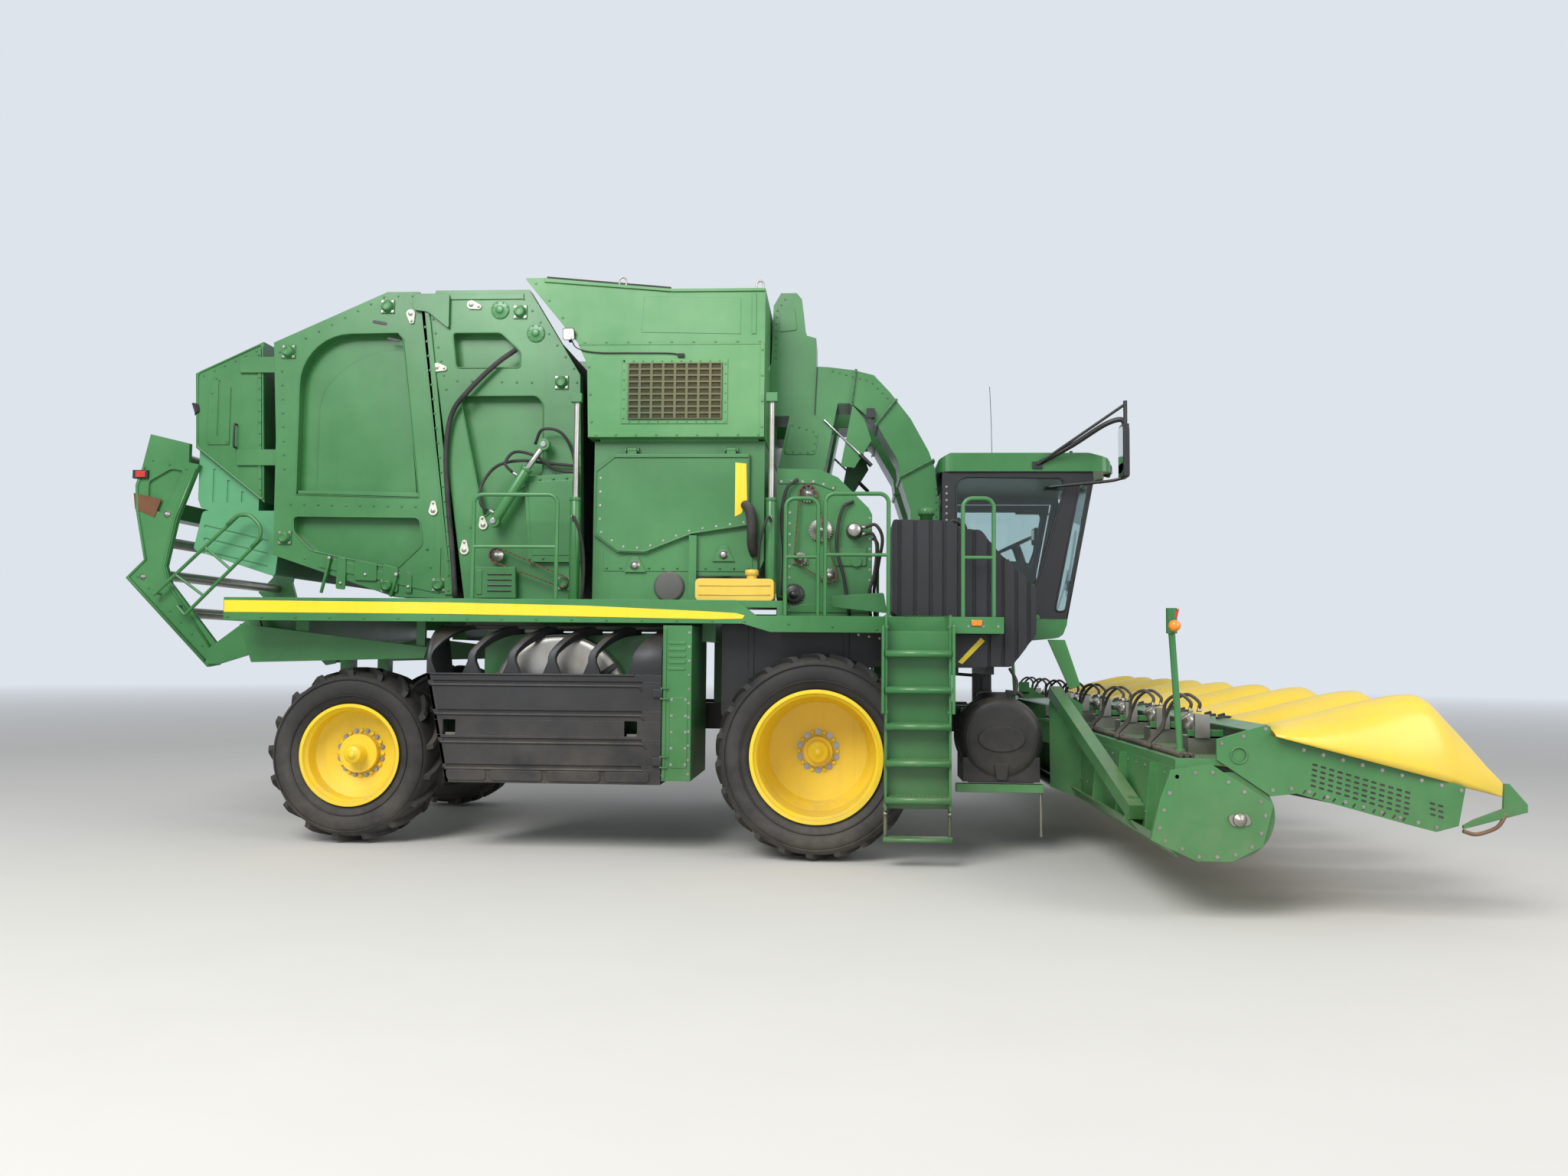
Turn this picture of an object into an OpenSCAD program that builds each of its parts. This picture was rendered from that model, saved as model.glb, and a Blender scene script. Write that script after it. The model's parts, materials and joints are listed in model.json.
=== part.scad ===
// Self-propelled cotton stripper with an on-board round module builder.
// X runs forward, Y to the machine's left, Z up. The origin is on the ground, under the middle of the machine.
// Side outlines are lists of [x, z] points, with x counted from the front axle.

/* [Whole machine] */
// Front axle ahead of the machine's middle
front_axle_x = 980; // [800:5:1100]
// Distance between the front and rear axles
wheelbase = 4190; // [4000:10:4400]
// Gap between fixed pieces that rest on each other
seat = 0.3; // [0.1:0.1:1]
// Radial gap between a pin and its bore
running = 0.05; // [0.02:0.01:0.1]
// Gap between pieces that move past each other
moving_gap = 8; // [6:1:12]

/* [Front wheels] */
// Radius over the lugs
front_tyre_r = 870; // [840:5:900]
// Width of the tyre
front_tyre_w = 520; // [480:5:540]
// Radius of the rim's flange
front_rim_r = 560; // [540:5:580]
// Distance from the centre line to the tyre's outer face
front_face_y = 2090; // [2060:5:2120]
// Height of the lugs on the worn tyres
front_lug_h = 24; // [15:1:40]
// Lugs on each side of a front tyre
front_lugs = 18; // [16:2:24]

/* [Rear wheels] */
// Radius over the lugs
rear_tyre_r = 790; // [760:5:810]
// Width of the tyre
rear_tyre_w = 520; // [480:5:540]
// Radius of the rim's flange
rear_rim_r = 457; // [440:1:470]
// Distance from the centre line to the tyre's outer face
rear_face_y = 1585; // [1570:5:1620]
// Height of the lugs
rear_lug_h = 45; // [35:1:55]
// Lugs on each side of a rear tyre
rear_lugs = 16; // [16:2:22]
// Distance from the centre line to the kingpin
kingpin_y = 960; // [940:5:980]
// Radius of the kingpin
kingpin_r = 40; // [30:1:50]

/* [Frame and deck] */
// Distance from the centre line to a rail's outer side
rail_y = 520; // [500:5:540]
// Width of a rail
rail_w = 120; // [100:5:140]
// Bottom of the rails
rail_z = 1000; // [980:5:1020]
// Height of the rails
rail_h = 250; // [220:5:260]
// Top of the builder's deck
deck_z = 2180; // [2150:5:2200]
// Depth of the deck's edge beam
deck_h = 200; // [160:5:220]
// Distance from the centre line to the deck's edge
deck_y = 1950; // [1900:5:2000]
// Width of a side walkway
walk_w = 550; // [500:5:560]
// Rear end of the deck, behind the front axle
deck_rear = 5190; // [5150:5:5250]
// Top of the platform beside the cab
platform_z = 2050; // [2030:5:2070]
// Thickness of that platform
platform_h = 140; // [100:5:150]

/* [Module builder] */
// Distance from the centre line to the outside of the builder's side plates
builder_y = 1380; // [1350:5:1390]
// Depth of a side plate's flanged edge
plate_t = 120; // [100:5:130]
// Thickness of the sheet behind a side plate's pressed windows
skin_t = 16; // [12:1:24]
// Depth that a roller bearing's flange stands out
flange_t = 14; // [10:1:18]
// Gate hinge behind the front axle
gate_x = 3700; // [3690:1:3710]
// Gate hinge above the ground
gate_z = 4950; // [4940:1:4960]
// Radius of the gate's hinge pins
gate_pin_r = 45; // [35:1:55]
// Thickness of the belts
belt_t = 14; // [10:1:20]
// Radius of the rollers under the belts
roller_r = 75; // [60:1:85]

/* [Module handler] */
// Handler hinge behind the front axle
handler_x = 5620; // [5600:1:5640]
// Handler hinge above the ground
handler_z = 1650; // [1640:1:1660]
// Radius of the handler's hinge pins
handler_pin_r = 35; // [30:1:40]
// Half the handler's width
handler_y = 1270; // [1240:5:1280]

/* [Accumulator and ducts] */
// Half the accumulator's width
accumulator_y = 1550; // [1520:5:1580]
// Half the width of the feeder housing under it
feeder_y = 1440; // [1400:5:1460]
// Thickness of the service door
bay_door_t = 40; // [30:5:50]
// Height of the service door's hinge
bay_door_z = 3560; // [3550:1:3570]
// Radius of the lift cylinders
lift_r = 45; // [35:1:55]
// Radius of their rods
lift_rod_r = 25; // [20:1:30]

/* [Cab] */
// Half the cab's width
cab_y = 950; // [930:5:970]
// Rear of the cab ahead of the front axle
cab_rear = 1130; // [1120:5:1150]
// Top of the cab floor
cab_floor_z = 2070; // [2060:5:2090]
// Underside of the cab roof
cab_roof_z = 3440; // [3420:5:3460]
// Thickness of the cab walls and door
cab_wall = 60; // [50:5:80]
// Thickness of the glass
glass_t = 8; // [6:1:12]

/* [Hitch and tanks] */
// Rear hitch hole behind the front axle
hitch_x = 5020; // [5000:5:5030]
// Radius of the hitch hole
hitch_r = 20; // [15:1:30]
// Thickness of the hitch plate
hitch_t = 40; // [30:5:50]
// Underside of the fuel tank
tank_z = 1630; // [1620:5:1650]

/* [Cooling box] */
// Radius of the rotary screen
screen_r = 615; // [580:5:625]
// Rotary screen's centre behind the front axle
screen_x = 2270; // [2260:1:2280]
// Rotary screen's centre above the ground
screen_z = 1262; // [1260:1:1270]
// Thickness of the screen door's skin
screen_skin = 30; // [20:5:40]

/* [Header] */
// Number of rows
rows = 8; // [4:2:8]
// Distance between rows
row_pitch = 1016; // [960:2:1030]
// Width of the slot that the plants pass through
row_slot = 150; // [120:5:180]
// Header pivot ahead of the front axle
header_x = 1400; // [1390:1:1410]
// Header pivot above the ground
header_z = 1150; // [1140:1:1160]
// Radius of the header's pivot pins
header_pin_r = 40; // [30:1:50]
// Radius of the cross auger over its flights
auger_r = 210; // [180:5:215]

/* [Hidden] */
$fn = 48;

green = [0.16, 0.36, 0.16];
faded = [0.36, 0.50, 0.36];
yellow = [0.85, 0.68, 0.10];
black = [0.07, 0.07, 0.07];
steel = [0.62, 0.62, 0.62];
mint = [0.62, 0.78, 0.66];

header_half = rows * row_pitch / 2;
builder_in = builder_y - plate_t;
builder_top = gate_z + 120;
screen_rear = wheelbase - rear_tyre_r - 30;
hitch_z = rail_z + 80;
deck_low = deck_z - deck_h;
rail_top = rail_z + rail_h;

// Points on an arc round c, from angle a0 to a1
function arc(c, r, a0, a1, n = 10) = [for (i = [0:n]) c + r * [cos(a0 + (a1 - a0) * i / n),
  sin(a0 + (a1 - a0) * i / n)]];
// The outline with every corner rounded back by r
function soften(p, r, n = 4) = [for (i = [0:len(p) - 1], k = [0:n])
  let (b = p[i], a = p[(i + len(p) - 1) % len(p)], c = p[(i + 1) % len(p)],
    s = b + r * (a - b) / norm(a - b), e = b + r * (c - b) / norm(c - b), t = k / n)
  (1 - t) * (1 - t) * s + 2 * t * (1 - t) * b + t * t * e];
// A rectangle as points
function rect(x0, z0, x1, z1) = [[x0, z0], [x1, z0], [x1, z1], [x0, z1]];

module machine() translate([front_axle_x, 0, 0]) children();
module both_sides() {
  children();
  mirror([0, 1, 0]) children();
}
// A side outline given thickness from y0 to y1
module slab(points, y0, y1) translate([0, y1, 0]) rotate([90, 0, 0]) linear_extrude(y1 - y0) polygon(points);
// An outline of [y, z] points given length from x0 to x1
module slab_x(points, x0, x1) translate([x0, 0, 0]) rotate([90, 0, 90]) linear_extrude(x1 - x0) polygon(points);
module block(x0, x1, y0, y1, z0, z1) translate([x0, y0, z0]) cube([x1 - x0, y1 - y0, z1 - z0]);
// A round bar along Y
module bar_y(x, z, r, y0, y1) translate([x, y1, z]) rotate([90, 0, 0]) cylinder(r = r, h = y1 - y0);
// A round bar between two points
module rod(a, b, r) {
  d = b - a;
  translate(a) rotate([0, acos(d[2] / norm(d)), atan2(d[1], d[0])]) cylinder(r = r, h = norm(d));
}
// A square tube of width w between two points
module beam(a, b, w) {
  d = b - a;
  translate(a) rotate([0, acos(d[2] / norm(d)), atan2(d[1], d[0])]) translate([-w / 2, -w / 2, 0])
    cube([w, w, norm(d)]);
}
// A solid through rings of points that all have as many points, listed clockwise seen from the last ring
module loft(rings) {
  n = len(rings[0]);
  last = (len(rings) - 1) * n;
  polyhedron([for (ring = rings, p = ring) p], concat([[for (i = [0:n - 1]) i]],
    [for (k = [0:len(rings) - 2], i = [0:n - 1]) [k * n + i, (k + 1) * n + i, (k + 1) * n + (i + 1) % n]],
    [for (k = [0:len(rings) - 2], i = [0:n - 1]) [k * n + i, (k + 1) * n + (i + 1) % n, k * n + (i + 1) % n]],
    [[for (i = [n - 1:-1:0]) last + i]]));
}
// A quarter bend of tube in a plane along X and Z, starting at angle a
module elbow(c, bend, r, a) translate(c) rotate([90, 0, 0]) rotate([0, 0, a]) rotate_extrude(angle = 90)
  translate([bend, 0]) circle(r = r);

// Frame: rails, cross members, brackets
cross_x = [-4700, -3250, -980, 600, 1240];
post_x = [-4700, -3250, -980];
beam_h = 150;
bracket_x = [1190, 1500];
module frame() machine() color(black) {
  both_sides() {
    block(-4900, header_x + 90, rail_y - rail_w, rail_y, rail_z, rail_top);
    block(-wheelbase - 150, -wheelbase + 150, rail_y - rail_w, rail_y, rear_tyre_r + 140 + seat, rail_z);
    block(-160, 160, rail_y - rail_w, rail_y, front_tyre_r + 120 + seat, rail_z);
    bar_y(header_x, header_z, header_pin_r, rail_y, rail_y + 210);
    block(cab_rear + 10, cab_rear + 90, rail_y - rail_w, rail_y, rail_top, 1890 - seat);
  }
  for (x = cross_x) block(x - 60, x + 60, -rail_y + rail_w, rail_y - rail_w, rail_z + 20, rail_top - 20);
  for (x = bracket_x) block(x - 40, x + 40, -1500, -rail_y + rail_w, 1560, tank_z - seat);
  for (x = bracket_x) block(x - 40, x + 40, -rail_y, -rail_y + rail_w, rail_top, 1560);
  for (x = [-2850, -1550]) block(x - 50, x + 50, -box_back_y + seat, -rail_y, rail_z + 20, rail_top - 20);
  difference() {
    slab([[-4759, rail_z + 20], [-hitch_x - 60, rail_z + 20], [-hitch_x - 60, hitch_z + 60], [-4759, rail_top - 20]],
      -hitch_t / 2, hitch_t / 2);
    bar_y(-hitch_x, hitch_z, hitch_r, -hitch_t, hitch_t);
  }
}

// Front axle: beam, final drives and stubs that carry the wheels
front_disc_y = 1410;
rear_disc_y = 1300;
hub_bore_r = 60;
module front_axle() machine() color(green) {
  block(-150, 150, -1050, 1050, front_tyre_r - 130, front_tyre_r + 120);
  both_sides() {
    bar_y(0, front_tyre_r, 290, 1000, 1330);
    bar_y(0, front_tyre_r, hub_bore_r, 1300, front_disc_y + 40);
  }
}

// Rear axle: beam with a kingpin boss at each end
boss_r = 110;
boss_h = 300;
module rear_axle() machine() color(green) translate([-wheelbase, 0, rear_tyre_r]) difference() {
  union() {
    block(-110, 110, -kingpin_y + 60, kingpin_y - 60, -120, 120);
    block(-150, 150, -rail_y, rail_y, 100, 140);
    for (s = [-1, 1]) translate([0, s * kingpin_y, -boss_h / 2]) cylinder(r = boss_r, h = boss_h);
  }
  for (s = [-1, 1]) translate([0, s * kingpin_y, -boss_h]) cylinder(r = kingpin_r + running, h = 2 * boss_h);
}
module knuckle(s) machine() color(green) translate([-wheelbase, s * kingpin_y, rear_tyre_r]) {
  for (z = [-1, 1]) translate([0, 0, z * (boss_h / 2 + moving_gap + 30) - 30]) cylinder(r = boss_r, h = 60);
  translate([0, 0, -boss_h / 2 - moving_gap - 30]) cylinder(r = kingpin_r, h = boss_h + 2 * moving_gap + 60);
  mirror([0, s < 0 ? 1 : 0, 0]) {
    block(-90, 90, boss_r + moving_gap, boss_r + 68, -boss_h / 2 - moving_gap - 60, boss_h / 2 + moving_gap + 60);
    for (z = [-1, 1]) block(-90, 90, 0, boss_r + 68, z * (boss_h / 2 + moving_gap + 30) - 30,
      z * (boss_h / 2 + moving_gap + 30) + 30);
    bar_y(0, 0, 100, boss_r + 60, rear_disc_y - kingpin_y - 20);
    bar_y(0, 0, hub_bore_r, boss_r + 60, rear_disc_y - kingpin_y + 40);
  }
}
module knuckle_left() knuckle(1);
module knuckle_right() knuckle(-1);

// Wheels, built with the axle along Z and the outer face up at z = w
tyre_sides = 20;
lug_lean = 17;
lug_w = [46, 62];
// Four corners of a lug's end: as wide as wide, from the carcass out to radius top, turned by an angle
function lug_end(wide, low, top, z, turn) = [for (c = [[low, -1], [low, 1], [top, 1], [top, -1]])
  [c[0] * cos(turn) - c[1] * wide / 2 * sin(turn), c[0] * sin(turn) + c[1] * wide / 2 * cos(turn), z]];
module lug(r, w, h) hull() polyhedron(concat(lug_end(lug_w[0], r - h - 40, r, w / 2 - 12, 0),
  lug_end(lug_w[1], r - h - 60, r - 12, w - 14, -lug_lean)), [[0, 1, 2, 3], [4, 5, 6, 7]]);
module tyre(r, w, rim_r, h, lugs) {
  crown = r - h;
  bead = (rim_r - 12) / cos(180 / tyre_sides);
  rotate_extrude($fn = tyre_sides) polygon([[bead, 34], [crown - 140, 0], [crown, 64], [crown, w - 64],
    [crown - 140, w], [bead, w - 34]]);
  for (m = [0, 1], i = [0:lugs - 1]) translate([0, 0, m * w]) mirror([0, 0, m])
    rotate([0, 0, 90 + (i + m / 2) * 360 / lugs]) lug(r, w, h);
}
// Rim barrel and its dished disc, d from the outer face to the disc
module rim(w, rim_r, d, hub, nuts, pcd) difference() {
  union() {
    rotate_extrude($fn = 64) polygon([[rim_r - 12 - seat, 30], [rim_r, 14], [rim_r, 2], [rim_r - 30, 2],
      [rim_r - 40, 30], [rim_r - 60, 60], [rim_r - 60, w - d > 0 ? w - d : 60], [rim_r - 60, w - 60],
      [rim_r - 40, w - 30], [rim_r - 30, w - 2], [rim_r, w - 2], [rim_r, w - 14], [rim_r - 12 - seat, w - 30],
      [rim_r - 12 - seat, w - 50], [rim_r - 20, w - 66], [rim_r - 40, w - 90], [rim_r - 40, 90], [rim_r - 20, 66],
      [rim_r - 12 - seat, 50]]);
    rotate_extrude($fn = 64) polygon([[0, w - d - 20], [hub + 40, w - d - 20], [rim_r - 120, w - d + 10],
      [rim_r - 42, max(60, w - d + 60)], [rim_r - 42, max(60, w - d + 60) + 24], [rim_r - 60,
      max(60, w - d + 60) + 24], [rim_r - 124, w - d + 34], [hub + 40, w - d + 4], [0, w - d + 4]]);
    translate([0, 0, w - d - 20]) cylinder(r = hub, h = 100);
    for (i = [0:nuts - 1]) rotate([0, 0, i * 360 / nuts]) translate([pcd / 2, 0, w - d])
      cylinder(r = 18, h = 26, $fn = 6);
  }
  translate([0, 0, w - d - 40]) cylinder(r = hub_bore_r + running, h = 82);
}
module wheel_at(x, r, face, w, s) machine() translate([x, s * (face - w), r]) rotate([-90 * s, 0, 0]) children();
module front_tyre(s) wheel_at(0, front_tyre_r, front_face_y, front_tyre_w, s) color(black)
  tyre(front_tyre_r, front_tyre_w, front_rim_r, front_lug_h, front_lugs);
module front_rim(s) wheel_at(0, front_tyre_r, front_face_y, front_tyre_w, s) color(yellow)
  rim(front_tyre_w, front_rim_r, front_face_y - front_disc_y, 130, 10, 340);
module rear_tyre(s) wheel_at(-wheelbase, rear_tyre_r, rear_face_y, rear_tyre_w, s) color(black)
  tyre(rear_tyre_r, rear_tyre_w, rear_rim_r, rear_lug_h, rear_lugs);
module rear_rim(s) wheel_at(-wheelbase, rear_tyre_r, rear_face_y, rear_tyre_w, s) color(yellow)
  rim(rear_tyre_w, rear_rim_r, rear_face_y - rear_disc_y, 175, 12, 410);
module front_left_tyre() front_tyre(1);
module front_right_tyre() front_tyre(-1);
module front_left_rim() front_rim(1);
module front_right_rim() front_rim(-1);
module rear_left_tyre() rear_tyre(1);
module rear_right_tyre() rear_tyre(-1);
module rear_left_rim() rear_rim(1);
module rear_right_rim() rear_rim(-1);

// Engine as one plain block on the rails
module engine() machine() color(steel) block(-3000, -1500, -rail_y, rail_y, rail_top + seat, 1880);

// Deck: side walkways, cross beams, the platforms beside the cab and the guards over the rear tyres
platform_low = platform_z - platform_h;
guard_y = 1500;
module deck() machine() color(green) {
  both_sides() {
    block(-deck_rear, -350, walk_in, deck_y - 59, deck_z - 60, deck_z);
    slab([[-deck_rear, deck_low], [-640, deck_low], [-400, platform_low], [-350, platform_low], [-350, platform_z],
      [-520, platform_z], [-700, deck_z], [-deck_rear, deck_z]], deck_y - 60, deck_y);
    block(-351, 620, 1000, deck_y, platform_low, platform_z);
    block(-350, -300, 1000, deck_y - 60, platform_z - 1, deck_z);
    block(619, 1570, 1770, deck_y, platform_low, platform_z);
  }
  block(619, 1570, 1000, 1771, platform_low, platform_z);
  both_sides() {
    slab([[-deck_rear - 90, 1960], [-3530, 1760], [-3560, 1660], [-deck_rear + 30, 1610]], guard_y - 20, guard_y);
    slab([[-deck_rear - 60, deck_z - 59], [-deck_rear + 40, deck_z - 59], [-4990, 1650], [-5090, 1650]],
      guard_y - 60, guard_y - 19);
    block(-3640, -3560, guard_y - 60, guard_y - 19, 1690, deck_z - 59);
  }
  block(-340, -240, -1050, 1050, platform_low, platform_z);
}

// Cross beams between the walkways, on posts from the frame's rails. The rear one carries the handler's brackets
walk_in = deck_y - walk_w;
beam_low = deck_low - beam_h;
module deck_beams() machine() color(green) {
  for (x = post_x) {
    block(x - 60, x + 60, -walk_in + seat, walk_in - seat, beam_low, deck_z);
    block(x - 60, x + 60, -walk_in - 80, walk_in + 80, beam_low, deck_z - 60 - seat);
    for (y = [rail_w - rail_y, rail_y]) block(x - 60, x + 60, y - rail_w, y, rail_top + seat, beam_low + 1);
  }
  both_sides() {
    slab([[-4700, deck_z - 60], [-4700, 1860], [-5560, 1590], [-5690, 1590], [-5690, 1720], [-deck_rear, 2090]],
      handler_y + moving_gap, handler_y + moving_gap + 30);
    bar_y(-handler_x, handler_z, handler_pin_r, handler_y - 50, handler_y + moving_gap + 30);
  }
}

// Ladders hung from the platform's edge in front of the tyres
ladder_y = deck_y + seat;
step_z = 250;
step_pitch = 295;
module ladders() machine() both_sides() color(green) {
  for (x = [560, 1080]) {
    block(x, x + 20, 2180, 2320, 470, platform_z);
    block(x, x + 20, ladder_y, 2181, platform_low, platform_z);
    block(x + 6, x + 14, 2230, 2270, step_z, 471);
  }
  block(560, 1100, 2180, 2190, 470, platform_low + 1);
  block(561, 1099, ladder_y, 2189, platform_low, platform_low + 12);
  for (i = [1:5]) translate([0, 0, step_z + i * step_pitch]) block(561, 1099, 2185, 2340, 0, 34);
  block(550, 1110, 2190, 2320, step_z - 34, step_z + 1);
  for (x = [545, 1115]) {
    rod([x, 2340, 1250], [x, 2340, 1960], 14);
    for (z = [1260, 1950]) bar_y(x, z, 12, 2300, 2341);
    for (z = [1260, 1950]) rod([x, 2305, z], [830 + (x > 830 ? 241 : -241), 2305, z], 12);
  }
}

// Handrails: loops of tube standing on the deck edge
rail_t = 18;
rail_bend = 80;
module rail_loop(x0, x1, y, z0, z1) {
  for (x = [x0, x1]) rod([x, y, z0], [x, y, z1 - rail_bend], rail_t);
  rod([x0 + rail_bend, y, z1], [x1 - rail_bend, y, z1], rail_t);
  elbow([x0 + rail_bend, y, z1 - rail_bend], rail_bend, rail_t, 90);
  elbow([x1 - rail_bend, y, z1 - rail_bend], rail_bend, rail_t, 0);
  rod([x0, y, (z0 + z1) / 2], [x1, y, (z0 + z1) / 2], rail_t - 3);
}
module handrails() machine() color(green) {
  both_sides() {
    rail_loop(-3000, -2265, deck_y - 40, deck_z + seat, 3090);
    rail_loop(-280, 0, deck_y - 40, platform_z + seat, 3060);
    rail_loop(60, 600, deck_y - 40, platform_z + seat, 3100);
  }
  rail_loop(1230, 1490, 40 - deck_y, platform_z + seat, 3060);
}

// Feeder housing between the builder and the cab
module feeder_housing() machine() color(green) {
  slab([[-2050, 2420], [-560, 2420], [-500, 2560], [-500, 3640], [-2050, 3640]], -feeder_y, feeder_y);
  both_sides() block(-2050, -1160, 900, feeder_y, deck_z + seat, 2421);
  translate([0, -bay_hinge_y, bay_door_z]) for (x = bay_hinge_x) {
    rod([x - 60, 0, 0], [x + 60, 0, 0], 10);
    for (e = [-62, 50]) block(x + e, x + e + 12, -20, bay_hinge_y - feeder_y + 1, -20, 20);
  }
}
bay_hinge_x = [-1700, -800];
bay_hinge_y = feeder_y + moving_gap + bay_door_t / 2;

module bay_door() machine() color(green) difference() {
  union() {
    slab([[-1840, bay_door_z - 40], [-630, bay_door_z - 40], [-630, 2870], [-1150, 2790], [-1570, 2620],
      [-1820, 2630], [-2040, 2790], [-2040, 3360]], -feeder_y - moving_gap - bay_door_t, -feeder_y - moving_gap);
    for (x = bay_hinge_x) {
      rod([x - 42, -bay_hinge_y, bay_door_z], [x + 42, -bay_hinge_y, bay_door_z], 18);
      block(x - 42, x + 42, -bay_hinge_y - 14, -bay_hinge_y + 14, bay_door_z - 60, bay_door_z);
    }
  }
  for (x = bay_hinge_x) rod([x - 60, -bay_hinge_y, bay_door_z], [x + 60, -bay_hinge_y, bay_door_z], 10 + running);
}

// Accumulator: the tall box that feeds the builder
acc_front = -500;
acc_seam = 4500;
acc_roof = 5020;
module accumulator() machine() color(faded) {
  slab([[-2090, 3660], [acc_front, 3660], [acc_front, acc_seam], [-2190, acc_seam], [-2110, 4330]],
    -accumulator_y, accumulator_y);
  slab([[-2180, acc_seam - 1], [acc_front, acc_seam - 1], [acc_front, acc_roof], [-1340, acc_roof], [-2510, 5130],
    [-2690, 5130], [-2690, 5115]], -accumulator_y + 20, accumulator_y - 20);
  block(-2000, -560, -feeder_y, feeder_y, 3640 + seat, 3661);
}
module accumulator_grilles() machine() color([0.25, 0.18, 0.12]) both_sides()
  translate([0, accumulator_y + seat, 0]) difference() {
    block(-1730, -880, 0, 25, 3820, 4330);
    for (i = [0:7], k = [0:8]) translate([-1730 + 106.25 * i, 0, 3820 + 56.7 * k])
      block(12, 94, 8, 40, 8, 48);
  }

// Air ducts from the header, up behind the cab and back into the accumulator
// Outline points of the main duct: down its front, over the top and back under the bend
duct_main = [[840, 1350], [1110, 1350], [1110, 3090], [1070, 3480], [1010, 3650], [840, 3960], [640, 4220],
  [490, 4380], [300, 4430], [60, 4460], [acc_front + seat, 4490], [acc_front + seat, 3990], [-100, 3990],
  [160, 4110], [280, 4110], [520, 3910], [720, 3560], [740, 3400], [840, 3090]];
duct_y = [330, 860];
// A flange where two duct pieces join, from a to b in side view
module duct_band(a, b, t) {
  d = (b - a) / norm(b - a);
  n = t / 2 * [-d[1], d[0]];
  slab([a - 14 * d - n, b + 14 * d - n, b + 14 * d + n, a - 14 * d + n], duct_y[0] - 14, duct_y[1] + 14);
}
module ducts() machine() color(green) both_sides() {
  slab(duct_main, duct_y[0], duct_y[1]);
  slab([[-420, platform_z + seat], [-60, platform_z + seat], [-60, 3300], [30, 3500], [150, 4111], [-99, 4000],
    [-300, 4050], [-410, 3500]], duct_y[0], duct_y[1]);
  slab([[-490, 4489], [-60, 4450], [-60, 4740], [-160, 4770], [-200, 5120], [-250, 5180], [-400, 5180],
    [-470, 5060]], duct_y[0], duct_y[1]);
  duct_band([740, 3400], [1050, 3560], 30);
  duct_band([520, 3910], [700, 4140], 24);
  duct_band([280, 4110], [320, 4425], 24);
  duct_band([840, 2400], [1110, 2400], 24);
}
// Cleaner: a closed box with its drive on the outer side
cleaner_y = 1400;
cleaner_drives = [[10, 2840, 60], [-110, 3170, 45], [-170, 2580, 38], [90, 2430, 38], [330, 2560, 50]];
module cleaner() machine() color(green) {
  slab([[-290, platform_z + seat], [470, platform_z + seat], [470, 2980], [440, 3040], [160, 3320], [0, 3390],
    [-390, 3400], [-390, deck_z + 50], [-290, deck_z + 50]], -cleaner_y, -1000);
  for (d = cleaner_drives) bar_y(d[0], d[1], d[2], -cleaner_y - 34, -cleaner_y + 1);
  bar_y(310, 2830, 55, -cleaner_y - 110, -cleaner_y + 1);
}
module oil_tank() machine() color([0.80, 0.55, 0.10]) {
  slab(soften(rect(-1060, deck_z + seat, -380, 2370), 40), -1860, -1640);
  translate([-580, -1750, 2360]) cylinder(r = 45, h = 80);
}
// Fuel tank: a moulded body with upright ribs pressed into its sides
tank_y = [1010, 1750];
tank_side = [[640, 2100], [1140, tank_z], [1660, tank_z], [1870, 1910], [1870, 2320], [1550, 2620], [1400, 2810],
  [1240, 2820], [1140, 2890], [640, 2900]];
tank_grooves = [700, 835, 970, 1085, 1210, 1340, 1465, 1585, 1700, 1805];
module fuel_tank() machine() color(black) {
  difference() {
    slab(soften(tank_side, 30, 3), -tank_y[1], -tank_y[0]);
    for (x = tank_grooves) block(x - 16, x + 16, -tank_y[1] - 1, -tank_y[1] + 22, 1600, 3000);
  }
  translate([940, -1600, 2880]) cylinder(r = 50, h = 70);
  translate([940, -1600, 2949]) cylinder(r = 64, h = 50);
}
// Round tank hung under the fuel tank: a drum with rounded ends on a flat foot
drum = [1585, 1010];
drum_r = 365;
drum_y = [1100, 1650];
module round_tank() machine() color(black) {
  translate([drum[0], -drum_y[0], drum[1]]) rotate([90, 0, 0]) rotate_extrude($fn = 64)
    polygon(concat([[0, 0], [drum_r - 40, 0], [drum_r, 40]],
      arc([drum_r - 90, drum_y[1] - drum_y[0] - 90], 90, 0, 90, 5), [[0, drum_y[1] - drum_y[0] + 12]]));
  block(drum[0] - 330, drum[0] + 330, -drum_y[1] + 20, -drum_y[0] - 20, drum[1] - drum_r - 5, drum[1] - 160);
  translate([drum[0], -1450, drum[1]]) cylinder(r = 130, h = drum_r + 30);
  block(1460, 1540, -1300, -drum_y[0], drum[1] + 200, 1560 - seat);
}

// Cylinders that lift the accumulator
module lift_cylinders() machine() both_sides() for (x = [-2190, -430]) {
  color(green) rod([x, 1560, deck_z + seat], [x, 1560, 3100], lift_r);
  color(steel) rod([x, 1560, 3100], [x, 1560, 4000], lift_rod_r);
}

// Cab
cab_side = [[cab_rear, cab_floor_z], [2270, cab_floor_z], [2530, 3380], [2520, cab_roof_z], [cab_rear, cab_roof_z]];
cab_hinge = [cab_rear + 70, cab_y + 16];
cab_hinge_z = [2300, 3200];
module cab_floor() machine() color(green)
  slab([[cab_rear, 1890], [2150, 1890], [2200, 1900], [2240, 1930], [2275, 2020], [2280, cab_floor_z - seat],
    [cab_rear, cab_floor_z - seat]], -cab_y, cab_y);
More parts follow.
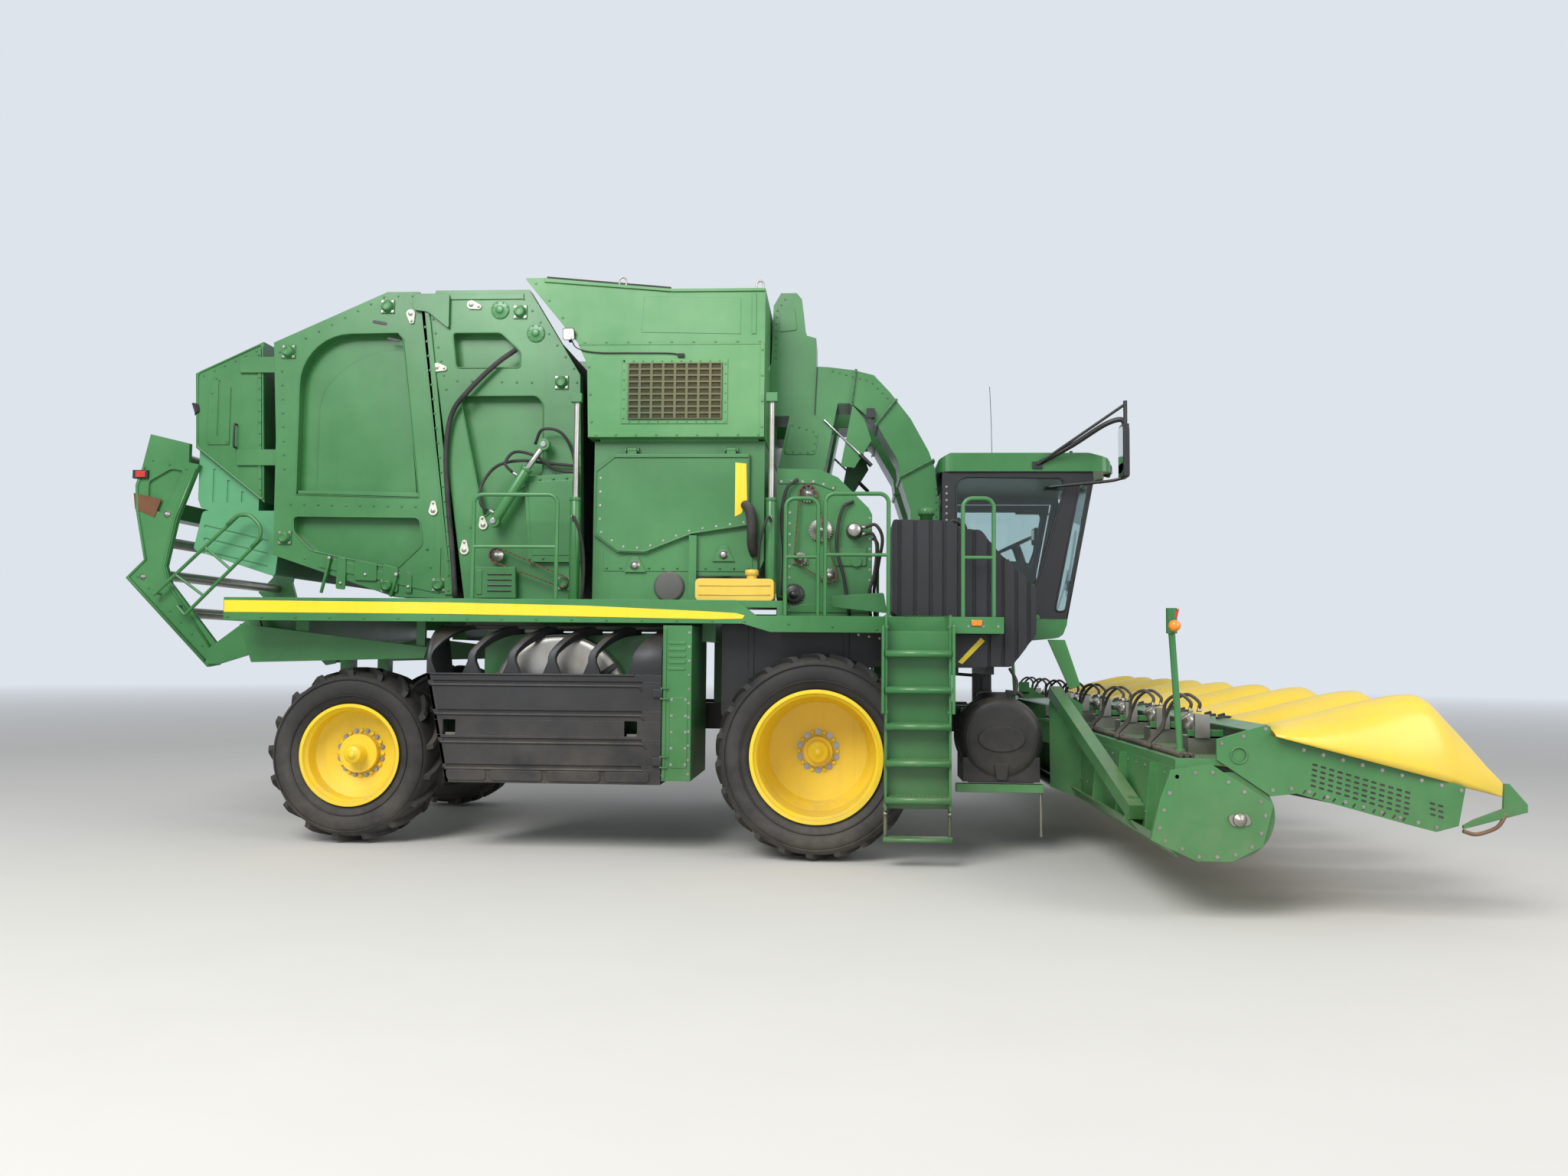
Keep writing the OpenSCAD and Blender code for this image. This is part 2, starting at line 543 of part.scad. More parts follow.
// Panes on the right: the side window and the end of the wrapped windscreen
cab_panes = [soften([[cab_rear + 130, 2370], [1990, 2370], [2260, 3290], [2240, 3385], [cab_rear + 200, 3395],
    [cab_rear + 130, 3340]], 24), soften([[2165, 2140], [2262, 2140], [2490, 3350], [2405, 3350]], 24)];
module cab_frame() machine() color(black) {
  difference() {
    slab(cab_side, -cab_y, -cab_y + cab_wall);
    for (pane = cab_panes) slab(pane, -cab_y - 1, -cab_y + cab_wall + 1);
  }
  difference() {
    slab(cab_side, cab_y - cab_wall, cab_y);
    slab([[cab_rear + 80, cab_floor_z - 1], [2200, cab_floor_z - 1], [2450, 3375], [cab_rear + 80, 3375]],
      cab_y - cab_wall - 1, cab_y + 1);
  }
  difference() {
    block(cab_rear, cab_rear + cab_wall, -cab_y + 1, cab_y - 1, cab_floor_z, cab_roof_z);
    block(cab_rear - 1, cab_rear + cab_wall + 1, -cab_y + 140, cab_y - 140, cab_floor_z + 500, cab_roof_z - 90);
  }
  translate([cab_hinge[0], cab_hinge[1], 0]) for (z = cab_hinge_z) {
    translate([0, 0, z - 50]) cylinder(r = 8, h = 100);
    for (e = [-50, 40]) block(-40, 8, -17, 10, z + e, z + e + 10);
  }
}
roof_front = 2700;
roof_top = 3615;
roof_rear = cab_rear - 35;
roof_side = soften([[roof_rear, cab_roof_z + seat], [roof_rear, 3560], [1200, roof_top], [2480, roof_top],
  [2650, 3570], [roof_front, 3520], [roof_front, cab_roof_z + seat]], 18);
module cab_roof() machine() color(green) intersection() {
  slab(roof_side, -cab_y - 30, cab_y + 30);
  translate([0, 0, 3300]) linear_extrude(400)
    polygon(soften(rect(roof_rear, -cab_y - 31, roof_front, cab_y + 31), 140, 6));
}
module cab_glass() machine() color([0.6, 0.7, 0.75, 0.4]) {
  slab([[2270, cab_floor_z + seat], [2270 - glass_t, cab_floor_z + seat], [2530 - glass_t, 3380],
    [2530, 3380]], -cab_y + cab_wall + seat, cab_y - cab_wall - seat);
  for (pane = cab_panes) translate([0, -cab_y + 20, 0]) rotate([90, 0, 0]) linear_extrude(glass_t)
    polygon([for (p = pane) p + seat * 1.5 * (pane_middle(pane) - p) / norm(pane_middle(pane) - p)]);
  block(cab_rear + 20, cab_rear + 20 + glass_t, -cab_y + 140 + seat, cab_y - 140 - seat,
    cab_floor_z + 500 + seat, cab_roof_z - 90 - seat);
}
function pane_middle(pane) = [for (p = pane) 1] * pane / len(pane);
module seat_block() block(1420, 1900, -260, 260, 2400, 2520);
module seat() machine() color([0.25, 0.25, 0.27]) {
  block(1560, 1760, -110, 110, cab_floor_z + seat - 0.3, 2400);
  seat_block();
  slab([[1420, 2520], [1540, 2520], [1440, 3100], [1320, 3100]], -240, 240);
}
module console() machine() color([0.12, 0.12, 0.13]) {
  block(1500, 2050, -560, -330, cab_floor_z, 2650);
  slab([[2080, cab_floor_z], [2180, cab_floor_z], [1985, 2850], [1900, 2835]], -50, 50);
  translate([1930, 0, 2830]) rotate([0, -25, 0]) difference() {
    cylinder(r = 200, h = 24);
    translate([0, 0, -1]) difference() {
      cylinder(r = 175, h = 26);
      for (a = [0, 120, 240]) rotate([0, 0, a]) block(0, 180, -15, 15, 0, 26);
      cylinder(r = 45, h = 26);
    }
  }
}
module mirrors() machine() both_sides() color(black) {
  block(1960, 2050, cab_y + 30 + seat, cab_y + 46, 3465, 3530);
  rod([2000, cab_y + 48, 3500], [2740, 1300, 4000], 13);
  translate([2740, 1300, 3760]) cylinder(r = 18, h = 270);
  block(2700, 2745, 1210, 1420, 3330, 3800);
}
module lamps() machine() color(steel) {
  for (y = [-760, -380, 380, 760]) translate([roof_front + seat, y, 3480]) rotate([0, 90, 0])
    cylinder(r = 36, h = 34);
  translate([2150, 0, roof_top + seat]) cylinder(r = 45, h = 120);
}

// Round module builder: fixed front half
builder_low = deck_z + seat;
front_frame = [[-3240, builder_low], [-2160, builder_low], [-2210, gate_z - 680], [-2700, builder_top],
  [-3580, builder_top], [-3670, gate_z - 130], [-3530, gate_z - 830]];
front_windows = [[[-3410, gate_z - 280], [-2960, gate_z - 280], [-2770, gate_z - 460], [-2770, gate_z - 610],
  [-3370, gate_z - 610]], [[-3330, gate_z - 870], [-2610, gate_z - 870], [-2550, gate_z - 940], [-2540, 3370],
  [-3080, 2950]]];
front_rollers = [[-3080, 2330], [-2320, 2350], [-2380, gate_z - 750], [-2780, gate_z - 90], [-3430, gate_z - 100]];
// A four-bolt bearing flange with its cap, on a side plate's outer face
module bearing(p) {
  block(p[0] - 62, p[0] + 62, builder_y - 1, builder_y + flange_t, p[1] - 62, p[1] + 62);
  bar_y(p[0], p[1], 40, builder_y, builder_y + flange_t + 14);
}
// Gap from the side plate to the hinge ear, clear of the gate's bearings
ear_gap = moving_gap;
module builder_frame() machine() color(green) {
  both_sides() {
    difference() {
      slab(front_frame, builder_in, builder_y);
      for (window = front_windows) slab(soften(window, 30), builder_in + skin_t, builder_y + 1);
    }
    for (p = front_rollers) if (p[0] > -3400) bearing(p);
    block(-gate_x + 200, -gate_x + 250, builder_y - 1, builder_y + ear_gap + 1, gate_z - 210, gate_z + 40);
    slab(soften([[-gate_x + 260, gate_z - 250], [-gate_x + 260, gate_z + 80], [-gate_x - 80, gate_z + 80],
      [-gate_x - 80, gate_z - 70], [-gate_x + 60, gate_z - 90]], 30), builder_y + ear_gap, builder_y + ear_gap + 30);
    bar_y(-gate_x, gate_z, gate_pin_r, builder_in + 1, builder_y + ear_gap + 29);
  }
  for (p = front_rollers) bar_y(p[0], p[1], roller_r, -builder_in - 1, builder_in + 1);
}
// The outline round a set of rollers, listed anticlockwise, each grown to radius r
function wrapped(rollers, r) = [for (i = [0:len(rollers) - 1])
  let (b = rollers[i], a = rollers[(i + len(rollers) - 1) % len(rollers)], c = rollers[(i + 1) % len(rollers)],
    a0 = atan2(a[0] - b[0], b[1] - a[1]), a1 = atan2(b[0] - c[0], c[1] - b[1]),
    turn = a1 < a0 ? a1 + 360 - a0 : a1 - a0, n = ceil(turn / 20), step = turn / n)
  for (k = [0.5:1:n]) b + r / cos(step / 2) * [cos(a0 + k * step), sin(a0 + k * step)]];
// Belts run round the rollers outside and along the round chamber inside
chamber = [-3640, 3560];
chamber_r = 1130;
module belt_loop(rollers) translate([0, builder_in - 20, 0]) rotate([90, 0, 0])
  linear_extrude(2 * builder_in - 40) difference() {
    polygon(wrapped(rollers, roller_r + seat + belt_t));
    translate(chamber) circle(r = chamber_r, $fn = 96);
    difference() {
      polygon(wrapped(rollers, roller_r + seat));
      translate(chamber) circle(r = chamber_r + belt_t, $fn = 96);
    }
  }
module builder_belts() machine() color(black) belt_loop(front_rollers);

// Gate: the rear half, hinged at the top
gate_low = deck_z + moving_gap + 20;
gate_outline = [[-3350, gate_low], [-3690, gate_z - 130], [-3740, gate_z + 110], [-4040, gate_z + 110],
  [-5110, gate_z - 360], [-5060, 3680], [-5050, 2600], [-3900, gate_low + 10]];
gate_windows = [concat([[-4850, 3160]], arc([-4370, gate_z - 760], 480, 180, 90, 8), [[-3930, gate_z - 275],
  [-3880, gate_z - 330], [-3690, 3130]]), soften([[-3680, 2950], [-4870, 2960], [-4860, 2810], [-4690, 2640],
  [-3880, 2470], [-3640, 2700]], 40)];
gate_rollers = [[-4030, gate_z - 30], [-4960, gate_z - 450], [-4940, 2760], [-3960, 2320], [-3480, 2330]];
module gate_frame() machine() color(green) {
  both_sides() difference() {
    slab(gate_outline, builder_in, builder_y);
    for (window = gate_windows) slab(window, builder_in + skin_t, builder_y + 1);
    bar_y(-gate_x, gate_z, gate_pin_r + running, builder_in - 1, builder_y + 1);
  }
  both_sides() for (p = gate_rollers) bearing(p);
  both_sides() for (z = [3450, 4330]) block(-5480, -5040, builder_in, builder_in + 25, z, z + 150);
  for (p = gate_rollers) bar_y(p[0], p[1], roller_r, -builder_in - 1, builder_in + 1);
}
module gate_belts() machine() color(black) belt_loop(gate_rollers);
wrap_outline = [[-5920, gate_z - 620], [-5270, gate_z - 320], [-5210, 3100], [-5890, 3620]];
module wrap_box() machine() color(green) {
  slab(wrap_outline, -builder_in + seat, builder_in - seat);
  both_sides() difference() {
    slab([[-5780, 3650], [-5570, 3650], [-5570, 4190], [-5630, 4300], [-5730, 4300], [-5780, 4130]],
      builder_in - 1, builder_in + 10);
    block(-5690, -5670, builder_in + 2, builder_in + 11, 3730, 4260);
  }
}
cover_y = handler_y - 60;
groove = 10;
function wrap_low(x) = wrap_outline[3][1] - (x - wrap_outline[3][0]) * (wrap_outline[3][1] - wrap_outline[2][1])
  / (wrap_outline[2][0] - wrap_outline[3][0]) - 1.25 * seat;
module wrap_covers() machine() color(mint) difference() {
  union() {
    slab([[-5880, 3140], [-5850, 3060], [-5770, 3030], [-5290, 3030], [-5290, wrap_low(-5290)],
      [-5880, wrap_low(-5880)]], -cover_y, cover_y);
    slab(soften([[-5830, 3031], [-5075, 3031], [-5060, 2900], [-5110, 2410], [-5910, 2660]], 40), -cover_y, cover_y);
  }
  both_sides() {
    for (x = [-5730, -5590, -5450]) block(x - 12, x + 12, cover_y - groove, cover_y + 1, 3110, wrap_low(x) - 70);
    for (z = [2560, 2680, 2800]) translate([-5500, cover_y - groove, z]) rotate([0, 13, 0])
      translate([-320, 0, 0]) cube([640, groove + 1, 24]);
  }
}

// Module handler: cradle folded up behind the gate
handler_side = [[-5700, 1560], [-5600, 1580], [-5540, 1680], [-6080, 2340], [-6130, 2500], [-6040, 2950],
  [-5850, 3460], [-5950, 3480], [-5950, 3660], [-6330, 3750], [-6400, 3440], [-6460, 3270], [-6450, 3040],
  [-6350, 2560], [-6520, 2390]];
handler_tubes = [[-6150, 3560], [-6240, 2740], [-6300, 2430], [-6030, 2070]];
// Step rail beside the cradle, as corners of a bent tube
step_rail = [[-5880, 2040], [-5180, 2750], [-5180, 2870], [-5290, 2970], [-5400, 2970], [-6180, 2230]];
step_rail_y = handler_y + moving_gap + 80;
module handler() machine() color(green) {
  both_sides() difference() {
    slab(handler_side, handler_y - 50, handler_y);
    slab(soften([[-6120, 3420], [-6000, 3400], [-6180, 2990], [-6330, 3060], [-6330, 3300]], 30),
      handler_y - 24, handler_y + 1);
    bar_y(-handler_x, handler_z, handler_pin_r + running, handler_y - 51, handler_y + 1);
  }
  block(-6420, -6240, -handler_y + 49, handler_y - 49, 2980, 3140);
  for (i = [0:4]) {
    a = step_rail[i];
    b = step_rail[i + 1];
    rod([a[0], -step_rail_y, a[1]], [b[0], -step_rail_y, b[1]], 16);
    translate([b[0], -step_rail_y, b[1]]) sphere(r = 17);
  }
  for (t = [0.25, 0.6]) rod([-5880 + 700 * t, -step_rail_y, 2040 + 710 * t], [-6180 + 780 * t, -step_rail_y,
    2230 + 740 * t], 13);
  bar_y(-5960, 2125, 13, -step_rail_y, -handler_y + 1);
  rod([-5880, -step_rail_y, 2040], [-5960, -step_rail_y, 2125], 15);
  bar_y(-6170, 2240, 12, -step_rail_y, -handler_y + 1);
}
module handler_rollers() machine() color(steel)
  for (p = handler_tubes) bar_y(p[0], p[1], 50, -handler_y + 50 + seat, handler_y - 50 - seat);

// Cooling box: radiator, its rotary screen and the slotted screen door
box_front = 1325;
box_in_y = 1500;
box_back_y = 900;
screen_hinge = [-box_front, -deck_y - 14];
hinge_z = [800, 1380];
module cooling_box() machine() color(black) {
  block(-screen_rear + 370, -1450, -box_in_y, -box_back_y, 650, 1900);
  block(-box_front + 8, -1070, -deck_y, -box_back_y, 640, 1960);
  bar_y(-screen_x, screen_z, 40, -box_in_y - 20, -box_in_y);
  bar_y(-screen_x, screen_z, 25, -box_in_y - 180, -box_in_y);
  block(-1451, -box_front + 9, -box_in_y, -box_back_y, 650, 1900);
  translate([screen_hinge[0], screen_hinge[1], 0]) for (z = hinge_z) {
    translate([0, 0, z - 50]) cylinder(r = 8, h = 100);
    for (e = [-50, 40]) {
      block(-8, 60, -12, 12, z + e, z + e + 10);
      block(15, 60, -12, 16, z + e, z + e + 10);
    }
  }
}
module rotary_screen() machine() color(steel) difference() {
  bar_y(-screen_x, screen_z, screen_r, -1700, -box_in_y - 25);
  bar_y(-screen_x, screen_z, 25 + running, -1701, -box_in_y);
  bar_y(-screen_x, screen_z, screen_r - 30, -1670, -box_in_y);
}
// Section of the door over y and z: upright below, curving in to the top edge, drawn in by t
function door_section(t) = concat([[-box_in_y - 12, 605 + t], [-deck_y + t, 605 + t]],
  [for (a = [0:15:90]) [-box_in_y - 30 - (deck_y - box_in_y - 30 - t) * cos(a), 1640 + (320 - t) * sin(a)]],
  [[-box_in_y - 12, 1960 - t]]);
door_bands = [850, 1085, 1320, 1480];
rib_count = 6;
rib_w = 60;
module screen_door() machine() color(black) difference() {
  union() {
    difference() {
      slab_x(door_section(0), -screen_rear, -box_front);
      slab_x(door_section(screen_skin), -screen_rear + screen_skin, -box_front + 1);
      slab_x([[-box_in_y - 30, 640], [-deck_y + 200, 640], [-deck_y + 200, 1900], [-box_in_y - 30, 1900]],
        -screen_rear + screen_skin, -box_front + 1);
      block(-screen_rear + screen_skin, -box_front + 1, -box_in_y - 40, -box_in_y, 640, 1925);
    }
    translate([screen_hinge[0], screen_hinge[1], 0]) for (z = hinge_z) {
      translate([0, 0, z - 32]) cylinder(r = 14, h = 64);
      block(-70, 0, -12, 15, z - 32, z + 32);
    }
  }
  translate([screen_hinge[0], screen_hinge[1], 0]) for (z = hinge_z) {
    translate([0, 0, z - 60]) cylinder(r = 8 + running, h = 120);
    for (e = [-54, 36]) block(-24, 1, 10, 30, z + e, z + e + 18);
  }
  rib_pitch = (screen_rear - box_front - 2 * rib_w) / (rib_count + 1);
  for (i = [0:rib_count]) block(-screen_rear + rib_w + i * rib_pitch + rib_w / 2,
    -screen_rear + rib_w + (i + 1) * rib_pitch - rib_w / 2, -deck_y - 1, -box_in_y - 60, 1535, 1900);
  for (z = door_bands) block(-screen_rear - 1, -box_front + 1, -deck_y - 1, -deck_y + 10, z, z + 26);
}

// Cab door on the left, hinged at the rear post
module cab_door() machine() color(black) difference() {
  union() {
    slab([[cab_rear + 90, cab_floor_z + 10], [2185, cab_floor_z + 10], [2432, 3365], [cab_rear + 90, 3365]],
      cab_y - cab_wall, cab_y - 5);
    translate([cab_hinge[0], cab_hinge[1], 0]) for (z = cab_hinge_z) {
      translate([0, 0, z - 32]) cylinder(r = 14, h = 64);
      block(0, 70, -13, 10, z - 32, z + 32);
      block(24, 70, -24, -12, z - 32, z + 32);
    }
  }
  translate([cab_hinge[0], cab_hinge[1], 0]) for (z = cab_hinge_z) translate([0, 0, z - 60])
    cylinder(r = 8 + running, h = 120);
  slab(soften([[cab_rear + 150, cab_floor_z + 120], [2130, cab_floor_z + 120], [2360, 3300],
    [cab_rear + 150, 3300]], 100), cab_y - cab_wall - 1, cab_y + 1);
}
module cab_door_glass() machine() color([0.6, 0.7, 0.75, 0.4])
  slab(soften([[cab_rear + 150 + seat, cab_floor_z + 120 + seat], [2130 - seat, cab_floor_z + 120 + seat],
    [2360 - seat, 3300 - seat], [cab_rear + 150 + seat, 3300 - seat]], 100), cab_y - 36, cab_y - 36 + glass_t);

// Header: frame, trough, auger, row units and hoods
trough = [2740, 700];
trough_r = 270;
shelf_z = 1060;
end_y = header_half + 40;
centre_y = 1000;
hood_base = 3000;
hood_rear = hood_base + seat;
// Height of an end hood's lower edge over the end panel
function hood_edge(x) = 1170 - (x - 3190) * (1170 - 910) / (4210 - 3190);
end_sheet = [[2350, 990], [2280, 800], [2220, 540], [2510, 410], [2730, 410], [2930, 510], [3000, 780], [2610, 1030]];
end_panel = [[2650, shelf_z - 1], [2990, 830], [3150, 850], [3860, 660], [4020, 620], [4160, 660],
  [4210, hood_edge(4210) - 2 * seat], [hood_rear, hood_edge(hood_rear) - 2 * seat], [hood_base, 1240],
  [2970, 1290], [2650, 1190]];
module header_frame() machine() color(green) {
  both_sides() {
    difference() {
      slab([[header_x - 70, header_z - 80], [header_x + 90, header_z - 90], [2420, 850], [2420, 1060],
        [header_x + 60, header_z + 90], [header_x - 70, header_z + 80]], rail_y + 40, rail_y + 120);
      bar_y(header_x, header_z, header_pin_r + running, rail_y, rail_y + 300);
    }
    slab(end_sheet, end_y, end_y + 40);
    difference() {
      slab(end_panel, end_y, end_y + 20);
      bar_y(2790, 1090, 45, end_y - 1, end_y + 21);
    }
    bar_y(trough[0] + 40, trough[1] - 20, 45, end_y + 39, end_y + 54);
    slab([[2110, 540], [2400, 430], [2400, 1290], [2150, 1440], [2100, 1300]], centre_y - 12, centre_y);
    beam([2160, centre_y - 60, 1400], [2330, 3300, 610], 110);
    slab([[2260, 540], [2401, 440], [2401, 700], [2300, 720]], 3200, 3212);
    for (y = [1900, 2750, 3650]) slab([[2300, 540], [2401, 440], [2401, 1000], [2340, 1000]], y, y + 10);
  }
  block(2100, 2400, -centre_y, centre_y, 1270, 1284);
  slab([[2110, 540], [2400, 430], [2400, 444], [2114, 553]], -centre_y, centre_y);
  block(2385, 2400, -end_y - 1, end_y + 1, 430, 1000);
  slab([[2290, 545], [2400, 430], [2410, 442], [2300, 555]], -end_y - 1, end_y + 1);
  difference() {
    bar_y(trough[0], trough[1], trough_r + 10, -end_y - 1, end_y + 1);
    bar_y(trough[0], trough[1], trough_r, -end_y + 1, end_y - 1);
    block(2600, 3100, -end_y + 1, end_y - 1, 700, 1000);
    block(2300, 2480, -end_y + 1, end_y - 1, 1000 - 40, 1100);
  }
  block(2390, 2560, -end_y - 1, end_y + 1, 900, shelf_z);
  block(2559, hood_base, -end_y - 1, end_y + 1, shelf_z - 40, shelf_z);
  slab([[2860, 1241], [2966, 1274], [2985, 1266], [2985, shelf_z - 1], [hood_base, shelf_z - 1], [hood_base, 1276],
    [2970, 1290], [2855, 1254]], -end_y - 1, end_y + 1);
}
module cross_auger() machine() color(green) {
  bar_y(trough[0], trough[1], 70, -end_y + 1 + seat, end_y - 1 - seat);
  for (k = [0:flight_count - 1], s = [-1, 1]) translate([trough[0], s * (300 + k * flight_pitch), trough[1]])
    rotate([90 + s * 12, 0, 0]) cylinder(r = auger_r, h = 8, center = true);
}
flight_pitch = 420;
flight_count = floor((header_half - 500) / flight_pitch) + 1;
module row_units() machine() color(black) for (i = [0:rows - 1], s = [-1, 1])
  translate([0, (i - (rows - 1) / 2) * row_pitch + s * 62, 0]) {
    rod([3030, 0, 900], [4250, 0, 660], 60);
    block(hood_rear, 3080, -62, 62, 800, shelf_z);
  }
// Hood sections along x: part of the full width, lower edge and crest
hood_x = [hood_rear, 3300, 3600, 3810, 3970, 4060, 4140, 4340, 4560];
hood_part = [1, 0.97, 0.94, 0.91, 0.86, 0.80, 0.70, 0.36, 0.06];
hood_low = [900, 880, 850, 830, 820, 815, 810, 800, 830];
hood_crest = [1276, 1340, 1420, 1470, 1482, 1450, 1370, 1150, 915];
// A ring round the hood: low on one side, over the crest at y = mid, low on the other side
function hood_ring(x, y0, z0, mid, top, y1, z1) = concat(
  [for (a = [0:18:90]) [x, mid + (y0 - mid) * cos(a), z0 + (top - z0) * sin(a)]],
  [for (a = [72:-18:0]) [x, mid + (y1 - mid) * cos(a), z1 + (top - z1) * sin(a)]]);
hood_half = (row_pitch - row_slot - 130) / 2;
module inner_hood() loft([for (k = [0:len(hood_x) - 1]) hood_ring(hood_x[k], -hood_half * hood_part[k], hood_low[k],
  0, hood_crest[k], hood_half * hood_part[k], hood_low[k])]);
module end_hood() loft([for (k = [0:len(hood_x) - 1]) let (mid = 150, edge = hood_edge(hood_x[k]))
  hood_ring(hood_x[k], mid + (-end_w - mid) * hood_part[k], edge, mid, max(hood_crest[k], edge + 20),
    mid + (hood_half - mid) * hood_part[k], edge)]);
module row_hoods() machine() color(yellow) {
  for (i = [1:rows - 1]) translate([0, (i - rows / 2) * row_pitch, 0]) inner_hood();
  both_sides() translate([0, -header_half, 0]) end_hood();
}
end_w = 136;
module header_motors() machine() color(steel) for (i = [0:rows - 1])
  translate([0, (i - (rows - 1) / 2) * row_pitch, 0]) {
    block(2600, 2840, -100, 100, shelf_z + seat, 1180);
    bar_y(2690, 1240, 55, -90, 60);
    block(2640, 2740, -130, -89, 1170, 1330);
  }
module marker_poles() machine() both_sides() color(steel) {
  translate([2480, 3900, shelf_z + seat]) cylinder(r = 34, h = 50);
  rod([2480, 3900, shelf_z + 20], [2430, 3900, 1900], 22);
  rod([2431, 3900, 1880], [2431, 3900, 2050], 36);
}

frame();
front_axle();
rear_axle();
engine();
deck();
deck_beams();
ladders();
handrails();
feeder_housing();
accumulator();
accumulator_grilles();
ducts();
cleaner();
oil_tank();
fuel_tank();
round_tank();
lift_cylinders();
cab_floor();
cab_frame();
cab_roof();
cab_glass();
seat();
console();
mirrors();
lamps();
builder_frame();
builder_belts();
cooling_box();
rotary_screen();
screen_door();
bay_door();
cab_door();
cab_door_glass();
gate_frame();
gate_belts();
wrap_box();
wrap_covers();
handler();
handler_rollers();
header_frame();
row_units();
row_hoods();
cross_auger();
header_motors();
marker_poles();
knuckle_left();
knuckle_right();
rear_left_tyre();
rear_right_tyre();
rear_left_rim();
rear_right_rim();
front_left_tyre();
front_right_tyre();
front_left_rim();
front_right_rim();
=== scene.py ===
import json
import math
import bmesh
import bpy
from mathutils import Matrix, Vector


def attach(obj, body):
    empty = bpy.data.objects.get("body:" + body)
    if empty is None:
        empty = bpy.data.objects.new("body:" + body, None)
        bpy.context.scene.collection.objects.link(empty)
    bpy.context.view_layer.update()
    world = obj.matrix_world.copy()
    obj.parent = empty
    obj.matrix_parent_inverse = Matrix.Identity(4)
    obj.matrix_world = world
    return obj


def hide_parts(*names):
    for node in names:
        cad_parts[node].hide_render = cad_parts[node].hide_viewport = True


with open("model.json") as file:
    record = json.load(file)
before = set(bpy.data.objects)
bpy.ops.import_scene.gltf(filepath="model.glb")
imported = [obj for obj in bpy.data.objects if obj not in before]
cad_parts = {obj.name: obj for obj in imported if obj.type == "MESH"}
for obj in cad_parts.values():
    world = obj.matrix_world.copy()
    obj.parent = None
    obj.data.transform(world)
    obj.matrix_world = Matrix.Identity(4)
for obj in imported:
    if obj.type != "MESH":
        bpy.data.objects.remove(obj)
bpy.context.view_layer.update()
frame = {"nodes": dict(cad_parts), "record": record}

nodes = frame["nodes"]
collection = bpy.context.collection
print("frame loaded with", len(nodes), "nodes")


def srgb(red, green, blue):
    def linear(value):
        value = value / 255
        return value / 12.92 if value <= 0.04045 else ((value + 0.055) / 1.055) ** 2.4
    return (linear(red), linear(green), linear(blue), 1.0)


def link(thing, name):
    made = bpy.data.objects.new(name, thing)
    collection.objects.link(made)
    return made


# Camera, where the photographer stood
cameraSet = {"place": (1.251, -11.93, 1.70), "yaw": math.radians(3.2), "pitch": math.atan(90 / 1536),
             "roll": math.radians(0.5), "lens": 27.0, "sensor": 36, "farthest": 500}


def makeCamera(values):
    yaw, pitch, roll = values["yaw"], values["pitch"], values["roll"]
    ahead = Vector((-math.sin(yaw) * math.cos(pitch), math.cos(yaw) * math.cos(pitch), math.sin(pitch)))
    right = Vector((math.cos(yaw), math.sin(yaw), 0))
    up = right.cross(ahead)
    turnedRight = right * math.cos(roll) + up * math.sin(roll)
    turnedUp = up * math.cos(roll) - right * math.sin(roll)
    camera = link(bpy.data.cameras.new("camera"), "camera")
    camera.data.lens = values["lens"]
    camera.data.sensor_width = values["sensor"]
    camera.data.clip_end = values["farthest"]
    columns = Matrix((turnedRight, turnedUp, -ahead)).transposed().to_4x4()
    camera.matrix_world = Matrix.Translation(values["place"]) @ columns
    bpy.context.scene.camera = camera


# Node helpers: an input takes a socket or a plain value
def fill(tree, node, inputs):
    for name, value in inputs.items():
        if isinstance(value, bpy.types.NodeSocket):
            tree.links.new(value, node.inputs[name])
        else:
            node.inputs[name].default_value = value


def put(tree, kind, inputs=None, **settings):
    node = tree.nodes.new(kind)
    for name, value in settings.items():
        setattr(node, name, value)
    fill(tree, node, inputs or {})
    return node


def startTree(kind, name, inputs, outputs):
    tree = bpy.data.node_groups.new(name, kind)
    for label, (sort, value) in inputs.items():
        socket = tree.interface.new_socket(name=label, in_out="INPUT", socket_type="NodeSocket" + sort)
        if value is not None:
            socket.default_value = value
    for label, sort in outputs.items():
        tree.interface.new_socket(name=label, in_out="OUTPUT", socket_type="NodeSocket" + sort)
    return tree, tree.nodes.new("NodeGroupInput").outputs, tree.nodes.new("NodeGroupOutput")


def startEffect(name, inputs, outputs):
    typed = {label: ("Float" if isinstance(value, float) else "Color", value)
             for label, value in inputs.items()}
    return startTree("ShaderNodeTree", name, typed, outputs)


def calculate(tree, operation, first, second):
    return put(tree, "ShaderNodeMath", {0: first, 1: second}, operation=operation).outputs[0]


def multiply(tree, first, second):
    return calculate(tree, "MULTIPLY", first, second)


def spread(tree, value, low, high):
    return put(tree, "ShaderNodeMapRange", {"Value": value, "From Min": low,
                                            "From Max": high}).outputs["Result"]


def mixColour(tree, share, first, second):
    return put(tree, "ShaderNodeMix", {0: share, 6: first, 7: second}, data_type="RGBA").outputs[2]


def mixValue(tree, share, first, second):
    return put(tree, "ShaderNodeMix", {0: share, 2: first, 3: second}, data_type="FLOAT").outputs[0]


def noise(tree, vector, scale, detail=4.0, roughness=0.55):
    return put(tree, "ShaderNodeTexNoise", {"Vector": vector, "Scale": scale, "Detail": detail,
                                            "Roughness": roughness}).outputs["Fac"]


def cells(tree, scale):
    return put(tree, "ShaderNodeTexVoronoi", {"Vector": placeOf(tree), "Scale": scale}).outputs["Distance"]


def placeOf(tree):
    return put(tree, "ShaderNodeTexCoord").outputs["Object"]


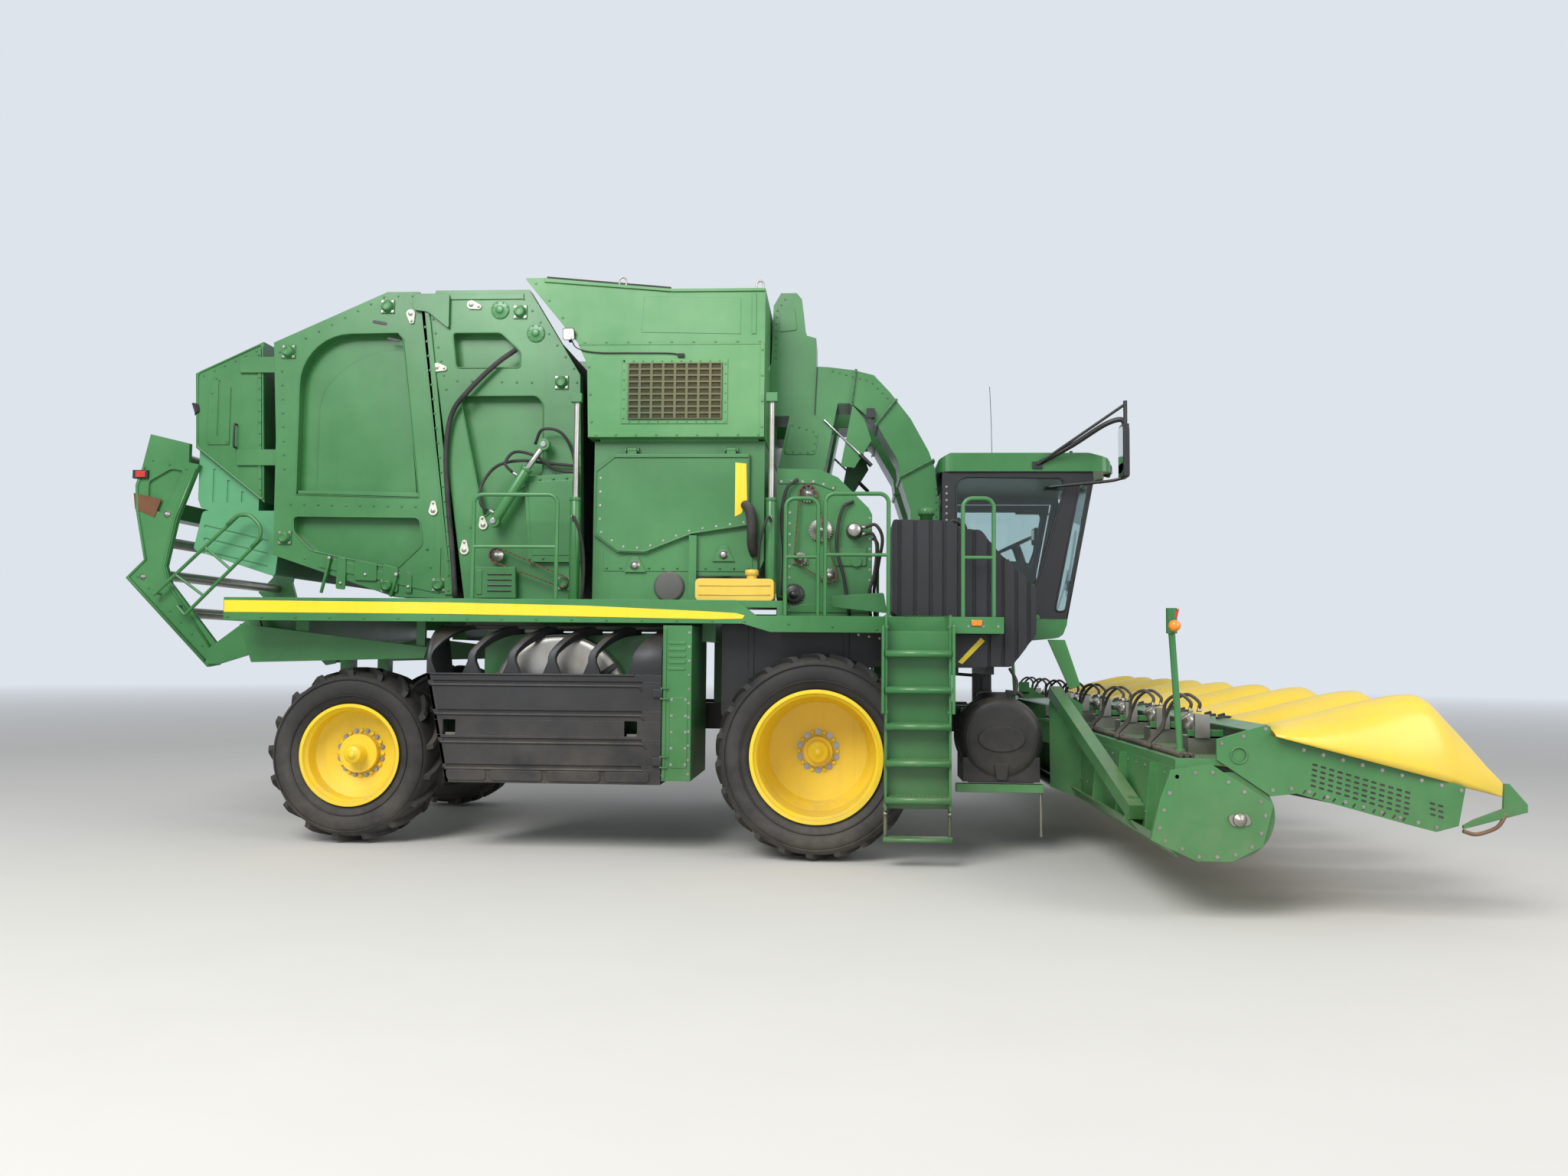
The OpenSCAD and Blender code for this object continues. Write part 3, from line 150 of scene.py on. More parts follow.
def normalOf(tree):
    return put(tree, "ShaderNodeNewGeometry").outputs["Normal"]


def heightOf(tree, vector):
    return put(tree, "ShaderNodeSeparateXYZ", {0: vector}).outputs["Z"]


# Shared effects
def makeWeatheredCoat():
    tree, inp, out = startEffect("Weathered Coat", {
        "Paint": srgb(60, 120, 60), "Faded": srgb(120, 160, 120), "Patch Scale": 0.8, "Patch Amount": 0.4,
        "Streak Amount": 0.15, "Smooth": 0.3, "Rough": 0.5}, {"Color": "Color", "Roughness": "Float"})
    place = placeOf(tree)
    patch = spread(tree, noise(tree, place, inp["Patch Scale"], 5.0), 0.38, 0.68)
    coat = mixColour(tree, multiply(tree, patch, inp["Patch Amount"]), inp["Paint"], inp["Faded"])
    tall = put(tree, "ShaderNodeMapping", {"Vector": place, "Scale": (9.0, 9.0, 0.7)}).outputs["Vector"]
    streak = multiply(tree, spread(tree, noise(tree, tall, 1.6, 6.0), 0.52, 0.80), inp["Streak Amount"])
    fill(tree, out, {"Color": mixColour(tree, streak, coat, (0.035, 0.04, 0.03, 1.0)),
                     "Roughness": mixValue(tree, noise(tree, place, 5.0, 5.0), inp["Smooth"], inp["Rough"])})
    return tree


def makeDustFilm():
    tree, inp, out = startEffect("Dust Film", {
        "Color": srgb(60, 120, 60), "Dust": srgb(170, 156, 132), "Amount": 0.5, "Top Height": 2.0,
        "Ledge Amount": 0.3}, {"Color": "Color", "Mask": "Float"})
    place = placeOf(tree)
    share = calculate(tree, "DIVIDE", heightOf(tree, place), inp["Top Height"])
    low = multiply(tree, spread(tree, calculate(tree, "SUBTRACT", 1.0, share), 0.0, 1.0), inp["Amount"])
    ledge = multiply(tree, spread(tree, heightOf(tree, normalOf(tree)), 0.4, 0.95), inp["Ledge Amount"])
    cloud = spread(tree, noise(tree, place, 3.0, 8.0, 0.65), 0.3, 0.72)
    mask = spread(tree, multiply(tree, calculate(tree, "ADD", low, ledge), cloud), 0.0, 1.0)
    fill(tree, out, {"Color": mixColour(tree, mask, inp["Color"], inp["Dust"]), "Mask": mask})
    return tree


def makeSoftEdge():
    tree, inp, out = startEffect("Soft Edge", {
        "Color": srgb(60, 120, 60), "Bare": srgb(150, 160, 140), "Amount": 0.5},
        {"Color": "Color", "Normal": "Vector", "Mask": "Float"})
    rounded = put(tree, "ShaderNodeBevel", {"Radius": 0.007}, samples=4).outputs["Normal"]
    turn = put(tree, "ShaderNodeVectorMath", {0: rounded, 1: normalOf(tree)},
               operation="DOT_PRODUCT").outputs["Value"]
    broken = spread(tree, noise(tree, placeOf(tree), 14.0, 6.0, 0.7), 0.45, 0.62)
    mask = multiply(tree, multiply(tree, spread(tree, turn, 0.985, 0.86), broken), inp["Amount"])
    fill(tree, out, {"Color": mixColour(tree, mask, inp["Color"], inp["Bare"]), "Normal": rounded,
                     "Mask": mask})
    return tree


def makeGrain():
    tree, inp, out = startEffect("Surface Grain", {"Scale": 60.0, "Waves": 1.5}, {"Height": "Float"})
    place = placeOf(tree)
    fine = multiply(tree, noise(tree, place, inp["Scale"], 3.0), 0.15)
    fill(tree, out, {"Height": calculate(tree, "ADD", fine, noise(tree, place, inp["Waves"], 2.0))})
    return tree


effects = {"coat": makeWeatheredCoat(), "dust": makeDustFilm(), "edge": makeSoftEdge(), "grain": makeGrain()}


def useEffect(tree, name, inputs):
    return put(tree, "ShaderNodeGroup", inputs, node_tree=effects[name]).outputs


materials = {}


def startMaterial(name):
    material = bpy.data.materials.new(name)
    material.use_nodes = True
    materials[name] = material
    return material.node_tree, material.node_tree.nodes["Principled BSDF"]


# One surface: a weathered coat, then worn edges, a film of dust and a fine relief where they are asked for
def makeSurface(name, coat, bare=None, dust=None, grain=None, weave=None, bump=(0.25, 0.004), more=None):
    tree, shader = startMaterial(name)
    coated = useEffect(tree, "coat", coat)
    values = {"Base Color": coated["Color"], "Roughness": coated["Roughness"], **(more or {})}
    relief = {"Strength": bump[0], "Distance": bump[1]}
    if bare:
        edge = useEffect(tree, "edge", {"Color": coated["Color"], "Bare": srgb(*bare)})
        values["Base Color"] = edge["Color"]
        relief["Normal"] = edge["Normal"]
    if dust:
        film = useEffect(tree, "dust", {"Color": values["Base Color"], **dust})
        values["Base Color"] = film["Color"]
        if bare:
            values["Roughness"] = mixValue(tree, film["Mask"], coated["Roughness"], 0.9)
    if grain is not None:
        relief["Height"] = useEffect(tree, "grain", grain)["Height"]
    if weave:
        relief["Height"] = cells(tree, weave)
    if "Height" in relief:
        values["Normal"] = put(tree, "ShaderNodeBump", relief).outputs["Normal"]
    fill(tree, shader, values)


# Finishes. Colours are written as sRGB, as the eye reads them in daylight.
# paint, faded, bare edge, patches, streaks, smooth, rough, dust, its top height, dust on ledges, clear coat
paintFinishes = {
    "greenPaint": ((42, 108, 50), (88, 150, 94), (120, 150, 118),
                   0.45, 0.12, 0.30, 0.46, 0.28, 1.4, 0.25, 0.25),
    "fadedGreen": ((62, 130, 68), (118, 166, 112), (150, 170, 140),
                   0.5, 0.10, 0.36, 0.55, 0.2, 1.0, 0.3, 0.1),
    "yellowPaint": ((240, 204, 22), (244, 222, 70), (150, 130, 90),
                    0.35, 0.10, 0.32, 0.48, 0.30, 1.6, 0.35, 0.2),
    "yellowPlastic": ((228, 192, 30), (238, 212, 78), (244, 232, 150),
                      0.5, 0.05, 0.26, 0.42, 0.35, 1.8, 0.2, 0.35),
    "blackPaint": ((17, 17, 18), (34, 34, 34), (110, 108, 100),
                   0.4, 0.05, 0.34, 0.5, 0.26, 1.5, 0.3, 0.15),
    "blackPlastic": ((20, 21, 24), (42, 43, 46), (88, 88, 88),
                     0.5, 0.08, 0.40, 0.58, 0.24, 1.6, 0.3, 0.0),
    "mintPlastic": ((72, 142, 94), (108, 172, 128), (150, 190, 160),
                    0.5, 0.08, 0.38, 0.5, 0.2, 1.0, 0.25, 0.1),
    "amberPlastic": ((216, 180, 56), (230, 204, 110), (240, 210, 140),
                     0.4, 0.08, 0.34, 0.5, 0.2, 1.0, 0.3, 0.1),
    "grilleBrown": ((84, 92, 62), (122, 108, 74), (120, 108, 84),
                    0.7, 0.1, 0.55, 0.75, 0.3, 1.0, 0.6, 0.0),
    "paleLink": ((204, 208, 188), (224, 224, 208), (150, 130, 100),
                 0.5, 0.12, 0.40, 0.6, 0.3, 1.0, 0.3, 0.0),
    "castGrey": ((72, 72, 70), (100, 98, 92), (130, 128, 120),
                 0.6, 0.1, 0.55, 0.75, 0.4, 2.4, 0.4, 0.0),
}
# paint, faded, patches, smooth, rough, metallic
metalFinishes = {
    "bareSteel": ((176, 174, 168), (132, 122, 106), 0.5, 0.24, 0.46, 0.9),
    "chromeRod": ((206, 206, 204), (170, 166, 158), 0.3, 0.10, 0.24, 1.0),
    "rustedSteel": ((112, 72, 44), (78, 56, 42), 0.7, 0.55, 0.8, 0.2),
    "brownChain": ((98, 74, 52), (62, 54, 46), 0.6, 0.4, 0.7, 0.5),
    "rubber": ((30, 30, 30), (72, 68, 62), 0.6, 0.62, 0.82, 0.0),
}
# colour, rough, metallic
lensFinishes = {
    "amberLens": ((236, 140, 30), 0.12, 0.0), "redLens": ((196, 44, 26), 0.12, 0.0),
    "lampLens": ((226, 228, 224), 0.08, 0.0), "screenFace": ((34, 46, 58), 0.06, 0.0),
    "mirrorFace": ((200, 206, 210), 0.03, 1.0),
}
for name, values in paintFinishes.items():
    paint, faded, bare, patch, streak, smooth, rough, dust, top, ledge, clear = values
    makeSurface(name, {"Paint": srgb(*paint), "Faded": srgb(*faded), "Patch Amount": patch,
                       "Streak Amount": streak,
                       "Smooth": smooth, "Rough": rough}, bare,
                {"Amount": dust, "Top Height": top, "Ledge Amount": ledge}, {},
                more={"Coat Weight": clear, "Coat Roughness": 0.25})
for name, (paint, faded, patch, smooth, rough, metallic) in metalFinishes.items():
    makeSurface(name, {"Paint": srgb(*paint), "Faded": srgb(*faded), "Patch Amount": patch,
                       "Patch Scale": 4.0,
                       "Smooth": smooth, "Rough": rough}, dust={"Amount": 0.5, "Top Height": 1.8},
                grain={"Scale": 120.0, "Waves": 6.0}, bump=(0.3, 0.002), more={"Metallic": metallic})
makeSurface("tyreRubber", {"Paint": srgb(26, 26, 27), "Faded": srgb(46, 46, 46), "Patch Scale": 2.5,
                           "Patch Amount": 0.6, "Streak Amount": 0.0, "Smooth": 0.6, "Rough": 0.85},
            dust={"Dust": srgb(128, 120, 106), "Amount": 0.42, "Top Height": 1.7, "Ledge Amount": 0.25},
            grain={"Scale": 45.0, "Waves": 5.0}, bump=(0.6, 0.006))
makeSurface("tintedGlass", {"Paint": srgb(206, 226, 226), "Faded": srgb(228, 230, 222), "Patch Scale": 1.5,
                            "Patch Amount": 0.3, "Streak Amount": 0.05, "Smooth": 0.01, "Rough": 0.06},
            more={"Transmission Weight": 1.0, "IOR": 1.45})
makeSurface("seatFabric", {"Paint": srgb(62, 62, 66), "Faded": srgb(92, 90, 88), "Patch Scale": 5.0,
                           "Patch Amount": 0.5, "Streak Amount": 0.0, "Smooth": 0.85, "Rough": 0.95},
            weave=240.0, bump=(0.5, 0.002), more={"Sheen Weight": 0.3})


def makeLens(name, colour, rough, metallic):
    tree, shader = startMaterial(name)
    dark = tuple(part * 0.82 for part in srgb(*colour)[:3]) + (1.0,)
    share = spread(tree, noise(tree, placeOf(tree), 40.0, 3.0), 0.4, 0.7)
    bump = put(tree, "ShaderNodeBump", {"Strength": 0.15, "Distance": 0.002, "Height": cells(tree, 130.0)})
    fill(tree, shader, {"Base Color": mixColour(tree, share, srgb(*colour), dark),
                        "Normal": bump.outputs["Normal"],
                        "Roughness": rough, "Metallic": metallic, "Coat Weight": 0.5})


for name, values in lensFinishes.items():
    makeLens(name, *values)
slotFinish = {
    "green_paint": "greenPaint", "faded_green": "fadedGreen", "yellow_paint": "yellowPaint",
    "yellow_plastic": "yellowPlastic", "black_paint": "blackPaint", "black_plastic": "blackPlastic",
    "tyre_rubber": "tyreRubber", "belt_rubber": "rubber", "bare_steel": "bareSteel", "glass": "tintedGlass",
    "mint_plastic": "mintPlastic", "seat_fabric": "seatFabric", "grille_brown": "grilleBrown",
    "amber_plastic": "amberPlastic", "cast_grey": "castGrey",
}
for part in frame["record"]["subparts"]:
    mesh = nodes[part["node"]].data
    mesh.materials.clear()
    mesh.materials.append(materials[slotFinish[part["material_slot"]]])
print("finishes made:", len(materials))

# Shapes in machine coordinates: x from the front axle, y to the left, z up, in metres
frontAxle = 0.98
origin, rightward, leftward, upward = Vector((0, 0, 0)), (0, -1, 0), (0, 1, 0), (0, 0, 1)


def at(x, y, z):
    return Vector((x + frontAxle, y, z))


def turnTo(direction):
    return Vector(direction).to_track_quat("Z", "Y").to_matrix()


def circle(radius, sides, along=0):
    return [(radius * math.cos(2 * math.pi * k / sides), radius * math.sin(2 * math.pi * k / sides), along)
            for k in range(sides)]


def compass(degrees):
    return Vector((math.cos(math.radians(degrees)), 0, math.sin(math.radians(degrees))))


def addRing(shape, centre, turn, points):
    return [shape.verts.new(centre + turn @ Vector(point)) for point in points]


def addFace(shape, corners, slot=0, smooth=False):
    face = shape.faces.new(corners)
    face.material_index = slot
    face.smooth = smooth


def bridge(shape, first, second, slot=0, smooth=True):
    count = len(first)
    for k in range(count):
        addFace(shape, (first[k], first[(k + 1) % count], second[(k + 1) % count], second[k]), slot, smooth)


def bridgeAll(shape, rings, slot=0, smooth=True, ends=(0, 0)):
    for first, second in zip(rings, rings[1:]):
        bridge(shape, first, second, slot, smooth)
    for ring, end in zip((rings[0], rings[-1]), ends or ()):
        addFace(shape, ring, end)


# A turned part, from a profile of radius and distance along its axis
def addLathe(shape, profile, centre, axis, sides=24, slot=0, closed=False):
    turn = turnTo(axis)
    rings = []
    for radius, along in profile:
        points = circle(radius, sides, along) if radius > 1e-6 else [(0, 0, along)]
        rings.append(addRing(shape, at(*centre) if isinstance(centre, tuple) else centre, turn, points))
    for first, second in list(zip(rings, rings[1:])) + ([(rings[-1], rings[0])] if closed else []):
        if len(first) == 1 and len(second) == 1:
            continue
        for k in range(sides):
            corners = [first[k % len(first)], first[(k + 1) % len(first)], second[(k + 1) % len(second)],
                       second[k % len(second)]]
            addFace(shape, [corner for n, corner in enumerate(corners) if corner not in corners[:n]], slot,
                    True)
    if not closed:
        for ring in (rings[0], rings[-1]):
            if len(ring) > 1:
                addFace(shape, ring, slot)


def addRod(shape, start, end, radius, sides=16, slot=0):
    start, end = [at(*point) if isinstance(point, tuple) else point for point in (start, end)]
    addLathe(shape, [(radius, 0.0), (radius, (end - start).length)], start, end - start, sides, slot)


def curvePath(points, steps=6):
    points = [at(*point) for point in points]
    padded = [points[0] * 2 - points[1]] + points + [points[-1] * 2 - points[-2]]
    path = []
    for k in range(1, len(padded) - 2):
        before, start, end, after = padded[k - 1:k + 3]
        for n in range(steps):
            t = n / steps
            squared = (2 * before - 5 * start + 4 * end - after) * t ** 2
            cubed = (3 * start - before - 3 * end + after) * t ** 3
            path.append(0.5 * (2 * start + (end - before) * t + squared + cubed))
    return path + [points[-1]]


def bend(before, corner, after, radius, most, steps=4):
    before, corner, after = Vector(before), Vector(corner), Vector(after)
    reach = min(radius, (before - corner).length * most, (after - corner).length * most)
    start = corner + (before - corner).normalized() * reach
    end = corner + (after - corner).normalized() * reach
    return [(1 - n / steps) ** 2 * start + 2 * (n / steps) * (1 - n / steps) * corner + (n / steps) ** 2 * end
            for n in range(steps + 1)]


def roundedPath(points, radius):
    points = [at(*point) for point in points]
    path = [points[0]]
    for corners in zip(points, points[1:], points[2:]):
        path += bend(*corners, radius, 0.45)
    return path + [points[-1]]


def roundCorners(outline, radius, steps=4):
    rounded = []
    for k, corner in enumerate(outline):
        rounded += [tuple(point) for point in
                    bend(outline[k - 1], corner, outline[(k + 1) % len(outline)], radius, 0.48, steps)]
    return rounded


def addTube(shape, path, radius, sides=10, slot=0, closed=False):
    turn = turnTo(path[1] - path[0])
    rings = []
    count = len(path)
    for k, point in enumerate(path):
        if closed:
            ahead = path[(k + 1) % count] - path[k - 1]
        else:
            ahead = path[min(k + 1, count - 1)] - path[max(k - 1, 0)]
        turn = (turn @ Vector((0, 0, 1))).rotation_difference(ahead).to_matrix() @ turn
        wide = radius(k / (count - 1)) if callable(radius) else radius
        rings.append(addRing(shape, point, turn, circle(wide, sides)))
    bridgeAll(shape, rings, slot, ends=None if closed else (slot, slot))
    if closed:
        bridge(shape, rings[-1], rings[0], slot)


def addHose(shape, points, radius, sides=8, slot=0, steps=6):
    addTube(shape, curvePath(points, steps), radius, sides, slot)


def addPipe(shape, points, radius, sides=8, slot=0):
    addTube(shape, [at(*point) for point in points], radius, sides, slot)


# A closed rim on a side face, from an outline in x and z
def addRim(shape, outline, y, radius, sides=6):
    addTube(shape, [at(x, y, z) for x, z in outline], radius, sides, closed=True)


def addPlate(shape, outline, y0, y1, slot=0, rounding=0):
    if rounding:
        outline = roundCorners(outline, rounding)
    rings = [[shape.verts.new(at(x, y, z)) for x, z in outline] for y in (y0, y1)]
    bridgeAll(shape, rings, slot, False, (slot, slot))


def addBlock(shape, low, high, slot=0):
    addPlate(shape, [(low[0], low[2]), (high[0], low[2]), (high[0], high[2]), (low[0], high[2])], low[1],
             high[1], slot)


def addBeam(shape, start, end, width, height, slot=0, up=(0, 0, 1)):
    start, end = [at(*point) if isinstance(point, tuple) else point for point in (start, end)]
    ahead = (end - start).normalized()
    side = ahead.cross(Vector(up)).normalized()
    top = side.cross(ahead)
    rings = [[shape.verts.new(point + side * (a * width / 2) + top * (b * height / 2))
              for a, b in ((-1, -1), (1, -1), (1, 1), (-1, 1))] for point in (start, end)]
    bridgeAll(shape, rings, slot, False, (slot, slot))


def placePiece(name, mesh, body, replaced=()):
    mesh.name = name
    piece = link(mesh, name)
    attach(piece, body)
    if replaced:
        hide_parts(*replaced)
    return piece


def meshOf(name, parts, mirrored=False):
    shape = bmesh.new()
    for build, *values in parts:
        build(shape, *values)
    if mirrored:
        copied = bmesh.ops.duplicate(shape, geom=shape.verts[:] + shape.edges[:] + shape.faces[:])
        for vertex in (part for part in copied["geom"] if isinstance(part, bmesh.types.BMVert)):
            vertex.co.y = -vertex.co.y
    bmesh.ops.recalc_face_normals(shape, faces=shape.faces[:])
    mesh = bpy.data.meshes.new(name)
    shape.to_mesh(mesh)
    shape.free()
    return mesh


# Edges sharper than these degrees are rounded where a piece asks for it
roundingSet = {"segments": 2, "degrees": 40}


# One piece from a list of parts, each a function and its values. Its slot is its first
# finish's own, unless given.
def makePiece(name, body, finishNames, parts, bevel=0.0, mirrored=False, replaced=(), place=None):
    mesh = meshOf(name, parts, mirrored)
    if place:
        mesh.transform(place)
    finishNames = finishNames.split()
    for finishName in finishNames:
        mesh.materials.append(materials[finishName])
    piece = placePiece(name, mesh, body, replaced)
    if bevel:
        rounding = piece.modifiers.new("rounding", "BEVEL")
        rounding.width = bevel
        rounding.segments = roundingSet["segments"]
        rounding.limit_method = "ANGLE"
        rounding.angle_limit = math.radians(roundingSet["degrees"])
    return piece


# What repeats comes from Geometry Nodes trees, then is kept as a plain mesh
def startGrowth(name, inputs):
    kinds = {"Geometry": ("Geometry", None), **inputs, "Finish": ("Material", None)}
    return startTree("GeometryNodeTree", name, kinds, {"Geometry": "Geometry"})


def endGrowth(tree, inp, out, shaped):
    made = put(tree, "GeometryNodeRealizeInstances", {"Geometry": shaped}).outputs["Geometry"]
    done = put(tree, "GeometryNodeSetMaterial", {"Geometry": made,
                                                 "Material": inp["Finish"]}).outputs["Geometry"]
    fill(tree, out, {"Geometry": done})
    return tree


def instances(tree, points, instance, **more):
    return put(tree, "GeometryNodeInstanceOnPoints", {"Points": points, "Instance": instance, **more}
               ).outputs["Instances"]


def joined(tree, *shapes):
    both = tree.nodes.new("GeometryNodeJoinGeometry")
    for shaped in shapes:
        tree.links.new(shaped, both.inputs[0])
    return both.outputs["Geometry"]


def curveOf(tree, inp):
    return put(tree, "GeometryNodeMeshToCurve", {"Mesh": inp["Geometry"]}).outputs["Curve"]


def pointsAlong(tree, inp):
    return put(tree, "GeometryNodeCurveToPoints", {"Curve": curveOf(tree, inp), "Length": inp["Pitch"]},
               mode="LENGTH").outputs


def objectShape(tree, thing):
    return put(tree, "GeometryNodeObjectInfo", {"Object": thing}).outputs["Geometry"]


def growMesh(name, tree, values, verts, edges=(), facing=None):
    mesh = bpy.data.meshes.new(name + "Path")
    mesh.from_pydata(verts, edges, [])
    if facing is not None:
        layer = mesh.attributes.new("facing", "FLOAT_VECTOR", "POINT")
        layer.data.foreach_set("vector", [part for vector in facing for part in vector])
    maker = link(mesh, name + "Maker")
    modifier = maker.modifiers.new("grow", "NODES")
    modifier.node_group = tree
    for item in tree.interface.items_tree:
        if item.item_type == "SOCKET" and item.in_out == "INPUT" and item.name in values:
            modifier[item.identifier] = values[item.name]
    grown = bpy.data.meshes.new_from_object(maker.evaluated_get(bpy.context.evaluated_depsgraph_get()))
    maker.modifiers.remove(modifier)
    bpy.data.objects.remove(maker)
    return grown


def makeBoltTree():
    tree, inp, out = startGrowth("Bolt Rows", {
        "Pitch": ("Float", 0.1), "Head Radius": ("Float", 0.01), "Head Height": ("Float", 0.008),
        "Washer Radius": ("Float", 0.015), "Head Sides": ("Int", 6)})
    facing = put(tree, "GeometryNodeInputNamedAttribute", {"Name": "facing"}, data_type="FLOAT_VECTOR")
    turn = put(tree, "FunctionNodeAlignRotationToVector", {"Vector": facing.outputs["Attribute"]}, axis="Z")
    washer = put(tree, "GeometryNodeMeshCylinder", {"Vertices": 12, "Radius": inp["Washer Radius"],
                                                    "Depth": 0.005})
    head = put(tree, "GeometryNodeMeshCylinder", {"Vertices": inp["Head Sides"], "Radius": inp["Head Radius"],
                                                  "Depth": inp["Head Height"]})
    lift = put(tree, "ShaderNodeCombineXYZ", {"Z": multiply(tree, inp["Head Height"], 0.5)}).outputs[0]
    head = put(tree, "GeometryNodeTransform", {"Geometry": head.outputs["Mesh"], "Translation": lift})
    bolt = joined(tree, washer.outputs["Mesh"], head.outputs["Geometry"])
    return endGrowth(tree, inp, out, instances(tree, pointsAlong(tree, inp)["Points"], bolt,
                                               Rotation=turn.outputs["Rotation"]))


trees = {"bolts": makeBoltTree()}


def boltPiece(name, body, rows, pitch, radius, finishName="bareSteel", sides=6):
    verts, edges, facing = [], [], []
    for side, path in rows:
        edges += [(len(verts) + k, len(verts) + k + 1) for k in range(len(path) - 1)]
        verts += [tuple(at(*point)) for point in path]
        facing += [side] * len(path)
    values = {"Pitch": pitch, "Head Radius": radius, "Head Height": radius * 0.9,
              "Washer Radius": radius * 1.5,
              "Head Sides": sides, "Finish": materials[finishName]}
    mesh = growMesh(name, trees["bolts"], values, verts, edges, facing)
    placePiece(name, mesh, body)


# The path of a single bolt is shorter than the rows' pitch
def oneBolt(x, z, length=0.0004):
    return [(x, z), (x + length, z)]


def sideRows(lines, side):
    return [((0, side, 0), [(x, -side * y, z) for x, z in line]) for y, line in lines]


# Rows of bolts on one side face or on both, from a y and a line in x and z
def boltSides(name, body, lines, pitch, radius, finishName="greenPaint", sides=6):
    for side, where in ((1, "Left"), (-1, "Right")):
        boltPiece(name + where, body, sideRows(lines, side), pitch, radius, finishName, sides)


# Wheels: tyres with staggered bars, hub caps and nuts
wheelShapes = {
    "front": {"axleX": 0.0, "radius": 0.87, "width": 0.52, "rim": 0.56, "face": 2.09, "barHeight": 0.04,
              "bars": 22,
              "bulge": 0.03, "lean": 34, "barWidth": 0.046, "disc": 1.41, "nutCircle": 0.34, "nuts": 10,
              "nutRadius": 0.02, "cap": 0.10, "capOut": 0.05},
    "rear": {"axleX": -4.19, "radius": 0.79, "width": 0.52, "rim": 0.457, "face": 1.585, "barHeight": 0.052,
             "bars": 17, "bulge": 0.026, "lean": 38, "barWidth": 0.042, "disc": 1.30, "nutCircle": 0.41,
             "nuts": 12,
             "nutRadius": 0.017, "cap": 0.085, "capOut": 0.12},
}
tyreSides = 72


def makeBarTree():
    tree, inp, out = startGrowth("Tread Bars", {"Bars": ("Int", 20), "Bar": ("Object", None)})
    points = put(tree, "GeometryNodePoints", {"Count": inp["Bars"]}).outputs[0]
    step = calculate(tree, "DIVIDE", 2 * math.pi, inp["Bars"])
    angle = multiply(tree, put(tree, "GeometryNodeInputIndex").outputs["Index"], step)
    turn = put(tree, "ShaderNodeCombineXYZ", {"Z": angle}).outputs[0]
    return endGrowth(tree, inp, out, instances(tree, points, objectShape(tree, inp["Bar"]), Rotation=turn))


trees["bars"] = makeBarTree()


def addBar(shape, values):
    # one leaning bar in the wheel's own axes: axle along z, outer face up
    crown, half = values["radius"], values["width"] / 2 - 0.012
    lean = math.radians(values["lean"]) * 0.62
    rings = []
    for t, shoulder in ((0.0, 0.0), (0.25, 0.0), (0.5, 0.0), (0.75, 0.0), (0.92, 0.012), (1.0, 0.075)):
        z = half + t * (half + values["bulge"] * 0.2)
        top, low = crown - 0.006 - 0.016 * t ** 2 - shoulder, crown - values["barHeight"] - 0.03 - 0.05 * t
        middle = -lean * (t ** 0.85) * 0.52 / crown
        reach = values["barWidth"] * (0.5 + 0.16 * t) / crown
        rings.append([shape.verts.new((radius * math.cos(middle + side * reach),
                                       radius * math.sin(middle + side * reach), z))
                      for radius, side in ((low, -1.3), (top, -0.86), (top, 0.86), (low, 1.3))])
    bridgeAll(shape, rings, 0, False)


def addMesh(shape, mesh):
    shape.from_mesh(mesh)


def tyreParts(values):
    radius, width, rim, bulge = values["radius"], values["width"], values["rim"], values["bulge"]
    crown = radius - values["barHeight"]
    section = [(rim - 0.012, 0.045), (rim + 0.012, 0.028), (rim + 0.04, 0.012), (rim + 0.1, -bulge * 0.7),
               (rim + 0.16, -bulge), (crown - 0.085, -bulge * 0.62), (crown - 0.05, -0.002),
               (crown - 0.028, 0.03), (crown - 0.008, 0.09), (crown, 0.16)]
    profile = section + [(crown + 0.003, width / 2)] + [(r, width - z) for r, z in reversed(section)]
    profiles = [profile + [(rim - 0.02, width - 0.07), (rim - 0.02, 0.07)]]
    # plain sidewall rings
    for z, out in ((-bulge * 0.86 - 0.002, 0.012), (width + bulge * 0.86 + 0.002, -0.012)):
        for ringAt in (rim + 0.075, crown - 0.062):
            profiles.append([(ringAt - 0.006, z + out), (ringAt, z), (ringAt + 0.006, z + out)])
    bar = link(meshOf("bar", [(addBar, values)]), "bar")
    bars = growMesh("bars", trees["bars"], {"Bars": values["bars"], "Bar": bar,
                                            "Finish": materials["tyreRubber"]}, [])
    bpy.data.objects.remove(bar)
    otherBars = bars.copy()
    otherBars.transform(Matrix.Translation((0, 0, width)) @ Matrix.Scale(-1, 4, (0, 0, 1))
                        @ Matrix.Rotation(math.pi / values["bars"], 4, "Z"))
    otherBars.flip_normals()
    return [(addLathe, profile, origin, upward, tyreSides, 0, True) for profile in profiles] + [
        (addMesh, bars), (addMesh, otherBars)]


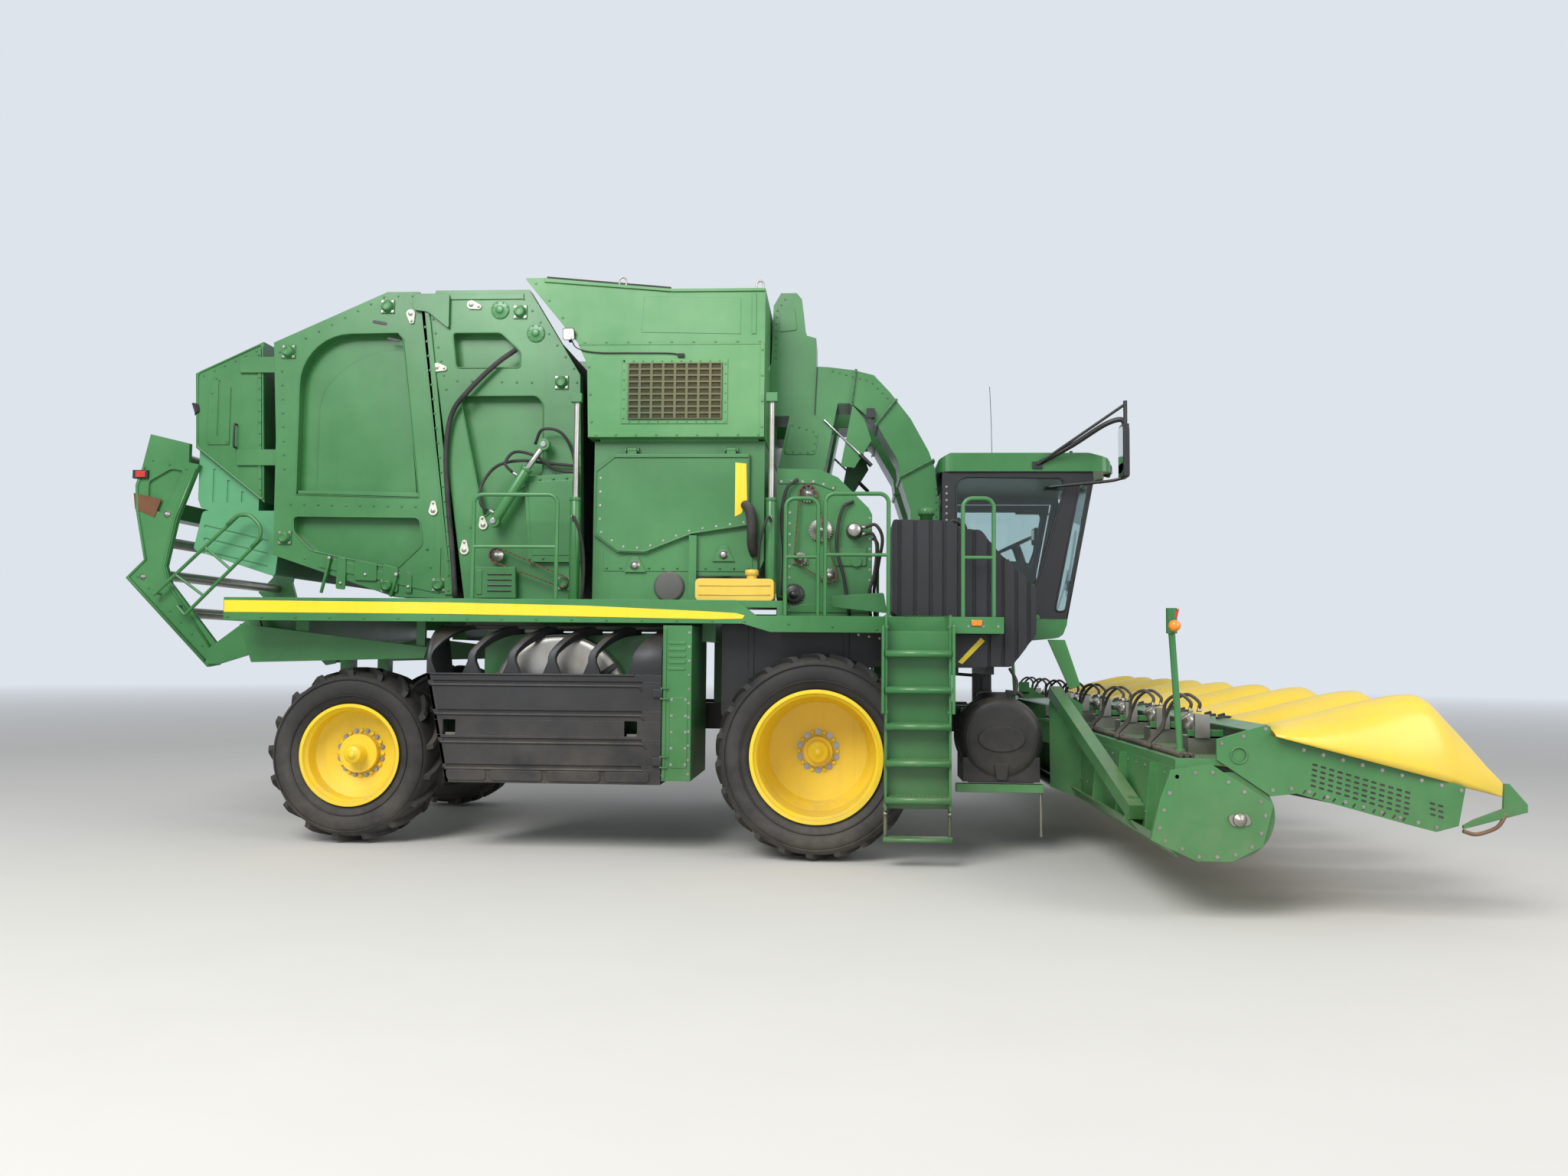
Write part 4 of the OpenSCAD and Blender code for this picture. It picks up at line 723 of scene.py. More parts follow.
def makeHub(name, body, values, side):
    x, z, y = values["axleX"], values["radius"], side * (values["disc"] + 0.005)
    rows = []
    for k in range(values["nuts"]):
        away = compass(360 * (k + 0.5) / values["nuts"]) * values["nutCircle"] / 2
        rows.append(((0, side, 0), [(x + away.x, y, z + away.z), (x + away.x * 1.001, y, z + away.z)]))
    boltPiece(name + "Nuts", body, rows, 1.0, values["nutRadius"])
    wide, out = values["cap"], values["capOut"]
    profile = [(wide + 0.03, 0.0), (wide + 0.03, 0.02), (wide, 0.026), (wide - 0.004, 0.08 + out),
               (wide - 0.02, 0.095 + out), (0.035, 0.1 + out), (0.03, 0.115 + out), (0.0, 0.117 + out)]
    makePiece(name + "HubCap", body, "yellowPaint", [
        (addLathe, profile, (x, side * values["disc"], z), (0, side, 0), 40)])


wheels = [(end, where, side) for end in wheelShapes for where, side in (("left", 1), ("right", -1))]
for end, where, side in wheels:
    values, wheel = wheelShapes[end], end + "_" + where
    foot = at(values["axleX"], side * (values["face"] - values["width"]), values["radius"])
    makePiece(end + where.capitalize() + "Tyre", wheel + "_wheel", "tyreRubber", tyreParts(values),
              replaced=[wheel + "_tyre"],
              place=Matrix.Translation(foot) @ Matrix.Rotation(-math.pi / 2 * side, 4, "X"))
for end, where, side in wheels:
    makeHub(end + where.capitalize(), end + "_" + where + "_wheel", wheelShapes[end], side)
print("wheels made")

# Row hoods: long pointed covers with a ridge, moulded in one skin
rowPitch = 1.016
rowHalf = (rowPitch - 0.150 - 0.130) / 2
motorRows = [(k - 3.5) * rowPitch for k in range(8)]
innerRows = [(k - 4) * rowPitch for k in range(1, 8)]
# x, share of the full width, height of the lower edge and of the crest
hoodSections = [
    (3.0, 1.0, 0.90, 1.276), (3.12, 0.985, 0.892, 1.30), (3.3, 0.97, 0.88, 1.34), (3.45, 0.955, 0.865, 1.382),
    (3.6, 0.94, 0.85, 1.42), (3.72, 0.925, 0.84, 1.448), (3.81, 0.91, 0.83, 1.468),
    (3.89, 0.885, 0.825, 1.479),
    (3.97, 0.86, 0.82, 1.482), (4.02, 0.83, 0.817, 1.472), (4.06, 0.80, 0.815, 1.45),
    (4.10, 0.755, 0.812, 1.415),
    (4.14, 0.70, 0.81, 1.37), (4.24, 0.53, 0.805, 1.262), (4.34, 0.36, 0.80, 1.15), (4.45, 0.2, 0.805, 1.02),
    (4.53, 0.09, 0.82, 0.935), (4.56, 0.03, 0.85, 0.90)]
hoodShape = {"steps": 30, "endHalf": 0.136, "endMiddle": 0.15, "ridge": 0.016, "groove": 0.010, "wall": 0.006}


# Rings are x, middle, crest, and the y and z of the left and the right edge
innerRings = [(x, 0.0, crest, (-rowHalf * part, low), (rowHalf * part,
                                                       low)) for x, part, low, crest in hoodSections]
endRings = []
for x, part, low, crest in hoodSections:
    edge, middle = 1.17 - (x - 3.19) * 0.26 / 1.02, hoodShape["endMiddle"]
    endRings.append((x, middle, max(crest, edge + 0.02), (middle + (-hoodShape["endHalf"] - middle) * part,
                                                          edge),
                     (middle + (rowHalf - middle) * part, edge)))


def addHood(shape, y, rings):
    steps, made = hoodShape["steps"], []
    for x, middle, top, leftEdge, rightEdge in rings:
        ring = []
        for k in range(steps + 1):
            t = 2 * k / steps - 1
            angle = math.pi / 2 * (1 - abs(t))
            side, base = leftEdge if t < 0 else rightEdge
            crease = math.exp(-(abs(t) / 0.07) ** 2)
            fluting = math.exp(-((abs(t) - 0.34) / 0.05) ** 2)
            size = min(1.0, max(0.0, (top - base) / 0.3))
            relief = size * (hoodShape["ridge"] * crease * 0.4 - hoodShape["groove"] * fluting)
            ring.append(shape.verts.new(at(x, y + middle + (side - middle) * math.cos(angle),
                                           base + (top - base) * math.sin(angle) + relief)))
        made.append(ring)
    for first, second in zip(made, made[1:]):
        for k in range(steps):
            addFace(shape, (first[k], first[k + 1], second[k + 1], second[k]), 0, True)
    addFace(shape, made[-1])


def makeHoods(name, parts, replaced=(), mirrored=False):
    piece = makePiece(name, "header", "yellowPlastic", parts, mirrored=mirrored, replaced=replaced)
    wall = piece.modifiers.new("wall", "SOLIDIFY")
    wall.thickness = hoodShape["wall"]
    wall.offset = -1


makeHoods("innerHoods", [(addHood, y, innerRings) for y in innerRows], ["row_hoods"])
makeHoods("endHoods", [(addHood, -4 * rowPitch, endRings)], mirrored=True)


# Slots in the end panels, pressed in rows
def makeRepeatTree():
    tree, inp, out = startGrowth("Pressed Slots", {"Slot": ("Object", None)})
    points = put(tree, "GeometryNodeMeshToPoints", {"Mesh": inp["Geometry"]}).outputs["Points"]
    return endGrowth(tree, inp, out, instances(tree, points, objectShape(tree, inp["Slot"])))


trees["repeat"] = makeRepeatTree()


def repeatPiece(name, body, finishName, part, places):
    one = link(meshOf(name + "One", [part]), name + "One")
    mesh = growMesh(name, trees["repeat"], {"Slot": one, "Finish": materials[finishName]},
                    [tuple(at(*place)) for place in places])
    bpy.data.objects.remove(one)
    placePiece(name, mesh, body)


def pill(length, height, tilt, steps=6):
    points = []
    for end, start in ((1, -90), (-1, 90)):
        for k in range(steps + 1):
            away = compass(start + 180 * k / steps) * height / 2
            points.append((end * (length - height) / 2 + away.x, away.z))
    return [(x * math.cos(tilt) - z * math.sin(tilt),
             x * math.sin(tilt) + z * math.cos(tilt)) for x, z in points]


def addSlot(shape, side, length, height, tilt, depth=0.002):
    rings = [[shape.verts.new((x, side * out, z)) for x, z in pill(length - inset, height - inset, tilt)]
             for inset, out in ((0, -depth), (0, depth), (0.005, depth), (0.005, depth * 0.25))]
    bridgeAll(shape, rings, 0, False, None)
    addFace(shape, rings[-1])
    addFace(shape, rings[0])


slotFace = 4.1241
for side, where in ((1, "Left"), (-1, "Right")):
    places = [(3.27 + 0.0525 * column - 0.0035 * row, side * slotFace,
               1.035 - 0.01515 * column - 0.0335 * row)
              for row in range(5) for column in range(12)]
    places += [(4.0 + 0.05 * column, side * slotFace, 0.80 - 0.035 * row - 0.014 * column)
               for row in range(3) for column in range(2)]
    repeatPiece("endSlots" + where, "header", "blackPaint", (addSlot, side, 0.034, 0.013, -0.28), places)
    repeatPiece("endSlantSlots" + where, "header", "blackPaint", (addSlot, side, 0.03, 0.01, 0.9),
                [(3.2 + 0.062 * k, side * slotFace, 0.862 - 0.0165 * k) for k in range(11)])

# Ends: tip plates with their runners, bearing caps, bolts, pole lamps and reflectors
makePiece("headerTips", "header", "greenPaint rustedSteel bareSteel blackPaint", [
    (addPlate, [(4.20, 0.66), (4.27, 0.70), (4.45, 0.77), (4.46, 0.93), (4.49, 0.93), (4.60, 0.80),
                (4.60, 0.75), (4.26, 0.655), (4.20, 0.64)], -4.105, -4.085),
    (addHose, [(4.47, -4.095, 0.74), (4.43, -4.095, 0.67), (4.38, -4.095, 0.635), (4.28, -4.095, 0.605),
               (4.2, -4.095, 0.625)], 0.013, 8, 1, 5),
    (addLathe, [(0.046, -0.02), (0.046, 0.004), (0.052, 0.01), (0.058, 0.004), (0.058, -0.005)],
     (2.79, -4.124, 1.09), rightward),
    (addLathe, [(0.0, -0.016), (0.046, -0.018)], (2.79, -4.124, 1.09), rightward, 24, 3),
    (addLathe, [(0.0, 0.03), (0.016, 0.028), (0.024, 0.014), (0.040, 0.010), (0.046, -0.005)],
     (2.78, -4.155, 0.68), rightward, 24, 2),
    (addPlate, [(2.70, 0.71), (2.73, 0.635), (2.86, 0.65), (2.83, 0.725)], -4.158, -4.144, 2, 0.04)],
          mirrored=True)
boltSides("headerEndBolts", "header", [
    (-4.124, [(2.68, 1.165), (2.96, 1.262)]), (-4.124, [(3.20, 1.13), (4.18, 0.885)]),
    (-4.124, [(3.0, 0.87), (3.15, 0.885), (3.86, 0.69), (4.02, 0.65)]),
    (-4.144, [(2.39, 0.95), (2.59, 0.995), (2.96, 0.77), (2.90, 0.53), (2.72, 0.44), (2.52, 0.44),
              (2.26, 0.56), (2.32, 0.80), (2.39, 0.95)])], 0.115, 0.0085, "bareSteel")
makePiece("poleLamps", "header", "amberLens redLens", [
    (addLathe, [(0.0, 0.0), (0.036, 0.004), (0.04, 0.02), (0.036, 0.05), (0.02, 0.065), (0.0, 0.068)],
     (2.431, -3.945, 1.93), rightward, 20),
    (addPlate, [(2.40, 1.98), (2.46, 1.98), (2.475, 2.05)], -3.93, -3.915, 1, 0.01)],
          mirrored=True)

# Row motors, their hoses and the latches behind the hoods
motorAxis = Matrix.Rotation(math.radians(-24), 3, "Y") @ Vector((-0.25, 0, 1))
motors, motorHoses = [], []
for y in motorRows:
    motors += [
        (addLathe, [(0.0, 0.0), (0.052, 0.0), (0.056, 0.01), (0.056, 0.105), (0.046, 0.112), (0.046, 0.15),
                    (0.05, 0.155), (0.05, 0.165), (0.0, 0.168)], (2.72, y + 0.05, 1.185), motorAxis),
        (addBeam, (2.70, y - 0.02, 1.215), (2.70, y + 0.12, 1.215), 0.13, 0.016, 0, (0.3, 0, 1)),
        (addBeam, (2.60, y - 0.09, 1.195), (2.84, y - 0.09, 1.195), 0.02, 0.06, 1)]
    for x, sway in ((2.66, 0.16), (2.72, 0.21)):
        motors.append((addLathe, [(0.0, 0.03), (0.013, 0.03), (0.013, 0.012), (0.019, 0.012),
                                  (0.019, -0.006)],
                       (x, y + 0.05, 1.345), upward, 8))
        motorHoses.append((addHose, [
            (x, y + 0.05, 1.36), (x, y + 0.05, 1.41), (x - 0.06, y + 0.05 + sway * 0.4, 1.46),
            (x - 0.13, y + 0.05 + sway, 1.39), (2.52, y + sway + 0.08, 1.22), (2.44, y + sway + 0.1, 1.12),
            (2.42, y + sway + 0.06, 1.075)], 0.0125))
motorHoses += [(addPipe, [(x, y, z) for y in (-4.0, -2.0, 0.0, 2.0, 4.0)], radius, 10)
               for x, z, radius in ((2.455, 1.078, 0.017), (2.495, 1.078, 0.017), (2.535, 1.074, 0.013))]
latches = []
for y in [row + side for row in innerRows for side in (-0.16, 0.16)]:
    latches += [(addBeam, (2.93, y, 1.285), (3.02, y, 1.295), 0.045, 0.02),
                (addBeam, (2.94, y, 1.30), (2.99, y, 1.315), 0.02, 0.02)]
latches += [(addBeam, (2.62, y + 0.28, 1.062), (2.62, y + 0.36, 1.062), 0.06, 0.02) for y in motorRows]
makePiece("rowMotors", "header", "bareSteel greenPaint", motors, bevel=0.003)
makePiece("rowMotorHoses", "header", "rubber", motorHoses)
makePiece("hoodLatches", "header", "blackPaint", latches, bevel=0.003)
boltPiece("headerRearBolts", "header", [((-1, 0, 0), [(2.384, y, 0.95) for y in (-4.1, 4.1)]),
                                        ((-1, 0, 0), [(2.384, y, 0.62) for y in (-4.1, 4.1)]),
                                        ((0, 0, 1), [(2.585, y, 1.061) for y in (-4.0, 4.0)])], 0.254, 0.008)
boltPiece("hoodBolts", "header", [(upward, [(3.06, y + dy, 1.2879), (3.0605, y + dy, 1.288)])
                                  for y in innerRows for dy in (-0.05, 0.05)], 1.0, 0.009, "blackPaint", 12)
print("header dressed")

# Yellow stripe along the deck's edge, ending in a point
makePiece("deckStripe", "chassis", "yellowPaint", [
    (addPlate, [(-5.185, 2.05), (-5.185, 2.155), (-3.2, 2.145), (-2.0, 2.125), (-1.0, 2.085), (-0.70, 2.07),
                (-0.62, 2.05), (-0.64, 2.02), (-0.9, 2.015), (-2.0, 2.03), (-3.2, 2.045)], -1.9525, -1.9495)],
          mirrored=True)


# Bearings and links on the round module builder
def pearOutline(high, low, highRadius, lowRadius, steps=8):
    turn = math.degrees(math.atan2(low[1] - high[1], low[0] - high[0]))
    points = []
    for (x, z), radius, start in ((high, highRadius, 90), (low, lowRadius, -90)):
        for k in range(steps + 1):
            away = compass(turn + start + 180 * k / steps) * radius
            points.append((x + away.x, z + away.z))
    return points


bearingPlaces = {
    "gate": [(-4.03, 4.92), (-4.96, 4.50), (-4.94, 2.76), (-3.96, 2.32), (-3.48, 2.33)],
    "chassis": [(-3.08, 2.33), (-2.32, 2.35), (-2.38, 4.20), (-2.78, 4.86)],
}
linkPlates = {
    "gate": [((-3.81, 4.85), (-3.80, 4.78)), ((-3.55, 3.01), (-3.55, 3.08))],
    "chassis": [((-3.55, 4.345), (-3.48, 4.335)), ((-3.25, 2.65), (-3.25, 2.72)),
                ((-3.24, 4.93), (-3.17, 4.91)), ((-3.08, 2.88), (-3.09, 2.94))],
}
for body, places in bearingPlaces.items():
    parts, rows = [], []
    for x, z in places:
        parts += [
            (addLathe, [(0.058, 0.0), (0.056, 0.012), (0.045, 0.02), (0.042, 0.038), (0.03, 0.042),
                        (0.028, 0.034)],
             (x, -1.394, z), rightward, 28),
            (addLathe, [(0.028, 0.03), (0.018, 0.034), (0.016, 0.028), (0.0, 0.028)], (x, -1.394, z),
             rightward, 20, 1)]
        rows += [(-1.394, oneBolt(x + dx, z + dz))
                 for dx, dz in ((-0.046, -0.046), (0.046, -0.046), (0.046, 0.046), (-0.046, 0.046))]
    makePiece(body + "Bearings", body, "greenPaint castGrey", parts, mirrored=True)
    boltSides(body + "BearingBolts", body, rows, 1.0, 0.0085, "bareSteel")
for body, places in linkPlates.items():
    parts = []
    for big, small in places:
        parts.append((addPlate, pearOutline(big, small, 0.042, 0.024), -1.397, -1.381))
        parts += [(addLathe, [(0.0, 0.014), (radius * 0.55, 0.014), (radius * 0.6, 0.006), (radius, 0.005),
                              (radius, -0.002)], (end[0], -1.397, end[1]), rightward, 16, 1)
                  for end, radius in ((big, 0.022), (small, 0.012))]
    makePiece(body + "Links", body, "paleLink bareSteel", parts, 0.002, True)

# Gate: edge flange, corner plate, levers, latch levers and plates, slots, rims round the windows, inner sheet
face = -1.38
gateParts = [
    (addPlate, [(-3.72, 4.98), (-3.69, 4.98), (-3.445, 2.76), (-3.42, 2.24), (-3.35, 2.24), (-3.36, 2.76),
                (-3.62, 4.78), (-3.66, 4.98)], face - 0.022, face + 0.001),
    (addPlate, [(-3.47, 2.68), (-3.47, 2.25), (-4.62, 2.49), (-4.48, 2.57), (-3.9, 2.42)], face - 0.010,
     face + 0.001, 0, 0.02)]
for path in ([(-4.50, 2.57), (-4.53, 2.42), (-4.57, 2.25)], [(-3.87, 2.42), (-3.89, 2.32), (-3.92, 2.22)]):
    gateParts += [(addPipe, [(x, face - 0.03, z) for x, z in path], 0.016),
                  (addLathe, [(0.0, 0.03), (0.016, 0.03), (0.02, 0.02), (0.02, -0.01)],
                   (path[0][0], face - 0.02, path[0][1]), rightward, 12, 1)]
for low, high, head, foot in ((-4.44, -4.35, 2.60, 2.29), (-4.27, -4.06, 2.56, 2.37),
                              (-4.01, -3.86, 2.52, 2.27), (-3.79, -3.73, 2.46, 2.26)):
    gateParts += [(addPlate, [(low, foot), (high, foot - 0.01), (high, head - 0.04), (low + 0.01, head)],
                   face - 0.022, face - 0.012, 0, 0.02),
                  (addLathe, [(0.0, 0.012), (0.012, 0.012), (0.012, 0.0), (0.018, -0.001)],
                   ((low + high) / 2, face - 0.022, foot + 0.05), rightward, 8, 1)]
windowRim = [(-4.85, 3.16)] + [(-4.37 + 0.48 * compass(a).x,
                                4.19 + 0.48 * compass(a).z) for a in range(180, 85, -10)]
windowRim += [(-3.93, 4.675), (-3.88, 4.62), (-3.69, 3.13)]
lowRim = [(-3.68, 2.95), (-4.87, 2.96), (-4.86, 2.81), (-4.69, 2.64), (-3.88, 2.47), (-3.64, 2.70)]
gateParts += [
    (addPlate, pearOutline((-4.16, 4.78), (-4.05, 4.76), 0.015, 0.015, 5), face - 0.003, face + 0.001, 2),
    (addPlate, pearOutline((-4.02, 4.62), (-3.92, 4.60), 0.012, 0.012, 5), face - 0.003, face + 0.001, 2),
    (addRim, windowRim, face - 0.003, 0.007), (addRim, roundCorners(lowRim, 0.05), face - 0.003, 0.007),
    (addPlate, [(-4.69, 3.18), (-4.69, 3.99), (-4.64, 4.17), (-4.50, 4.33), (-4.32, 4.45), (-4.10, 4.53),
                (-3.90, 4.53), (-3.86, 4.3), (-3.745, 3.18)], face + 0.085, face + 0.095),
    (addPlate, [(-4.84, 3.17), (-4.84, 3.20), (-3.70, 3.18), (-3.70, 3.14)], face + 0.01, face + 0.1)]
makePiece("gateTrim", "gate", "greenPaint bareSteel blackPaint", gateParts, bevel=0.002, mirrored=True)

# Fixed half: rims, covers with their louvres, round covers and the top flange
roundCovers = [(-2.97, 4.88), (-2.63, 4.66)]
frontParts = [(addRim, roundCorners(window, 0.035), face - 0.003, 0.007) for window in
              ([(-3.41, 4.67), (-2.96, 4.67), (-2.77, 4.49), (-2.77, 4.34), (-3.37, 4.34)],
               [(-3.33, 4.08), (-2.61, 4.08), (-2.55, 4.01), (-2.54, 3.37), (-3.08, 2.95)])]
frontParts += [(addPlate, outline, face - out, face - back) for outline, out, back in (
    ([(-2.70, 3.32), (-2.20, 3.35), (-2.165, 2.54), (-2.64, 2.54)], 0.06, -0.001),
    ([(-2.66, 3.27), (-2.25, 3.29), (-2.22, 2.60), (-2.61, 2.60)], 0.066, 0.058),
    ([(-3.12, 2.49), (-2.75, 2.49), (-2.74, 2.21), (-3.11, 2.21)], 0.10, 0.05),
    ([(-3.10, 2.46), (-3.05, 2.46), (-3.05, 2.24), (-3.10, 2.24)], 0.11, 0.09))]
frontParts += [(addPlate, [(-3.0, z), (-2.78, z), (-2.78, z - 0.015), (-3.0, z - 0.015)], face - 0.105,
                face - 0.098, 2)
               for z in (2.43, 2.38, 2.33, 2.28)]
frontParts += [(addLathe, [(0.0, 0.03), (0.03, 0.028), (0.034, 0.016), (0.06, 0.012), (0.085, 0.01),
                           (0.085, -0.004)],
                (x, face, z), rightward, 28) for x, z in roundCovers]
frontParts.append((addPlate, [(-3.60, 4.98), (-2.75, 4.98), (-2.75, 5.03), (-3.58, 5.03)], face - 0.012,
                   face + 0.001))
makePiece("frontTrim", "chassis", "greenPaint castGrey blackPaint", frontParts, bevel=0.002, mirrored=True)
roundBolts = []
for x, z in roundCovers:
    for degrees in range(0, 360, 45):
        away = compass(degrees + 22.5) * 0.072
        roundBolts.append((-1.39, oneBolt(x + away.x, z + away.z)))
boltSides("gateBolts", "gate", [
    (face, [(-5.05, 4.50), (-4.06, 5.02), (-3.80, 5.02)]), (face, [(-5.03, 4.45), (-4.97, 3.4)]),
    (-1.402, [(-3.665, 4.72), (-3.40, 2.78), (-3.385, 2.28)]), (face, [(-4.90, 3.07), (-3.72, 3.05)]),
    (-1.39, [(-3.60, 2.66), (-3.52, 2.32)]), (face, [(-4.9, 2.70), (-4.75, 2.57)])], 0.13, 0.008)
boltSides("frontFrameBolts", "chassis", [
    (face, [(-3.60, 4.80), (-3.46, 4.14)]), (face, [(-2.75, 4.98), (-2.27, 4.33)]),
    (face, [(-2.24, 4.2), (-2.20, 3.42)]), (-1.446, [(-2.67, 3.29), (-2.24, 3.31), (-2.2, 2.58),
                                                     (-2.63, 2.57)]),
    (face, [(-3.36, 4.22), (-2.66, 4.20)]), (face, [(-3.2, 2.86), (-2.72, 3.14)])], 0.12, 0.008)
boltSides("frontRoundBolts", "chassis", roundBolts, 1.0, 0.007)

# Gate cylinder, its hoses, the belt's slack over the top roller, and the chain wheel
foot, neck, head = at(-2.94, -1.52, 2.90), at(-2.66, -1.52, 3.36), at(-2.50, -1.50, 3.60)
cylinder = [(addRod, foot, neck, 0.05, 28), (addRod, neck, neck + (neck - foot).normalized() * 0.03, 0.056,
                                             28),
            (addRod, neck, head, 0.027, 20, 1)]
for end in (foot, head):
    cylinder += [(addRod, end + Vector((0, -0.05, 0)), end + Vector((0, 0.125, 0)), 0.026, 20, 1),
                 (addRod, end + Vector((0, -0.035, 0)), end + Vector((0, 0.035, 0)), 0.055, 24)]
for port in (foot.lerp(neck, 0.12), foot.lerp(neck, 0.86)):
    cylinder.append((addRod, port + Vector((-0.03, -0.03, 0.02)), port + Vector((-0.065, -0.055, 0.04)),
                     0.017, 12, 1))
makePiece("gateCylinders", "chassis", "greenPaint chromeRod", cylinder, bevel=0.003, mirrored=True)
makePiece("gateHoses", "chassis", "rubber", [(addHose, run, radius, 10) for radius, run in (
    (0.014, [(-2.99, -1.57, 2.99), (-3.05, -1.58, 3.06), (-3.05, -1.56, 3.22), (-2.93, -1.52, 3.40),
             (-2.72, -1.48, 3.46), (-2.48, -1.44, 3.44), (-2.22, -1.43, 3.42)]),
    (0.014, [(-2.77, -1.57, 3.34), (-2.83, -1.58, 3.42), (-2.76, -1.53, 3.53), (-2.58, -1.49, 3.50),
             (-2.40, -1.45, 3.38), (-2.2, -1.43, 3.36)]),
    (0.014, [(-2.60, -1.44, 3.62), (-2.52, -1.50, 3.74), (-2.36, -1.48, 3.72), (-2.26, -1.44, 3.56),
             (-2.21, -1.43, 3.3)]),
    (0.023, [(-2.80, -1.42, 4.50), (-2.98, -1.44, 4.36), (-3.22, -1.45, 4.12), (-3.38, -1.44, 3.90),
             (-3.43, -1.43, 3.55), (-3.40, -1.43, 3.1), (-3.35, -1.43, 2.65), (-3.31, -1.43, 2.22)]))],
          mirrored=True)
makePiece("beltLoop", "chassis", "rubber",
          [(addPlate, [(-3.42, 4.97), (-3.27, 5.095), (-3.18, 5.09), (-3.04, 4.97)], -1.2, 1.2, 0, 0.02)])
makePiece("chainWheels", "chassis", "bareSteel", [
    (addLathe, [(0.0, 0.028), (0.02, 0.028), (0.024, 0.014), (0.062, 0.01), (0.066, 0.0), (0.062, -0.01),
                (0.02, -0.014), (0.0, -0.014)], (-2.93, -1.45, 2.60), rightward, 36),
    (addRod, (-2.93, -1.45, 2.60), (-2.93, -1.375, 2.60), 0.02)], mirrored=True)


# Chains: links follow a closed loop round their wheels
def makeChainTree():
    tree, inp, out = startGrowth("Roller Chain", {"Pitch": ("Float", 0.03), "Thickness": ("Float", 0.012),
                                                  "Width": ("Float", 0.026)})
    points = pointsAlong(tree, inp)
    size = put(tree, "ShaderNodeCombineXYZ", {"X": inp["Width"], "Y": inp["Thickness"],
                                              "Z": inp["Pitch"]}).outputs[0]
    block = put(tree, "GeometryNodeMeshCube", {"Size": size}).outputs["Mesh"]
    narrow = put(tree, "GeometryNodeTransform", {"Geometry": block,
                                                 "Scale": (0.55, 0.7, 0.92)}).outputs["Geometry"]
    odd = calculate(tree, "MODULO", put(tree, "GeometryNodeInputIndex").outputs["Index"], 2.0)
    halves = [instances(tree, points["Points"], thing, Selection=chosen, Rotation=points["Rotation"])
              for thing, chosen in ((block, odd), (narrow, calculate(tree, "SUBTRACT", 1.0, odd)))]
    return endGrowth(tree, inp, out, joined(tree, *halves))


trees["chain"] = makeChainTree()


def chainLoop(wheels, y, steps=10):
    # wheels are (x, z, radius), listed clockwise seen from the right side
    loop = []
    for k, (x, z, radius) in enumerate(wheels):
        angles = []
        for other, sign in ((wheels[k - 1], 1), (wheels[(k + 1) % len(wheels)], -1)):
            away = math.atan2(other[1] - z, other[0] - x)
            reach = math.dist((x, z), other[:2])
            angles.append(away - sign * math.acos(max(-1, min(1, (radius - other[2]) / reach))))
        start, end = angles
        while end > start:
            end -= 2 * math.pi
        for n in range(steps + 1):
            angle = start + (end - start) * n / steps
            loop.append(tuple(at(x + radius * math.cos(angle), y, z + radius * math.sin(angle))))
    return loop


chainShape = {"Pitch": 0.024, "Thickness": 0.014, "Width": 0.022, "Finish": materials["brownChain"]}


def chainPiece(name, wheels, y):
    loop = chainLoop(wheels, y)
    edges = [(k, (k + 1) % len(loop)) for k in range(len(loop))]
    mesh = growMesh(name, trees["chain"], chainShape, loop, edges)
    placePiece(name, mesh, "chassis")


chainPiece("lowChain", [(-2.93, 2.60, 0.066), (-2.32, 2.36, 0.05)], -1.462)

# Cleaner drive: wheels with their teeth, plates, motor and a gear; hoses, trim and chain
# Wheels as x, z and radius
cleanerWheels = [(0.01, 2.84, 0.10), (-0.11, 3.17, 0.075), (-0.17, 2.58, 0.055), (0.09, 2.43, 0.06)]
drive = {"y": -1.443, "teethPerMetre": 260, "tooth": 0.010, "motor": (0.31, -1.40, 2.83),
         "gear": (-0.23, -1.41, 2.26), "gearTeeth": 22, "portX": (0.37, 0.41)}


def addTeeth(shape, centre, radius, count, near, far, width, height, slot=0):
    for k in range(count):
        point = at(*centre) + compass(360 * k / count) * radius
        addBeam(shape, point + Vector((0, near, 0)), point + Vector((0, far, 0)), width, height, slot)


